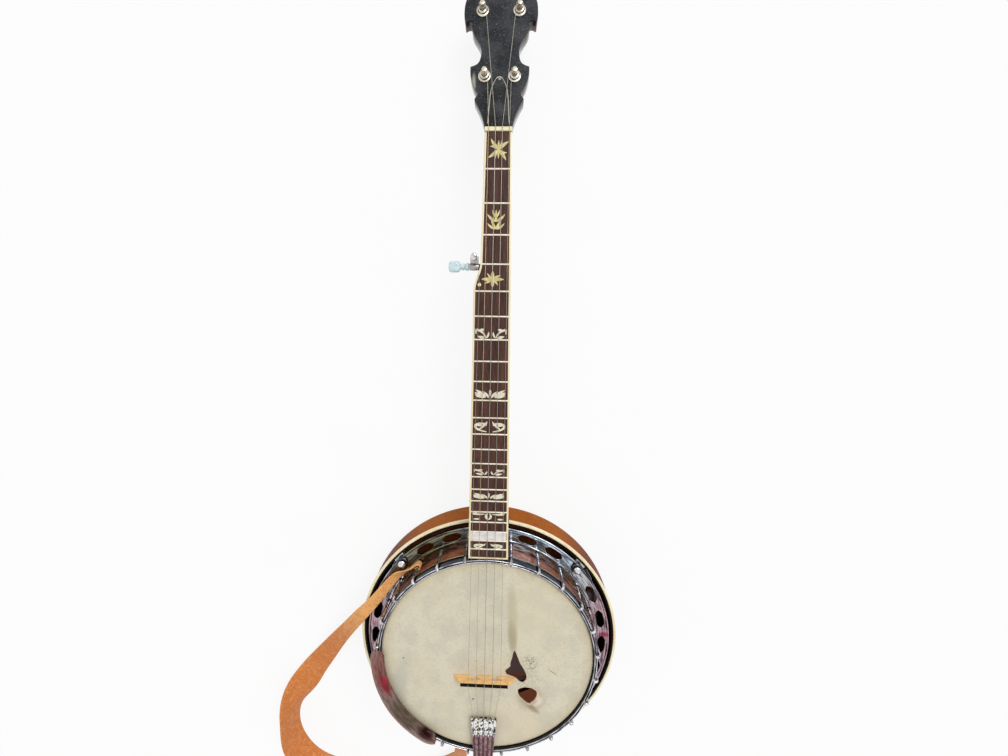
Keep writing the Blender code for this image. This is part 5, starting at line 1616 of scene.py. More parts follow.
@dataclass
class FlangeRing:
    """The pierced flange round the pot."""

    inner_r: float = 140.0
    outer_r: float = 169.0
    gap_x: float = 22.5
    z0: float = 59.0
    z1: float = 62.0
    open_r0: float = 153.5
    open_r1: float = 163.5
    open_degrees: float = 10.2
    round_by: float = 0.5
    outline_points: int = 220
    tube_r: float = 150.9
    bead_thick: float = 1.5
    tube_thick: float = 1.4
    hook_hole_r: float = 2.7
    screw_hole_r: float = 3.1
    hook_r: float = 147.2
    screw_r: float = 163.0
    hook_degrees: tuple[float, ...] = tuple(11.35 + 14.5 * i for i in range(12))
    screw_degrees: tuple[float, ...] = (46.4, 133.6, -133.6, -46.4)

    def middles(self) -> list[float]:
        """The middle of each gap between hooks that has no thumbscrew.

        Returns:
            Angles in degrees from the neck.
        """
        ordered = sorted([*self.hook_degrees, *(-d for d in self.hook_degrees)])
        found = [(a + b) / 2 for a, b in zip(ordered, ordered[1:])]
        free = [m for m in found if min(abs(m - s) for s in self.screw_degrees) > 7.0]
        return [m for m in free if abs(m) > self.hook_degrees[0]]

    def opening(self, middle: float) -> list[Vector]:
        """One coffin-shaped opening with rounded corners.

        Args:
            middle: its middle's angle.

        Returns:
            Its outline.
        """
        half = self.open_degrees / 2
        mean = (self.open_r0 + self.open_r1) / 2
        corners = [
            (self.open_r0, -0.52), (self.open_r0 - 0.1, 0.0), (self.open_r0, 0.52),
            (self.open_r0 + 1.2, 0.70),
            (mean - 1.2, 0.93), (mean + 1.2, 0.93), (self.open_r1 - 1.2, 0.70), (self.open_r1, 0.52),
            (self.open_r1 + 0.1, 0.0), (self.open_r1, -0.52), (self.open_r1 - 1.2, -0.70),
            (mean + 1.2, -0.93), (mean - 1.2, -0.93), (self.open_r0 + 1.2, -0.70),
        ]
        return [polar(r, middle + share * half) for r, share in corners]

    def spline(self, curve: bpy.types.Curve, points: Sequence[Vector]) -> None:
        """Adds one closed outline to the flat curve.

        Args:
            curve: the curve.
            points: the outline.
        """
        made = curve.splines.new("POLY")
        made.points.add(len(points) - 1)
        for item, point in zip(made.points, points):
            item.co = (point[0] * MM, point[1] * MM, 0.0, 1.0)
        made.use_cyclic_u = True

    def build(self) -> None:
        """The plate with its openings, its raised outer bead and inner tube."""
        curve = bpy.data.curves.new("flange_plate", "CURVE")
        curve.dimensions = "2D"
        curve.fill_mode = "BOTH"
        curve.extrude = ((self.z1 - self.z0) / 2 - self.round_by) * MM
        curve.bevel_depth = self.round_by * MM
        curve.bevel_resolution = 2
        curve.offset = -self.round_by * MM
        a0 = math.degrees(math.asin(self.gap_x / self.inner_r))
        a1 = math.degrees(math.asin(self.gap_x / self.outer_r))
        outer = [polar(self.outer_r, a) for a in np.linspace(a1, 360.0 - a1, self.outline_points)]
        inner = [polar(self.inner_r, a) for a in np.linspace(360.0 - a0, a0, self.outline_points)]
        self.spline(curve, outer + inner)
        for middle in self.middles():
            self.spline(curve, self.opening(middle))
        spots = [(self.hook_r, sign * d, self.hook_hole_r) for d in self.hook_degrees for sign in (1.0, -1.0)]
        spots += [(self.screw_r, d, self.screw_hole_r) for d in self.screw_degrees]
        for reach, degrees, radius in spots:
            self.spline(curve, [polar(reach, degrees) + p for p in turned_ring(radius, 0.0, 16)])
        plate = settle(linked("flange_plate", curve))
        place(plate, Matrix.Translation((0.0, 0.0, (self.z0 + self.z1) / 2)))
        dress(smoothed(plate, 50.0), FLANGE_CHROME, nodes=["flange"])
        outer_r, thick = self.outer_r - self.bead_thick, self.bead_thick
        self.build_bead("flange_outer_bead", outer_r, self.z1 - 0.4, thick, a1 + 0.4)
        self.build_bead("flange_inner_tube", self.tube_r, self.z1 - 0.6, self.tube_thick, a0 + 1.0)

    def build_bead(self, name: str, radius: float, z: float, thick: float, start: float) -> None:
        """A half-round bead along the flange.

        Args:
            name: its name.
            radius: its distance from the pot's axis.
            z: the height of its middle.
            thick: its radius.
            start: its end's angle from the neck.
        """
        angles = np.linspace(start, 360.0 - start, 200)
        path = [polar(radius, a, z) for a in angles]
        dress(loft(name, swept(path, [thick] * len(path), 10, Vector((0, 0, 1))), sharp=70), FLANGE_CHROME)


@dataclass
class Resonator:
    """The wooden bowl behind the pot, with its cream binding, lugs and thumbscrews."""

    radius: float = 178.2
    wall: float = 5.7
    back_r: float = 163.6
    back_thick: float = 5.0
    top_z: float = 61.0
    binding_w: float = 3.0
    binding_h: float = 4.2
    proud: float = 0.5
    notch_x: float = 25.6
    notch_z: float = 46.0
    rim_r: float = 139.7
    screw_r: float = 163.0
    seat_z: float = 62.3
    screw_degrees: tuple[float, ...] = (46.4, 133.6, -133.6, -46.4)

    def notch(self, name: str) -> bpy.types.Object:
        """The cutter for the neck's place in the wall.

        Args:
            name: its name.

        Returns:
            The cutter.
        """
        x, reach = self.notch_x, self.radius + 20.0
        outline = [(-x, self.rim_r), (x, self.rim_r), (x, reach), (-x, reach)]
        return prism(name, outline, self.notch_z, self.top_z + 10.0)

    def build(self) -> None:
        """Builds the bowl, its binding and its screws."""
        r, top = self.radius, self.top_z
        inner = r - self.wall
        lip = r - self.binding_w - 0.3
        shelf = top - self.binding_h + self.proud - 0.3
        outside = smooth_path(
            [(163.9, 0.0), (168.8, 1.0), (172.6, 3.4), (175.9, 7.5), (177.7, 12.5), (r, 18.0)], 3
        )
        profile = [(float(a), max(float(b), 0.0)) for a, b in outside]
        profile += [
            (r, shelf), (lip, shelf), (lip, top - 0.3), (lip - 0.3, top), (inner + 0.4, top),
            (inner, top - 0.4),
            (inner, 18.0), (inner - 1.6, 11.0), (inner - 4.8, 6.6), (self.back_r + 0.3, self.back_thick),
        ]
        bowl = combined(
            lathe("resonator_bowl_wall", profile, closed=True), self.notch("bowl_notch"), "DIFFERENCE"
        )
        dress(bowl, BURST, nodes=["resonator_wall"])
        out = r + self.proud
        low, high = shelf + 0.3, top + self.proud
        ring = [
            (lip + 0.3, low), (out - 0.3, low), (out, low + 0.3), (out, high - 1.1),
            (out - 0.35, high - 0.35), (out - 1.1, high), (lip + 0.7, high), (lip + 0.3, high - 0.4),
        ]
        binding = combined(
            lathe("resonator_cream_binding", ring, closed=True), self.notch("ring_notch"), "DIFFERENCE"
        )
        dress(binding, IVOROID, nodes=["resonator_binding"])
        back = [(self.back_r - 0.6, 0.0), (self.back_r, 0.5), (self.back_r, self.back_thick)]
        dress(lathe("resonator_back_plate", back), BURST_BACK, nodes=["resonator_back"])
        rows = [(0.0, 0.0), (1.6, 0.0), (1.6, 0.25), (0.0, 0.25)]
        rings = [turned_ring(self.back_r - 9.0 + a, b, 192) for a, b in rows]
        dress(loft("back_ring_line", rings, loop=True), IVOROID)
        for index, degrees in enumerate(self.screw_degrees, start=1):
            keep(f"resonator_lug_{index}", GREY_STEEL)
            self.build_screw(index, degrees)

    def build_screw(self, index: int, degrees: float) -> None:
        """One thumbscrew with its washer and knurled head.

        Args:
            index: its number.
            degrees: its angle from the neck.
        """
        profile = [
            (2.2, -17.0), (2.6, -16.5), (2.6, 0.0), (6.4, 0.0), (7.0, 0.4), (7.0, 1.4), (6.5, 1.9),
            (3.9, 2.4), (3.7, 3.0), (4.5, 3.7), (5.0, 4.6), (5.0, 7.4), (4.4, 8.1), (2.4, 8.5), (0.6, 8.6),
        ]
        core = lathe("screw_core", profile, 40, sharp=50)
        screw = merged(f"thumbscrew_{index}", [core, knurl("screw_ridges", 4.85, 36, 0.45, (4.7, 7.5))])
        place(screw, Matrix.Translation(polar(self.screw_r, degrees, self.seat_z)))
        node = f"resonator_thumbscrew_{index}"
        dress(screw, SCREW_CHROME, f"{node}_body", [node])


@dataclass
class Tailpiece:
    """The fluted tailpiece plate on its bracket, its adjusting screw and the rods through the pot."""

    x: float = -1.8
    front_y: float = -87.3
    screw_y: float = -153.7
    plate_z: float = 114.0
    pin_y: float = -107.5
    string_x: tuple[float, ...] = (-15.4, -8.6, -1.8, 5.0, 11.8)

    def half_width(self, y: float) -> float:
        """Half the plate's width at a distance along it.

        Args:
            y: the distance.

        Returns:
            Half the width.
        """
        rows = [(self.front_y + 1, 17.2), (self.front_y - 6, 17.0), (self.screw_y + 18.7, 13.8),
                (self.screw_y + 1.7, 13.4), (self.screw_y - 7.5, 9.4)]
        ys = [row[0] for row in rows][::-1]
        return float(np.interp(y, ys, [row[1] for row in rows][::-1]))

    def top_z(self, y: float) -> float:
        """The plate's height before its flutes.

        Args:
            y: the distance along it.

        Returns:
            The height.
        """
        rows = [
            (self.front_y, -0.1), (self.front_y - 15.0, 0.5), (self.screw_y + 7.7, 1.4),
            (self.screw_y - 2.3, 0.7), (self.screw_y - 5.6, -0.6), (self.screw_y - 7.3, -3.0),
        ]
        ys = [row[0] for row in rows][::-1]
        return self.plate_z + float(np.interp(y, ys, [row[1] for row in rows][::-1]))

    def flute(self, x: float, y: float) -> float:
        """How deep the surface dips between the ridges.

        Args:
            x: the place across.
            y: the place along.

        Returns:
            The dip, at most 0.
        """
        start = blend_step(0.0, 1.0, (self.front_y - 8.0 - y) / 9.0)
        end = blend_step(1.0, 0.0, (self.screw_y + 16.0 - y) / 12.0)
        pitch = 6.8 * self.half_width(y) / 17.0
        wave = 0.5 + 0.5 * math.cos(2 * math.pi * (x - self.x) / pitch)
        return -1.15 * start * end * wave

    def row(self, y: float, drop: float, across: Sequence[float]) -> list[Vector]:
        """Points across the plate at one distance, lowered by a drop.

        Args:
            y: the distance.
            drop: how far they are lowered.
            across: their places as shares of half the width.

        Returns:
            The points.
        """
        half = self.half_width(y)
        points = []
        for share in across:
            x = self.x + share * half
            edge = -1.3 * max(0.0, abs(share) - 0.88) / 0.12
            points.append(Vector((x, y, self.top_z(y) + self.flute(x, y) + edge - drop)))
        return points

    def build(self) -> None:
        """Builds the plate and dresses the rest."""
        across = np.linspace(-1.0, 1.0, 81)
        ys = list(
            np.linspace(self.front_y, self.screw_y - 5.6, 56)
        ) + [self.screw_y - 6.6, self.screw_y - 7.3]
        rows = []
        for y in ys:
            top = self.row(y, 0.0, across)
            rows.append(top + [p - Vector((0, 0, 1.4)) for p in top[::-1]])
        back = rows[-1]
        rows.append([Vector((p.x, self.screw_y - 7.35, min(p.z, self.plate_z - 6.4))) for p in back])
        plate = loft("tail_plate", rows, sharp=45)
        hole = place(
            lathe("tail_hole", [(2.4, 100.0), (2.4, 125.0)], 24), Matrix.Translation((0, self.screw_y, 0))
        )
        plate = combined(plate, hole, "DIFFERENCE")
        dress(plate, TAIL_CHROME, nodes=["tailpiece_plate"])
        self.build_front()
        self.build_pins()
        self.build_screw()
        for node in ("tailpiece_bracket", "coordinator_rod_upper", "coordinator_rod_lower"):
            keep(node, GREY_STEEL)

    def build_front(self) -> None:
        """The front edge, folded down into fingers with a slot for each string."""
        z = self.plate_z
        edges = [self.x - 17.2] + [x + s * 0.9 for x in self.string_x for s in (-1, 1)] + [self.x + 17.2]
        bm = bmesh.new()
        for x0, x1 in zip(edges[::2], edges[1::2]):
            middle, half = (x0 + x1) / 2, (x1 - x0) / 2
            rings = []
            for share in np.linspace(-1.0, 1.0, 9):
                x = middle + share * half
                tuck = 0.8 * (1.0 - math.sqrt(max(0.0, 1.0 - share**2)))
                y = self.front_y + 0.9 - tuck
                rings.append([
                    Vector((x, y - 2.2, z - 0.1)), Vector((x, y - 0.6, z - 0.15)), Vector((x, y, z - 0.9)),
                    Vector((x, y, z - 5.2 + tuck * 1.2)), Vector((x, y - 1.3, z - 5.4 + tuck * 1.2)),
                    Vector((x, y - 1.4, z - 1.5)), Vector((x, y - 2.2, z - 1.4)),
                ])
            add_loft(bm, rings)
        dress(object_from("tail_front_fingers", bm, 50), TAIL_CHROME)

    def build_pins(self) -> None:
        """A bent hook for each string's loop."""
        bm = bmesh.new()
        for x in self.string_x:
            y, z = self.pin_y, self.plate_z
            path = [
                Vector((x, y - 0.6, z - 0.9)), Vector((x, y - 0.7, z + 1.2)), Vector((x, y - 1.2, z + 2.5)),
                Vector((x, y - 2.4, z + 2.9)), Vector((x, y - 3.6, z + 2.4)),
            ]
            add_loft(bm, swept(path, [0.9, 0.9, 0.85, 0.75, 0.5], 10, Vector((1, 0, 0))))
            ball = [Vector((x, y + 0.2, z + 0.9)) + p for p in turned_ring(1.75, 0.0, 14)]
            ring = ball + [ball[0]]
            add_loft(bm, swept(ring, [0.32] * len(ring), 6, Vector((0, 0, 1))))
        dress(object_from("string_hooks", bm, 60), CHROME)
        bm = bmesh.new()
        for x0, x1 in zip(self.string_x, self.string_x[1:]):
            middle, y = (x0 + x1) / 2, self.pin_y + 1.5
            for side in (-1.25, 1.25):
                rows = [(1.1, 2.6, 0.1), (1.0, 1.4, 1.2), (0.9, -0.8, 1.5), (0.7, -3.4, 0.4)]
                rows = [(middle + side * u, y + v, self.plate_z + w) for u, v, w in rows]
                path = [Vector(p) for p in smooth_path(rows, 4)]
                add_loft(bm, swept(path, list(np.linspace(0.7, 1.25, len(path))), 12, Vector((1, 0, 0))))
        dress(object_from("string_claws", bm, 60), CLAW_CHROME)

    def build_screw(self) -> None:
        """The adjusting screw with its knurled head and slot."""
        z = self.plate_z + 1.7
        profile = [
            (1.2, -20.0), (1.8, -19.0), (1.8, 0.0), (4.3, 0.0), (4.8, 0.5), (4.8, 4.3), (4.3, 4.8),
            (2.6, 5.1), (0.5, 5.2),
        ]
        core = lathe("tail_screw_core", profile, 40, sharp=50)
        slot = prism("slot_cutter", [(-4, -0.5), (4, -0.5), (4, 0.5), (-4, 0.5)], 4.2, 7.0)
        core = combined(core, slot, "DIFFERENCE")
        screw = merged("tail_screw", [core, knurl("tail_screw_ridges", 4.7, 34, 0.42, (0.6, 4.2))])
        place(screw, Matrix.Translation((0.0, self.screw_y, z)))
        dress(screw, CHROME, Body.TAIL_SCREW.value, ["tailpiece_adjusting_screw"])


@dataclass
class Armrest:
    """The curved rest for the player's forearm, with its clamp."""

    start: float = -85.0
    end: float = -152.0
    middle_r: float = 144.0
    base_z: float = 109.0
    wide_from: float = -95.0
    wider: float = 0.22
    section: tuple[tuple[float, float], ...] = (
        (-9.5, 2.6), (-7.0, 5.3), (-1.0, 7.3), (5.0, 6.2), (9.0, 2.6),
        (7.5, 2.3), (4.3, 4.9), (-1.0, 5.9), (-6.1, 4.0), (-7.8, 2.3),
    )

    def build(self) -> None:
        """The shell, drawn in and rounded at its two ends."""
        outline = smooth_path(self.section[:5], 4)[:-1] + [np.array(self.section[4])]
        under = smooth_path(self.section[5:], 4)
        shape = [tuple(p) for p in outline + under]
        rings = []
        for degrees in np.linspace(self.start, self.end, 72):
            end = min(degrees - self.end, self.start - degrees)
            draw = 0.30 + 0.70 * math.sin(min(end / 5.0, 1.0) * math.pi / 2) ** 0.6
            draw *= 1.0 + self.wider * min(max((self.wide_from - degrees) / 30.0, 0.0), 1.0)
            rings.append([polar(self.middle_r + r * draw, degrees, self.base_z + z) for r, z in shape])
        dress(loft("armrest_shell", rings, sharp=60), ARM_CHROME, nodes=["armrest"])
        keep("armrest_clamp", CHROME)


@dataclass
class Bridge:
    """The three-footed maple bridge with its ebony cap."""

    x: float = -2.0
    y: float = -28.5
    head_z: float = 104.5
    height: float = 16.0
    foot: float = 80.0
    top: float = 62.0
    cap: float = 1.9
    base_t: float = 6.4
    top_t: float = 3.4
    string_x: tuple[float, ...] = (-23.0, -12.3, -1.6, 9.1, 19.8)

    def build(self) -> None:
        """The arched body and the cap with a notch for each string."""
        half, top = self.foot / 2, self.top / 2
        body = self.height - self.cap - 0.6
        arch = [
            (-17.7, 0.0), (-17.9, 1.5), (-20.6, 3.2), (-23.0, 4.8), (-22.6, 6.3), (-20.2, 7.0), (-14.4, 7.2),
            (-8.6, 7.0), (-6.1, 6.3), (-5.7, 4.8), (-8.1, 3.2), (-10.0, 1.5), (-10.2, 0.0),
        ]
        arch = [tuple(p) for p in smooth_path(arch, 4)]
        crown = [
            (half, 0.0), (half - 0.2, 1.6), (half - 1.6, 3.6), (half - 4.2, 6.6), (half - 6.6, 9.0),
            (half - 8.3, 11.0), (top, body)
        ]
        crown = [tuple(p) for p in smooth_path(crown, 4)]
        outline = [(-half, 0.0)] + arch + [(-x, z) for x, z in arch[::-1]] + crown
        outline += [(-x, z) for x, z in crown[::-1]][:-1]
        rows = []
        for sign in (-1.0, 1.0):
            row = []
            for x, z in outline:
                thick = self.base_t + (self.top_t - self.base_t) * max(z, 0.0) / body
                row.append(Vector((x, sign * thick / 2, max(z, 0.0))))
            rows.append(row)
        spot = Vector((self.x, self.y, self.head_z + 0.3))
        bridge = place(loft("bridge_body", rows, sharp=30), Matrix.Translation(spot))
        dress(bevelled(bridge, 0.45), MAPLE, nodes=["bridge"])
        rings = []
        marks = sorted(x + d for x in self.string_x for d in (-1.0, -0.5, 0.0, 0.5, 1.0))
        stations = sorted([self.x - top, self.x + top, *marks])
        low = spot.z + body + 0.3
        t = self.top_t / 2
        for x in stations:
            near = min(abs(x - s) for s in self.string_x)
            high = low + self.cap + 0.55 - (0.75 if near < 0.3 else 0.0)
            rings.append([
                Vector((x, self.y - t, low)), Vector((x, self.y + t, low)),
                Vector((x, self.y + t, high - 0.5)),
                Vector((x, self.y + t - 0.6, high)), Vector((x, self.y - t + 0.6, high)),
                Vector((x, self.y - t, high - 0.5)),
            ])
        dress(loft("bridge_cap_notched", rings), EBONY, nodes=["bridge_cap"])


# The neck's frame

NECK_PITCH = math.radians(2.5)
PEG_TURN = math.radians(14.0)
SCALE_LENGTH = 667.0
FRETS = 22
BOARD_LENGTH = SCALE_LENGTH * (1.0 - 2.0 ** (-FRETS / 12.0)) + 13.2
BOARD_THICK = 5.0
NECK_END = Vector((0.0, 145.3, 106.7))
PEG_X = 1.6
NUT_LEFT, NUT_RIGHT = -12.9, 16.9
FLARE_LEFT, FLARE_RIGHT, FLARE_LONG = -15.3, -23.0, 32.0
UPPER_TAPER, LOWER_TAPER, RIGHT_TAPER = 2.4, 1.9, 8.0
PIP_X, PIP_RISE = -16.1, 6.9


def fret_s(number: float) -> float:
    """A fret's distance from the nut."""
    return SCALE_LENGTH * (1.0 - 2.0 ** (-number / 12.0))


def neck_matrix() -> Matrix:
    """Takes (x, distance from the board's lower end, height off the board) to the banjo's frame."""
    return Matrix.Translation(NECK_END) @ Matrix.Rotation(-NECK_PITCH, 4, "X")


def neck_world(x: float, s: float, z: float) -> Vector:
    """The place of a point given by its distance from the nut."""
    return neck_matrix() @ Vector((x, BOARD_LENGTH - s, z))


def peg_matrix() -> Matrix:
    """Takes (x, distance along the peghead, height off its face) to the banjo's frame."""
    return Matrix.Translation(neck_world(0.0, -5.6, -BOARD_THICK)) @ Matrix.Rotation(-PEG_TURN, 4, "X")


def board_left(s: float) -> float:
    """The board's left edge, which steps out where the fifth string starts.

    Args:
        s: the distance from the nut.

    Returns:
        The edge's x.
    """
    flare_0, flare_1 = fret_s(5) - FLARE_LONG, fret_s(5)
    if s <= flare_0:
        return NUT_LEFT - UPPER_TAPER * s / flare_0
    if s <= flare_1:
        return blend_step(FLARE_LEFT, FLARE_RIGHT, (s - flare_0) / FLARE_LONG)
    return FLARE_RIGHT - LOWER_TAPER * (s - flare_1) / (BOARD_LENGTH - flare_1)


def board_right(s: float) -> float:
    """The board's right edge."""
    return NUT_RIGHT + RIGHT_TAPER * s / BOARD_LENGTH


def board_outline(inset: float, s0: float, s1: float) -> Outline:
    """The board seen from above, drawn in by an inset on both sides.

    Args:
        inset: how far it is drawn in.
        s0: where it starts, from the nut.
        s1: where it ends.

    Returns:
        Its outline, from the board's lower end.
    """
    flare = fret_s(5)
    stations = [s0, flare - FLARE_LONG, *np.linspace(flare - FLARE_LONG + 1.0, flare, 20), s1]
    left = [(board_left(s) + inset, BOARD_LENGTH - s) for s in stations]
    right = [(board_right(s) - inset, BOARD_LENGTH - s) for s in (s0, s1)]
    return left + right[::-1]


class Motif(Enum):
    """The kinds of shell figure set into the board."""

    LEAF_CROSS = "leaf_cross"
    LEAF_TIERS = "leaf_tiers"
    STAR = "star"
    HOOKS = "hooks"
    WINGS = "wings"
    SCROLLS = "scrolls"
    HEART = "heart"


@dataclass(frozen=True)
class Inlay:
    """One figure: its kind, its span along the board and across it."""

    motif: Motif
    s0: float
    s1: float
    x0: float
    x1: float
    warm: bool = False


@dataclass
class Fretboard:
    """The board with its frets, shell figures, binding, nut, fifth-string nut and spikes."""

    binding: float = 2.3
    fret_w: float = 2.2
    fret_h: float = 1.0
    shell_rise: float = 0.07
    nut_thick: float = 5.0
    nut_h: float = 1.3
    string_x: tuple[float, ...] = (-8.8, -1.3, 6.2, 13.7)
    block: tuple[float, float, float, float] = (458.1, 469.3, -22.4, 21.6)
    inlays: tuple[Inlay, ...] = (
        Inlay(Motif.LEAF_CROSS, 6.9, 28.9, -8.8, 13.8, True),
        Inlay(Motif.LEAF_TIERS, 79.0, 101.0, -10.5, 13.0, True),
        Inlay(Motif.STAR, 143.8, 164.5, -15.4, 12.9, True),
        Inlay(Motif.HOOKS, 203.5, 220.6, -19.2, 15.4),
        Inlay(Motif.WINGS, 277.5, 290.5, -19.0, 16.0),
        Inlay(Motif.SCROLLS, 317.0, 331.6, -19.5, 17.0),
        Inlay(Motif.HOOKS, 373.7, 383.8, -19.0, 17.0),
        Inlay(Motif.WINGS, 405.4, 414.4, -19.0, 17.5),
        Inlay(Motif.HEART, 432.5, 441.6, -19.5, 18.0),
        Inlay(Motif.SCROLLS, 472.0, 480.0, -18.5, 17.5),
    )

    def build(self) -> None:
        """Builds every piece of the board."""
        self.build_board()
        self.build_frets()
        self.build_inlays()
        self.build_binding()
        self.build_nut()
        self.build_small_parts()

    def build_board(self) -> None:
        """The wooden board between its bindings."""
        outline = board_outline(self.binding, 0.0, BOARD_LENGTH - self.binding)
        board = place(prism("fretboard_wood", outline, -BOARD_THICK, 0.0), neck_matrix())
        dress(board, ROSEWOOD, nodes=["fretboard"])

    def build_frets(self) -> None:
        """The frets by rule: each at its share of the scale, as wide as the board is there."""
        half, high = self.fret_w / 2, self.fret_h
        crown = [
            (-half, -0.2), (-half, 0.1), (-half * 0.82, high * 0.55), (-half * 0.42, high * 0.93),
            (0.0, high), (half * 0.42, high * 0.93), (half * 0.82, high * 0.55), (half, 0.1), (half, -0.2),
        ]
        rings = [[Vector((x * 1000.0, y, z)) for y, z in crown] for x in (-0.5, 0.5)]
        bar = loft("fret_shape", rings, sharp=75)
        tree = Tree("frets_rule")
        shape = tree.input("Template", "NodeSocketObject", bar)
        scale = tree.input("Scale Length", "NodeSocketFloat", SCALE_LENGTH * MM)
        count = tree.input("Frets", "NodeSocketInt", FRETS)
        inset = tree.input("Edge Inset", "NodeSocketFloat", (self.binding - 0.4) * MM)
        line = tree.node("GeometryNodeMeshLine", {}, {"Count": count, "Offset": (0.0, 0.0, 0.0)})
        number = tree.math("ADD", tree.node("GeometryNodeInputIndex", {}, {}).outputs[0], 1.0)
        share = tree.math("SUBTRACT", 1.0, tree.math("POWER", 2.0, tree.math("DIVIDE", number, -12.0)))
        s = tree.math("MULTIPLY", scale, share)
        flare_0, flare_1, end = (fret_s(5) - FLARE_LONG) * MM, fret_s(5) * MM, BOARD_LENGTH * MM
        left: object = NUT_LEFT * MM
        for low, high_s, gain, kind in (
            (0.0, flare_0, -UPPER_TAPER, "LINEAR"),
            (flare_0, flare_1, FLARE_RIGHT - FLARE_LEFT, "SMOOTHSTEP"),
            (flare_1, end, -LOWER_TAPER, "LINEAR"),
        ):
            part = tree.node(
                "ShaderNodeMapRange",
                {"interpolation_type": kind},
                {"Value": s, "From Min": low, "From Max": high_s, "To Min": 0.0, "To Max": gain * MM},
            )
            left = tree.math("ADD", left, part.outputs[0])
        right = tree.math("ADD", tree.math("MULTIPLY", s, RIGHT_TAPER / BOARD_LENGTH), NUT_RIGHT * MM)
        left = tree.math("ADD", left, inset)
        right = tree.math("SUBTRACT", right, inset)
        middle = tree.math("MULTIPLY", tree.math("ADD", left, right), 0.5)
        spot = tree.node(
            "ShaderNodeCombineXYZ", {}, {"X": middle, "Y": tree.math("SUBTRACT", end, s), "Z": 0.0}
        )
        moved = tree.node(
            "GeometryNodeSetPosition", {}, {"Geometry": line.outputs[0], "Position": spot.outputs[0]}
        )
        size = tree.node(
            "ShaderNodeCombineXYZ", {}, {"X": tree.math("SUBTRACT", right, left), "Y": 1.0, "Z": 1.0}
        )
        copies = tree.copies(shape, moved.outputs[0], {"Scale": size.outputs[0]})
        frets = tree.finish("frets", copies, FRET_METAL)
        bpy.data.objects.remove(bar)
        dress(place(frets, neck_matrix()), FRET_METAL)

    def leaf(self, u: float, v: float, turn: float, length: float, width: float, bend: float = 0.0) -> tuple:
        """A pointed leaf as a path with widths.

        Args:
            u: its foot's place across the figure, -1 to 1.
            v: its foot's place along the figure, -1 to 1.
            turn: the way that it points, in degrees from up the neck.
            length: its length in the figure's own half sizes.
            width: its greatest half width.
            bend: how many degrees it curls.

        Returns:
            The path and the half widths.
        """
        path, widths = [], []
        angle = math.radians(turn)
        for i in range(9):
            share = i / 8
            path.append((u, v))
            widths.append(width * (math.sin(math.pi * share**0.75) ** 0.8 if 0 < i < 8 else 0.04))
            u += math.sin(angle) * length / 8
            v += math.cos(angle) * length / 8
            angle += math.radians(bend) / 8
        return path, widths

    def scroll(self, u: float, v: float, turn: float, size: float, width: float, curl: float) -> tuple:
        """A hook that winds up toward its end, as a path with widths.

        Args:
            u: its start across the figure, -1 to 1.
            v: its start along the figure, -1 to 1.
            turn: the way that it starts, in degrees from up the neck.
            size: its length in the figure's own half sizes.
            width: its greatest half width.
            curl: how many degrees it winds.

        Returns:
            The path and the half widths.
        """
        path, widths = [], []
        angle = math.radians(turn)
        for i in range(15):
            share = i / 14
            path.append((u, v))
            widths.append(width * (0.35 + 0.65 * math.sin(math.pi * min(share * 1.15, 1.0)) + 0.25 * share))
            stride = size / 14 * (1.35 - 0.8 * share)
            u += math.sin(angle) * stride
            v += math.cos(angle) * stride
            angle += math.radians(curl) / 14 * (0.45 + 1.1 * share)
        return path, widths

    def strokes(self, motif: Motif) -> list[tuple]:
        """The strokes of one kind of figure, in its own frame from -1 to 1 each way.

        Args:
            motif: the kind.

        Returns:
            Paths with their half widths.
        """
        leaf, scroll = self.leaf, self.scroll
        if motif is Motif.LEAF_CROSS:
            found = [leaf(0.0, 0.0, 90.0 * k + 45.0, 1.25, 0.24, 18.0) for k in range(4)]
            found += [leaf(0.0, 0.0, 90.0 * k + 45.0, 0.9, 0.18, -60.0) for k in range(4)]
            found += [leaf(0.0, 0.05, 0.0, 0.8, 0.15), leaf(0.0, -0.05, 180.0, 0.8, 0.15)]
            return found
        if motif is Motif.LEAF_TIERS:
            found = [leaf(0.0, -0.2, t, 1.15, 0.2, b) for t, b in ((-62.0, 30.0), (0.0, 0.0), (62.0, -30.0))]
            lower = ((-75.0, 45.0), (-32.0, 12.0), (32.0, -12.0), (75.0, -45.0))
            found += [leaf(0.0, -0.9, t, 1.0, 0.18, b) for t, b in lower]
            return found + [leaf(0.0, 0.2, t, 0.85, 0.14, b) for t, b in ((-38.0, 30.0), (38.0, -30.0))]
        if motif is Motif.STAR:
            found = [leaf(0.0, 0.0, 90.0 * k, 0.9, 0.24) for k in range(4)]
            return found + [leaf(0.0, 0.0, 90.0 * k + 45.0, 0.8, 0.14, 25.0) for k in range(4)]
        if motif is Motif.HEART:
            found = [leaf(0.0, -0.9, t, 1.9, 0.2, b) for t, b in ((-16.0, 34.0), (16.0, -34.0))]
            return found + self.pair(
                lambda m: [
                    scroll(0.24 * m, 0.7, 118.0 * m, 1.35, 0.15, -270.0 * m),
                    leaf(0.6 * m, -0.75, 96.0 * m, 0.4, 0.16)
                ]
            )
        if motif is Motif.HOOKS:
            return self.pair(
                lambda m: [
                    scroll(0.36 * m, -0.95, 6.0 * m, 2.7, 0.12, 250.0 * m),
                    leaf(0.32 * m, -0.95, -24.0 * m, 0.9, 0.12, 30.0 * m),
                    leaf(0.42 * m, -0.95, 62.0 * m, 0.55, 0.17),
                    leaf(0.44 * m, 0.2, 100.0 * m, 0.5, 0.15, 50.0 * m),
                ]
            )
        if motif is Motif.WINGS:
            feathers = ((24.0, 1.45), (44.0, 1.25), (64.0, 1.05))
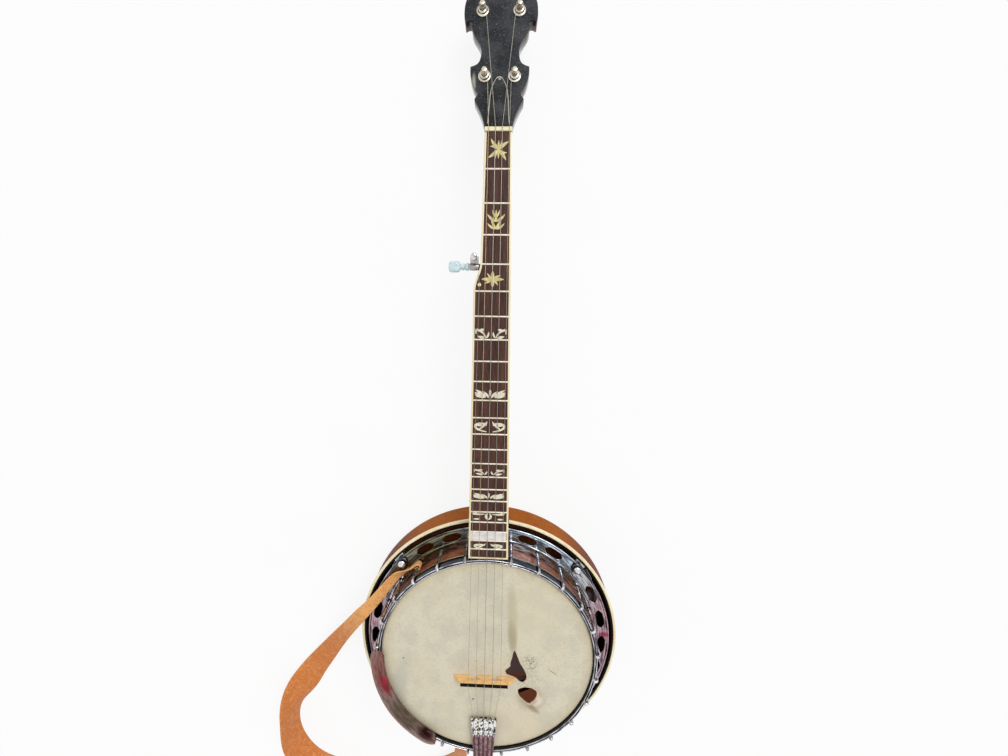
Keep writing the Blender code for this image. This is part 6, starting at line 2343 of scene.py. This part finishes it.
            found = self.pair(
                lambda m: [
                    *(leaf(0.30 * m, -0.6, t * m, r, 0.19, 16.0 * m) for t, r in feathers),
                    leaf(0.26 * m, -0.7, 92.0 * m, 0.72, 0.17, -24.0 * m),
                    leaf(0.10 * m, -0.9, 8.0 * m, 1.3, 0.16, 22.0 * m),
                ]
            )
            return found + [leaf(0.0, 0.7, 180.0, 1.4, 0.16)]
        return self.pair(
            lambda m: [
                scroll(0.20 * m, -0.85, 66.0 * m, 2.5, 0.15, -300.0 * m),
                leaf(0.16 * m, 0.85, 165.0 * m, 1.6, 0.14, -20.0 * m),
                leaf(0.52 * m, 0.1, 40.0 * m, 0.6, 0.17, 60.0 * m),
            ]
        )

    @staticmethod
    def pair(make: Callable[[float], list[tuple]]) -> list[tuple]:
        """The strokes of a figure's right and left halves."""
        return make(1.0) + make(-1.0)

    def add_stroke(self, bm: bmesh.types.BMesh, inlay: Inlay, stroke: tuple, lift: float) -> None:
        """Adds one stroke of a figure as a thin plate set in the board.

        Args:
            bm: the mesh that gets it.
            inlay: the figure.
            stroke: the path and its half widths.
            lift: its top's height over the board.
        """
        path, widths = stroke
        middle_x, half_x = (inlay.x0 + inlay.x1) / 2, (inlay.x1 - inlay.x0) / 2
        middle_s, half_s = (inlay.s0 + inlay.s1) / 2, (inlay.s1 - inlay.s0) / 2
        reach = math.sqrt(half_x * half_s) * (0.68 if inlay.warm else 0.80)
        points = []
        for u, v in path:
            x = middle_x + max(-1.0, min(1.0, u)) * half_x
            s = middle_s - max(-1.0, min(1.0, v)) * half_s
            points.append(Vector((x, BOARD_LENGTH - s, 0.0)))
        rings = []
        for i, (point, width) in enumerate(zip(points, widths)):
            ahead = points[min(i + 1, len(points) - 1)] - points[max(i - 1, 0)]
            if ahead.length < 1e-6:
                continue
            side = Vector((-ahead.y, ahead.x, 0.0)).normalized() * max(width * reach, 0.12)
            low, high = Vector((0, 0, -0.25)), Vector((0, 0, lift))
            rings.append([point - side + low, point + side + low, point + side + high, point - side + high])
        if len(rings) > 1:
            add_loft(bm, rings)

    def build_inlays(self) -> None:
        """The shell figures, warm toward the nut and paler below, and the bare block."""
        for warm, name, finish in (
            (True, "shell_figures_upper", SHELL_WARM), (False, "shell_figures_lower", SHELL_COOL)
        ):
            bm = bmesh.new()
            for inlay in self.inlays:
                if inlay.warm is warm:
                    for number, stroke in enumerate(self.strokes(inlay.motif)):
                        self.add_stroke(bm, inlay, stroke, self.shell_rise + 0.004 * number)
            dress(place(object_from(name, bm), neck_matrix()), finish)
        s0, s1, x0, x1 = self.block
        d0, d1 = BOARD_LENGTH - s1, BOARD_LENGTH - s0
        block = place(
            prism("shell_block_plain", [(x0, d0), (x1, d0), (x1, d1), (x0, d1)], -0.3, 0.08), neck_matrix()
        )
        dress(block, SHELL_BLOCK)

    def build_binding(self) -> None:
        """The cream strip round the board's sides and lower end, with its edge rounded."""
        end = BOARD_LENGTH
        outer = board_outline(0.0, 0.0, end)
        inner = board_outline(self.binding, 0.0, end - self.binding)
        strip = outer + inner[::-1]
        made = place(prism("board_cream_binding", strip, -BOARD_THICK, 0.06), neck_matrix())
        dress(bevelled(made, 0.25), IVOROID, nodes=["fretboard_binding"])
        bm = bmesh.new()
        for number in (3, 5, 7, 10, 12, 15, 17):
            s = (fret_s(number) + fret_s(number - 1)) / 2
            x = board_left(s)
            path = [Vector((x - 0.06, end - s, -2.2)), Vector((x + 0.5, end - s, -2.2))]
            add_loft(bm, swept(path, [1.0, 1.0], 20, Vector((0, 0, 1))))
        dress(place(object_from("side_dots", bm), neck_matrix()), COVER_LACQUER)

    def build_nut(self) -> None:
        """The nut, with a slot for each string and a crowned top."""
        left, right, d = NUT_LEFT, NUT_RIGHT, BOARD_LENGTH + 0.3
        marks = sorted(x + o for x in self.string_x for o in (-0.75, -0.42, 0.0, 0.42, 0.75))
        rings = []
        for x in sorted([left, left + 0.5, right - 0.5, right, *marks]):
            near = min(abs(x - s) for s in self.string_x)
            high = self.nut_h + 0.6 - (0.75 if near < 0.5 else 0.0)
            if x in (left, right):
                high -= 0.7
            rings.append([
                Vector((x, d, -BOARD_THICK)), Vector((x, d, high - 0.4)), Vector((x, d + 0.5, high)),
                Vector((x, d + self.nut_thick * 0.5, high - 0.1)),
                Vector((x, d + self.nut_thick - 0.7, high - 1.5)),
                Vector((x, d + self.nut_thick, high - 2.2)), Vector((x, d + self.nut_thick, -BOARD_THICK)),
            ])
        dress(place(loft("nut_slotted", rings), neck_matrix()), BONE, nodes=["nut"])

    def build_small_parts(self) -> None:
        """The fifth string's pip and the capo spikes."""
        pip = [(1.3, -2.2), (2.0, -1.6), (2.0, 1.0), (1.9, 1.5), (1.5, 1.9), (0.8, 2.0)]
        made = lathe("fifth_pip", pip, 32, sharp=60)
        slot = prism("pip_slot", [(-0.3, -4), (0.3, -4), (0.3, 4), (-0.3, 4)], 1.75, 4.0)
        made = combined(made, slot, "DIFFERENCE")
        spot = Matrix.Translation((PIP_X, BOARD_LENGTH - (fret_s(5) - PIP_RISE), 0.0))
        dress(place(made, neck_matrix() @ spot), BONE, nodes=["fifth_string_nut"])
        for index in (1, 2, 3):
            keep(f"capo_spike_{index}", GREY_STEEL)


@dataclass
class Neck:
    """The neck with its heel and peghead core."""

    depth_nut: float = 14.5
    depth_body: float = 19.0
    heel_depth: float = 64.0
    heel_run: float = 55.0
    rim_r: float = 140.0
    ledge_z: float = 89.4
    around_it: int = 30

    def depth(self, s: float) -> float:
        """The neck's depth below the board.

        Args:
            s: the distance from the nut.

        Returns:
            The depth.
        """
        heel_s = BOARD_LENGTH - self.heel_run - 8.0
        plain = self.depth_nut + (self.depth_body - self.depth_nut) * min(max(s / heel_s, 0.0), 1.0)
        if s <= heel_s:
            return plain
        share = min((s - heel_s) / self.heel_run, 1.0)
        return plain + (self.heel_depth - plain) * (share**1.6) * (1.6 - 0.6 * share)

    def ring(self, s: float) -> list[Vector]:
        """A D-shaped section.

        Args:
            s: the distance from the nut.

        Returns:
            Its points.
        """
        at = min(max(s, 0.0), BOARD_LENGTH)
        left, right = board_left(at), board_right(at)
        top, side, depth = -BOARD_THICK - 0.3, 2.5, self.depth(s)
        middle, half, d = (left + right) / 2, (right - left) / 2, BOARD_LENGTH - s
        ring = [Vector((left, d, top)), Vector((right, d, top))]
        for i in range(self.around_it + 1):
            angle = math.pi * i / self.around_it
            x = middle + half * math.copysign(abs(math.cos(angle)) ** 0.85, math.cos(angle))
            ring.append(Vector((x, d, top - side - (depth - side) * math.sin(angle) ** 0.85)))
        return ring

    def build(self) -> None:
        """The neck's loft, joined to the peghead and cut to the pot."""
        flare = fret_s(5)
        heel = BOARD_LENGTH - self.heel_run - 7.0
        spots = [
            *np.linspace(-5.6, flare - FLARE_LONG - 2.0, 12), *np.linspace(flare - FLARE_LONG, flare, 18)
        ]
        spots += [*np.linspace(flare + 10.0, heel - 2.0, 18), *np.linspace(heel, BOARD_LENGTH + 9.0, 44)]
        neck = place(loft("neck_carved", [self.ring(float(s)) for s in spots], sharp=45), neck_matrix())
        core = bevelled(prism("peghead_core", Peghead().outline(0.0, -3.0), -15.0, -2.3), 0.9)
        neck = combined(neck, place(core, peg_matrix()), "UNION")
        cutter = lathe(
            "pot_cutter", [
                (self.rim_r, 10.0), (self.rim_r, self.ledge_z), (145.3, self.ledge_z), (145.3, 129.0)
            ], 256
        )
        neck = combined(neck, cutter, "DIFFERENCE")
        slot = [(PEG_X - 3.2, BOARD_LENGTH - 40.0), (PEG_X + 3.2, BOARD_LENGTH - 40.0),
                (PEG_X + 3.2, BOARD_LENGTH + 27.0), (PEG_X - 3.2, BOARD_LENGTH + 27.0)]
        trough = place(prism("truss_trough", slot, -13.0, 0.0), neck_matrix())
        neck = combined(neck, trough, "DIFFERENCE")
        dress(neck, NECK_WOOD, nodes=["neck"])
        keep("truss_rod", BLACK_STEEL)


@dataclass
class Peghead:
    """The black peghead face with its cover, and four tuners through it."""

    half: tuple[tuple[float, float], ...] = (
        (14.9, -3.0), (15.8, 4.0), (18.5, 14.0), (21.8, 22.0), (24.8, 28.0), (27.3, 32.5), (24.5, 36.5),
        (24.3, 40.5), (27.2, 45.0), (30.2, 52.0), (32.2, 61.0), (32.5, 68.5), (27.8, 70.2), (24.3, 72.6),
        (22.2, 76.5), (20.8, 84.4), (21.9, 92.5), (25.6, 100.0), (29.6, 106.5), (31.7, 113.5), (30.6, 118.0),
        (34.0, 120.8), (39.2, 118.5), (40.6, 127.0), (40.2, 137.0), (38.5, 144.0), (34.5, 151.0),
        (27.5, 155.5), (20.5, 155.5), (15.0, 152.5), (9.5, 156.5), (0.0, 161.0),
    )
    corners: tuple[int, ...] = (5, 11, 20, 22)
    cover: tuple[tuple[float, float], ...] = (
        (14.3, 1.2), (12.6, 30.0), (11.6, 38.0), (9.3, 46.0), (5.5, 53.5), (0.0, 60.0)
    )
    tuners: tuple[tuple[float, float], ...] = ((-16.4, 57.0), (-20.2, 130.6), (20.2, 130.6), (16.4, 57.0))
    post_h: float = 12.0
    button_back: float = 44.0

    def outline(self, inset: float, start: float) -> Outline:
        """The peghead's outline, smooth between its corners.

        Args:
            inset: how far it is drawn in at the sides.
            start: where its foot is cut.

        Returns:
            Points all the way round.
        """
        half: Outline = []
        cuts = [0, *self.corners, len(self.half) - 1]
        for first, last in zip(cuts, cuts[1:]):
            part = smooth_path(self.half[first : last + 1], 4)
            half += [(float(p[0]), float(p[1])) for p in part[:-1]]
        half.append(self.half[-1])
        shaped = [(max(x - inset, 0.0), max(v, start)) for x, v in half]
        return self.mirrored(shaped)

    @staticmethod
    def mirrored(half: Sequence[Point]) -> Outline:
        """Half an outline with its mirror image about the peghead's line."""
        return [(PEG_X + x, v) for x, v in half] + [(PEG_X - x, v) for x, v in half[-2::-1]]

    def build(self) -> None:
        """Builds the face, the cover and the tuners."""
        overlay = prism("peghead_face", self.outline(0.25, -3.0), -2.0, 0.0)
        slot = [(PEG_X - 4.7, -4.5), (PEG_X + 4.7, -4.5), (PEG_X + 4.7, 34.0), (PEG_X - 4.7, 34.0)]
        overlay = combined(overlay, prism("pocket_cutter", slot, -6.0, 4.0), "DIFFERENCE")
        overlay = bevelled(overlay, 0.5)
        for x, v in self.tuners:
            hole = place(
                lathe("peg_bore", [(5.8, -6.0), (5.8, 4.0)], 32), Matrix.Translation((PEG_X + x, v, 0.0))
            )
            overlay = combined(overlay, hole, "DIFFERENCE")
        dress(place(overlay, peg_matrix()), BLACK_LACQUER, nodes=["peghead_overlay"])
        self.build_cover()
        for index, (x, v) in enumerate(self.tuners, start=1):
            self.build_tuner(index, peg_matrix() @ Matrix.Translation((PEG_X + x, v, 0.0)))

    def build_cover(self) -> None:
        """The truss rod's cover, its pale line and its screw."""
        outline = self.mirrored([tuple(p) for p in smooth_path(self.cover, 4)])
        cover = bevelled(prism("rod_cover", outline, 0.3, 2.1), 0.45)
        dress(place(cover, peg_matrix()), COVER_LACQUER, nodes=["truss_rod_cover"])
        rings = []
        for (x, v), (nx, nv) in zip(self.line(2.2), self.line(3.0)):
            rings.append(
                [Vector((x, v, 1.9)), Vector((x, v, 2.14)), Vector((nx, nv, 2.14)), Vector((nx, nv, 1.9))]
            )
        dress(place(loft("cover_pale_line", rings), peg_matrix()), COVER_LINE)
        bm = bmesh.new()
        head = [(1.9, 2.0), (1.8, 2.5), (1.2, 2.9), (0.4, 3.0)]
        add_loft(bm, [[Vector((PEG_X, 53.0, 0)) + p for p in turned_ring(r, z, 24)] for r, z in head])
        dress(place(object_from("cover_screw", bm), peg_matrix()), BLACK_STEEL)

    def line(self, inset: float) -> Outline:
        """The cover's outline drawn in evenly."""
        half = [(x - inset * (1.0 if v < 40 else 0.8), v) for x, v in smooth_path(self.cover, 4)]
        return self.mirrored([(max(x, 0.0), min(max(v, 1.2 + inset), 60.0 - inset * 1.9)) for x, v in half])

    def build_tuner(self, index: int, spot: Matrix) -> None:
        """One tuner: its housing and washer, its post and its rear button.

        Args:
            index: its number.
            spot: its place and turn.
        """
        washer = [
            (3.2, -25.3), (8.1, -25.3), (8.5, -24.8), (8.5, -15.8), (8.1, -15.3), (5.2, -15.3), (5.2, 0.3),
            (6.8, 0.3), (7.0, 0.5), (7.0, 1.3), (6.6, 1.7), (5.6, 1.9), (5.3, 2.4), (5.2, 3.6), (4.9, 4.2),
            (4.4, 4.6), (3.2, 4.6),
        ]
        housing = lathe(f"tuner_case_{index}", washer, 64, closed=True, sharp=45)
        dress(place(housing, spot), NICKEL, nodes=[f"tuner_housing_{index}"])
        rows = [
            (2.8, -20.3), (2.8, 4.8), (2.75, 5.6), (2.35, 6.6), (2.3, 8.0), (2.45, 9.6), (2.8, 10.6),
            (2.8, 11.3), (2.5, 11.8), (1.6, 12.0), (0.4, 12.05),
        ]
        post = lathe(f"string_post_{index}", rows, 40, sharp=50)
        bore = place(
            lathe("post_bore", [(0.55, -6.0), (0.55, 6.0)], 16),
            axis_matrix((0.0, 0.0, 9.4), (1.0, 0.0, 0.0))
        )
        post = combined(post, bore, "DIFFERENCE")
        node = f"tuner_post_{index}"
        dress(place(post, spot), NICKEL, f"{node}_body", [node])
        collar = -self.button_back + 12.5
        rings = [
            turned_ring(2.8, -20.6, 40), turned_ring(2.8, collar + 0.3, 40), turned_ring(3.3, collar, 40)
        ]
        for share, size in (
            (0.03, 0.38), (0.08, 0.55), (0.18, 0.78), (0.34, 0.95), (0.52, 1.0), (0.7, 0.94), (0.84, 0.78),
            (0.94, 0.55), (0.985, 0.3), (1.0, 0.1),
        ):
            spots = [(10.5 * size * math.cos(a), 6.25 * size * math.sin(a)) for a in full_turn(40)]
            rings.append([Vector((x, y, collar - 12.5 * share)) for x, y in spots])
        node = f"tuner_button_{index}"
        dress(
            place(loft(f"rear_button_{index}", rings, sharp=60), spot), BUTTON_CREAM, f"{node}_body", [node]
        )


@dataclass
class FifthPeg:
    """The fifth string's geared peg in the neck's side."""

    collar_x: float = -29.0
    y: float = 497.98
    z: float = 81.31
    post_x: float = -22.6
    post_y: float = 507.98
    case_half: float = 4.6

    def build(self) -> None:
        """The turned shank with its case, the post and the pearl button."""
        rows = [
            (2.2, 0.0), (3.4, 0.0), (3.7, 0.4), (4.2, 1.6), (4.3, 2.2), (3.9, 2.7), (4.1, 3.1), (4.3, 3.6),
            (4.3, 5.0), (4.15, 7.5), (3.9, 11.0), (3.5, 12.4), (3.0, 13.0), (3.0, 20.0), (2.2, 20.0),
        ]
        shank = lathe("fifth_shank", rows, 48, closed=True, sharp=50)
        place(shank, axis_matrix((self.collar_x, self.y, self.z), (1, 0, 0)))
        half, low, high = self.case_half, self.z - 3.5, self.z + 5.0
        near = self.y + 3.3
        outline = [(self.post_x - half, near), (self.post_x + half, near)]
        for i in range(13):
            angle = math.pi * i / 12
            outline.append((self.post_x + half * math.cos(angle), self.post_y + half * math.sin(angle)))
        case = bevelled(prism("fifth_case", outline, low, high), 0.6)
        bore = place(
            lathe("case_bore", [(2.7, 1.5), (2.7, 14.0)], 24),
            Matrix.Translation((self.post_x, self.post_y, low))
        )
        case = combined(case, bore, "DIFFERENCE")
        dress(merged("fifth_geared_shank", [shank, case]), GREY_STEEL, nodes=["fifth_peg_housing"])
        rows = [
            (2.4, 0.0), (2.4, 7.5), (2.2, 8.6), (1.85, 10.6), (1.85, 13.4), (2.1, 14.9), (3.2, 15.3),
            (3.85, 15.8), (3.9, 16.6), (3.6, 17.2), (2.6, 17.7), (0.6, 17.8),
        ]
        post = place(
            lathe("fifth_post", rows, 40, sharp=50), Matrix.Translation((self.post_x, self.post_y, low + 1.8))
        )
        dress(post, CHROME, Body.FIFTH_POST.value, ["fifth_peg_post"])
        self.build_button()

    def build_button(self) -> None:
        """The button: a turned collar, then a squarish pearl grip."""
        rings = []
        for radius, x in (
            (1.9, -14.0), (1.9, 0.3), (4.1, 0.3), (4.4, 0.6), (4.4, 2.9), (4.1, 3.2), (3.1, 4.2),
            (3.1, 4.8), (3.8, 5.4), (4.0, 5.9), (4.0, 8.0), (3.7, 8.5), (2.8, 9.2),
        ):
            rings.append(turned_ring(radius, -x, 48))
        for share, size in (
            (0.02, 0.42), (0.05, 0.66), (0.12, 0.88), (0.25, 0.98), (0.5, 1.0), (0.75, 0.99), (0.88, 0.92),
            (0.95, 0.78), (0.99, 0.5), (1.0, 0.2),
        ):
            ring = []
            for a in full_turn(48):
                c, s = math.cos(a), math.sin(a)
                reach = (abs(c) ** 3.2 + abs(s) ** 3.2) ** (-1 / 3.2)
                ring.append(Vector((6.5 * size * c * reach, 4.5 * size * s * reach, -9.4 - 14.0 * share)))
            rings.append(ring)
        turn = Matrix.Rotation(math.radians(90.0), 4, "Y") @ Matrix.Rotation(math.radians(90.0), 4, "Z")
        button = loft("fifth_pearl_button", rings, sharp=60)
        place(button, Matrix.Translation((self.collar_x, self.y, self.z)) @ turn)
        dress(button, PEARL_BUTTON, Body.FIFTH_BUTTON.value, ["fifth_peg_button"])


@dataclass
class Strings:
    """The five strings, from their hooks over the bridge and nut to the turns on their posts."""

    radii: tuple[float, ...] = (0.28, 0.36, 0.30, 0.22, 0.22)
    x_nut: tuple[float, ...] = (-8.8, -1.3, 6.2, 13.7)
    x_bridge: tuple[float, ...] = (-12.3, -1.6, 9.1, 19.8, -23.0)
    x_tail: tuple[float, ...] = (-8.6, -1.8, 5.0, 11.8, -15.4)
    bridge_y: float = -28.5
    bridge_z: float = 120.5
    plate_z: float = 114.0
    pin_y: float = -107.5
    front_y: float = -87.3
    lift: float = 0.35
    turns: float = 2.5
    points_per_turn: int = 28
    wound: tuple[int, ...] = (0,)

    def winding(
        self, center: Vector, axis: Vector, arrive: Vector, radius: float, wire: float, spin: float
    ) -> list[Vector]:
        """The string's turns down a post.

        Args:
            center: the middle of the first turn.
            axis: the post's direction.
            arrive: the last point before the post.
            radius: the turns' radius.
            wire: the string's radius.
            spin: the way round.

        Returns:
            Points along the turns.
        """
        toward = arrive - center
        flat = toward - axis * toward.dot(axis)
        reach = math.acos(min(radius / flat.length, 1.0))
        first = flat.normalized()
        second = axis.cross(first) * spin
        drop = (2 * wire + 0.5) / self.points_per_turn
        points = []
        for i in range(int(self.turns * self.points_per_turn) + 1):
            angle = -reach - i * 2 * math.pi / self.points_per_turn
            spoke = first * math.cos(angle) + second * math.sin(angle)
            points.append(center + spoke * radius - axis * (drop * i))
        return points

    def build(self) -> None:
        """Builds the five strings."""
        peg = Peghead()
        fifth = FifthPeg()
        for index, wire in enumerate(self.radii):
            lift = self.lift + wire
            tail_x = self.x_tail[index]
            path = [
                Vector((tail_x, self.pin_y + 0.6, self.plate_z + 0.9 + lift)),
                Vector((tail_x, self.front_y, self.plate_z + lift + 0.3)),
                Vector((self.x_bridge[index], self.bridge_y, self.bridge_z + lift)),
            ]
            if index < 4:
                path.append(neck_world(self.x_nut[index], -1.5, 1.3 + lift))
                path.append(neck_world(self.x_nut[index], -5.6, lift))
                x, v = peg.tuners[index]
                center = peg_matrix() @ Vector((PEG_X + x, v, peg.post_h - 2.6))
                axis = (peg_matrix().to_3x3() @ Vector((0, 0, 1))).normalized()
                spin, radius = (-1.0 if x < 0 else 1.0), 2.8 + wire + self.lift
            else:
                path.append(neck_world(PIP_X, fret_s(5) - PIP_RISE, 2.0 + lift))
                center = Vector((fifth.post_x, fifth.post_y, fifth.z + 10.4))
                axis, spin, radius = Vector((0, 0, 1)), -1.0, 2.4 + wire + self.lift
            path += self.winding(center, axis, path[-1], radius, wire, spin)
            made = loft(f"wire_{index + 1}", swept(path, [wire] * len(path), 10), sharp=80)
            dress(made, WOUND_WIRE if index in self.wound else PLAIN_WIRE, nodes=[f"string_{index + 1}"])


# The strap's route as the part's source gives it: how far past the resonator's edge its middle is,
# the angle, its height as a share of its eyes', half its width, and its tilt in degrees
STRAP_ROUTE = (
    (-27.3, -43.8, 1.000, 6, 84), (-25.7, -47.5, 0.993, 6.2, 58), (-20.8, -53.2, 0.977, 6.4, 24),
    (-17.6, -62.6, 0.964, 6.8, 0), (-9.8, -72.4, 0.964, 8, 0), (3.6, -80.6, 0.943, 9.3, -20),
    (24.9, -91.0, 0.686, 10.8, -30), (51.8, -99.5, 0.414, 12.6, -22), (83.6, -106.3, 0.200, 15.3, -8),
    (119.9, -111.6, 0.093, 19, 6), (151.9, -115.5, 0.229, 25, 38), (182.1, -120.3, 0.357, 25, 75),
    (207.8, -126.6, 0.360, 25, 80), (215.7, -133.9, 0.350, 24, 75), (204.0, -141.1, 0.279, 21, 62),
    (177.9, -148.3, 0.150, 16.5, 34), (152.2, -156.3, 0.071, 14, 8), (126.7, -162.6, 0.071, 13, 0),
    (98.4, -167.5, 0.143, 12, 0), (63.7, -169.8, 0.400, 11, 0), (32.2, -169.7, 0.771, 10, 0),
    (9.7, -169.1, 0.956, 9, 10), (-12.5, -169.6, 0.993, 7, 60),
)


@dataclass
class Strap:
    """The suede strap, tied round two hooks."""

    thick: float = 1.8
    lift: float = 0.2
    outer_r: float = 178.2
    hook_r: float = 147.2
    hooks: tuple[float, float] = (-40.35, -170.85)
    eye_r: float = 3.6
    eye_z: float = 70.0
    eye_half: float = 6.0
    across: int = 12

    def eye(self, degrees: float, toward: Point, spin: float) -> list[tuple]:
        """A loop round a hook's rod, ending where it leaves toward the strap.

        Args:
            degrees: the hook's angle.
            toward: the strap's nearest point.
            spin: the way round.

        Returns:
            Rows of place, half width and tilt.
        """
        center = polar(self.hook_r, degrees)
        leave = math.atan2(toward[1] - center.y, toward[0] - center.x) - spin * math.pi / 2
        points = []
        for i in range(25):
            angle = leave - spin * math.radians(270.0) * (1.0 - i / 24)
            x, y = center.x + self.eye_r * math.cos(angle), center.y + self.eye_r * math.sin(angle)
            points.append((x, y, self.eye_z, self.eye_half, 90.0))
        return points

    def section(self, half: float) -> Outline:
        """The strap's section: flat, with rounded edges.

        Args:
            half: half its width.

        Returns:
            Points across and up.
        """
        t = self.thick / 2
        flat = half - t * 0.8
        top = [(u, t) for u in np.linspace(-flat, flat, self.across)]
        right = [(half, t * 0.45), (half, -t * 0.45)]
        under = [(u, -t) for u in np.linspace(flat, -flat, self.across)]
        left = [(-half, -t * 0.45), (-half, t * 0.45)]
        return top + right + under + left

    def build(self) -> None:
        """The strap's loft along its route."""
        route = []
        for beyond, degrees, share, half, tilt in STRAP_ROUTE:
            route.append((*polar(self.outer_r + beyond, degrees, share * self.eye_z), half, tilt))
        first, last = self.eye(self.hooks[0], route[0], 1.0), self.eye(self.hooks[1], route[-1], -1.0)
        rows = first + smooth_path(route, 8) + last[::-1]
        rings = []
        for i, row in enumerate(rows):
            before = np.array(rows[max(i - 1, 0)][:2], float)
            after = np.array(rows[min(i + 1, len(rows) - 1)][:2], float)
            heading = (after - before) / np.hypot(*(after - before))
            x, y, z, half, tilt = (float(v) for v in row)
            tilt = math.radians(tilt)
            wide = Vector((heading[1], -heading[0], 0.0)) * math.cos(tilt)
            wide += Vector((0.0, 0.0, math.sin(tilt)))
            normal = Vector((heading[0], heading[1], 0.0)).cross(wide).normalized()
            drop = half * abs(wide.z) + abs(normal.z) * self.thick / 2
            middle = Vector((x, y, max(z, drop + self.lift)))
            rings.append([middle + wide * u + normal * v for u, v in self.section(half)])
        dress(loft("suede_strap", rings, sharp=70), SUEDE, nodes=["strap"])


@dataclass
class Studio:
    """The pale floor, the plain light and the camera."""

    focal_px: float = 478.69
    width_px: float = 1008.0
    sensor: float = 36.0
    eye: tuple[float, float, float] = (15.29, 444.62, 655.45)
    turn: tuple[float, float, float] = (-0.2123, 0.0444, 0.0154)
    shift: tuple[float, float] = (0.0193, 0.0398)
    sky: float = 0.62
    sun: float = 1.35
    floor_white: float = 0.86

    def build(self) -> None:
        """Sets up the camera, the light and the floor."""
        self.build_camera()
        self.build_light()
        self.build_floor()

    def build_camera(self) -> None:
        """The camera at the photograph's place."""
        data = bpy.data.cameras.new("camera")
        data.sensor_width = self.sensor
        data.lens = self.focal_px / self.width_px * self.sensor
        data.shift_x, data.shift_y = self.shift
        data.clip_start, data.clip_end = 0.01, 50.0
        camera = linked("camera", data)
        camera.location = [v * MM for v in self.eye]
        camera.rotation_euler = Euler(self.turn)
        bpy.context.scene.camera = camera

    def build_light(self) -> None:
        """An even sky and one soft sun."""
        world = bpy.data.worlds.new("studio")
        bpy.context.scene.world = world
        board = Board(world)
        board.feed("Color", (1.0, 1.0, 1.0))
        board.feed("Strength", self.sky + (1.0 - self.sky) * board.seen_as_white())
        lamp = bpy.data.lights.new("soft_sun", "SUN")
        lamp.energy = self.sun
        lamp.angle = math.radians(35.0)
        sun = linked("soft_sun", lamp)
        sun.rotation_euler = Euler((math.radians(-32.0), math.radians(24.0), 0.0))

    def build_floor(self) -> None:
        """A pale floor that keeps the banjo's shadow."""
        bm = bmesh.new()
        bmesh.ops.create_grid(bm, x_segments=1, y_segments=1, size=6000.0)
        floor = object_from("floor", bm)
        floor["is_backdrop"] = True
        board = Board(bpy.data.materials.new("pale_floor"))
        cloud = board.step(board.noise(120.0, 3.0), 0.3, 0.7)
        board.feed("Base Color", board.mix(cloud, (0.86, 0.86, 0.86), (0.89, 0.89, 0.89)))
        board.feed("Roughness", 0.8)
        mixed = board.add("ShaderNodeMixShader", {}, {0: board.seen_as_white() * self.floor_white})
        glow = board.add("ShaderNodeEmission", {}, {})
        board.join(board.shader.outputs[0], mixed.inputs[1])
        board.join(glow.outputs[0], mixed.inputs[2])
        board.join(mixed.outputs[0], board.nodes["Material Output"].inputs[0])
        floor.data.materials.append(board.material)
        bpy.context.scene.view_settings.view_transform = "Standard"


def corners(box: tuple[Vector, Vector]) -> list[list[float]]:
    """A box as plain lists of numbers."""
    return [list(point) for point in box]


def main() -> None:
    """Builds the studio and every sub-assembly."""
    logging.basicConfig(level=logging.INFO, format="%(message)s")
    Studio().build()
    for assembly in (
        Drum(), FlangeRing(), Resonator(), Tailpiece(), Armrest(), Bridge(), Neck(), Fretboard(), Peghead(),
        FifthPeg(), Strings(), Strap(),
    ):
        LOG.info("building %s", type(assembly).__name__)
        assembly.build()
    {"cad": corners(CAD_BOX), "scene": corners(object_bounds())}


if __name__ == "__main__":
    main()
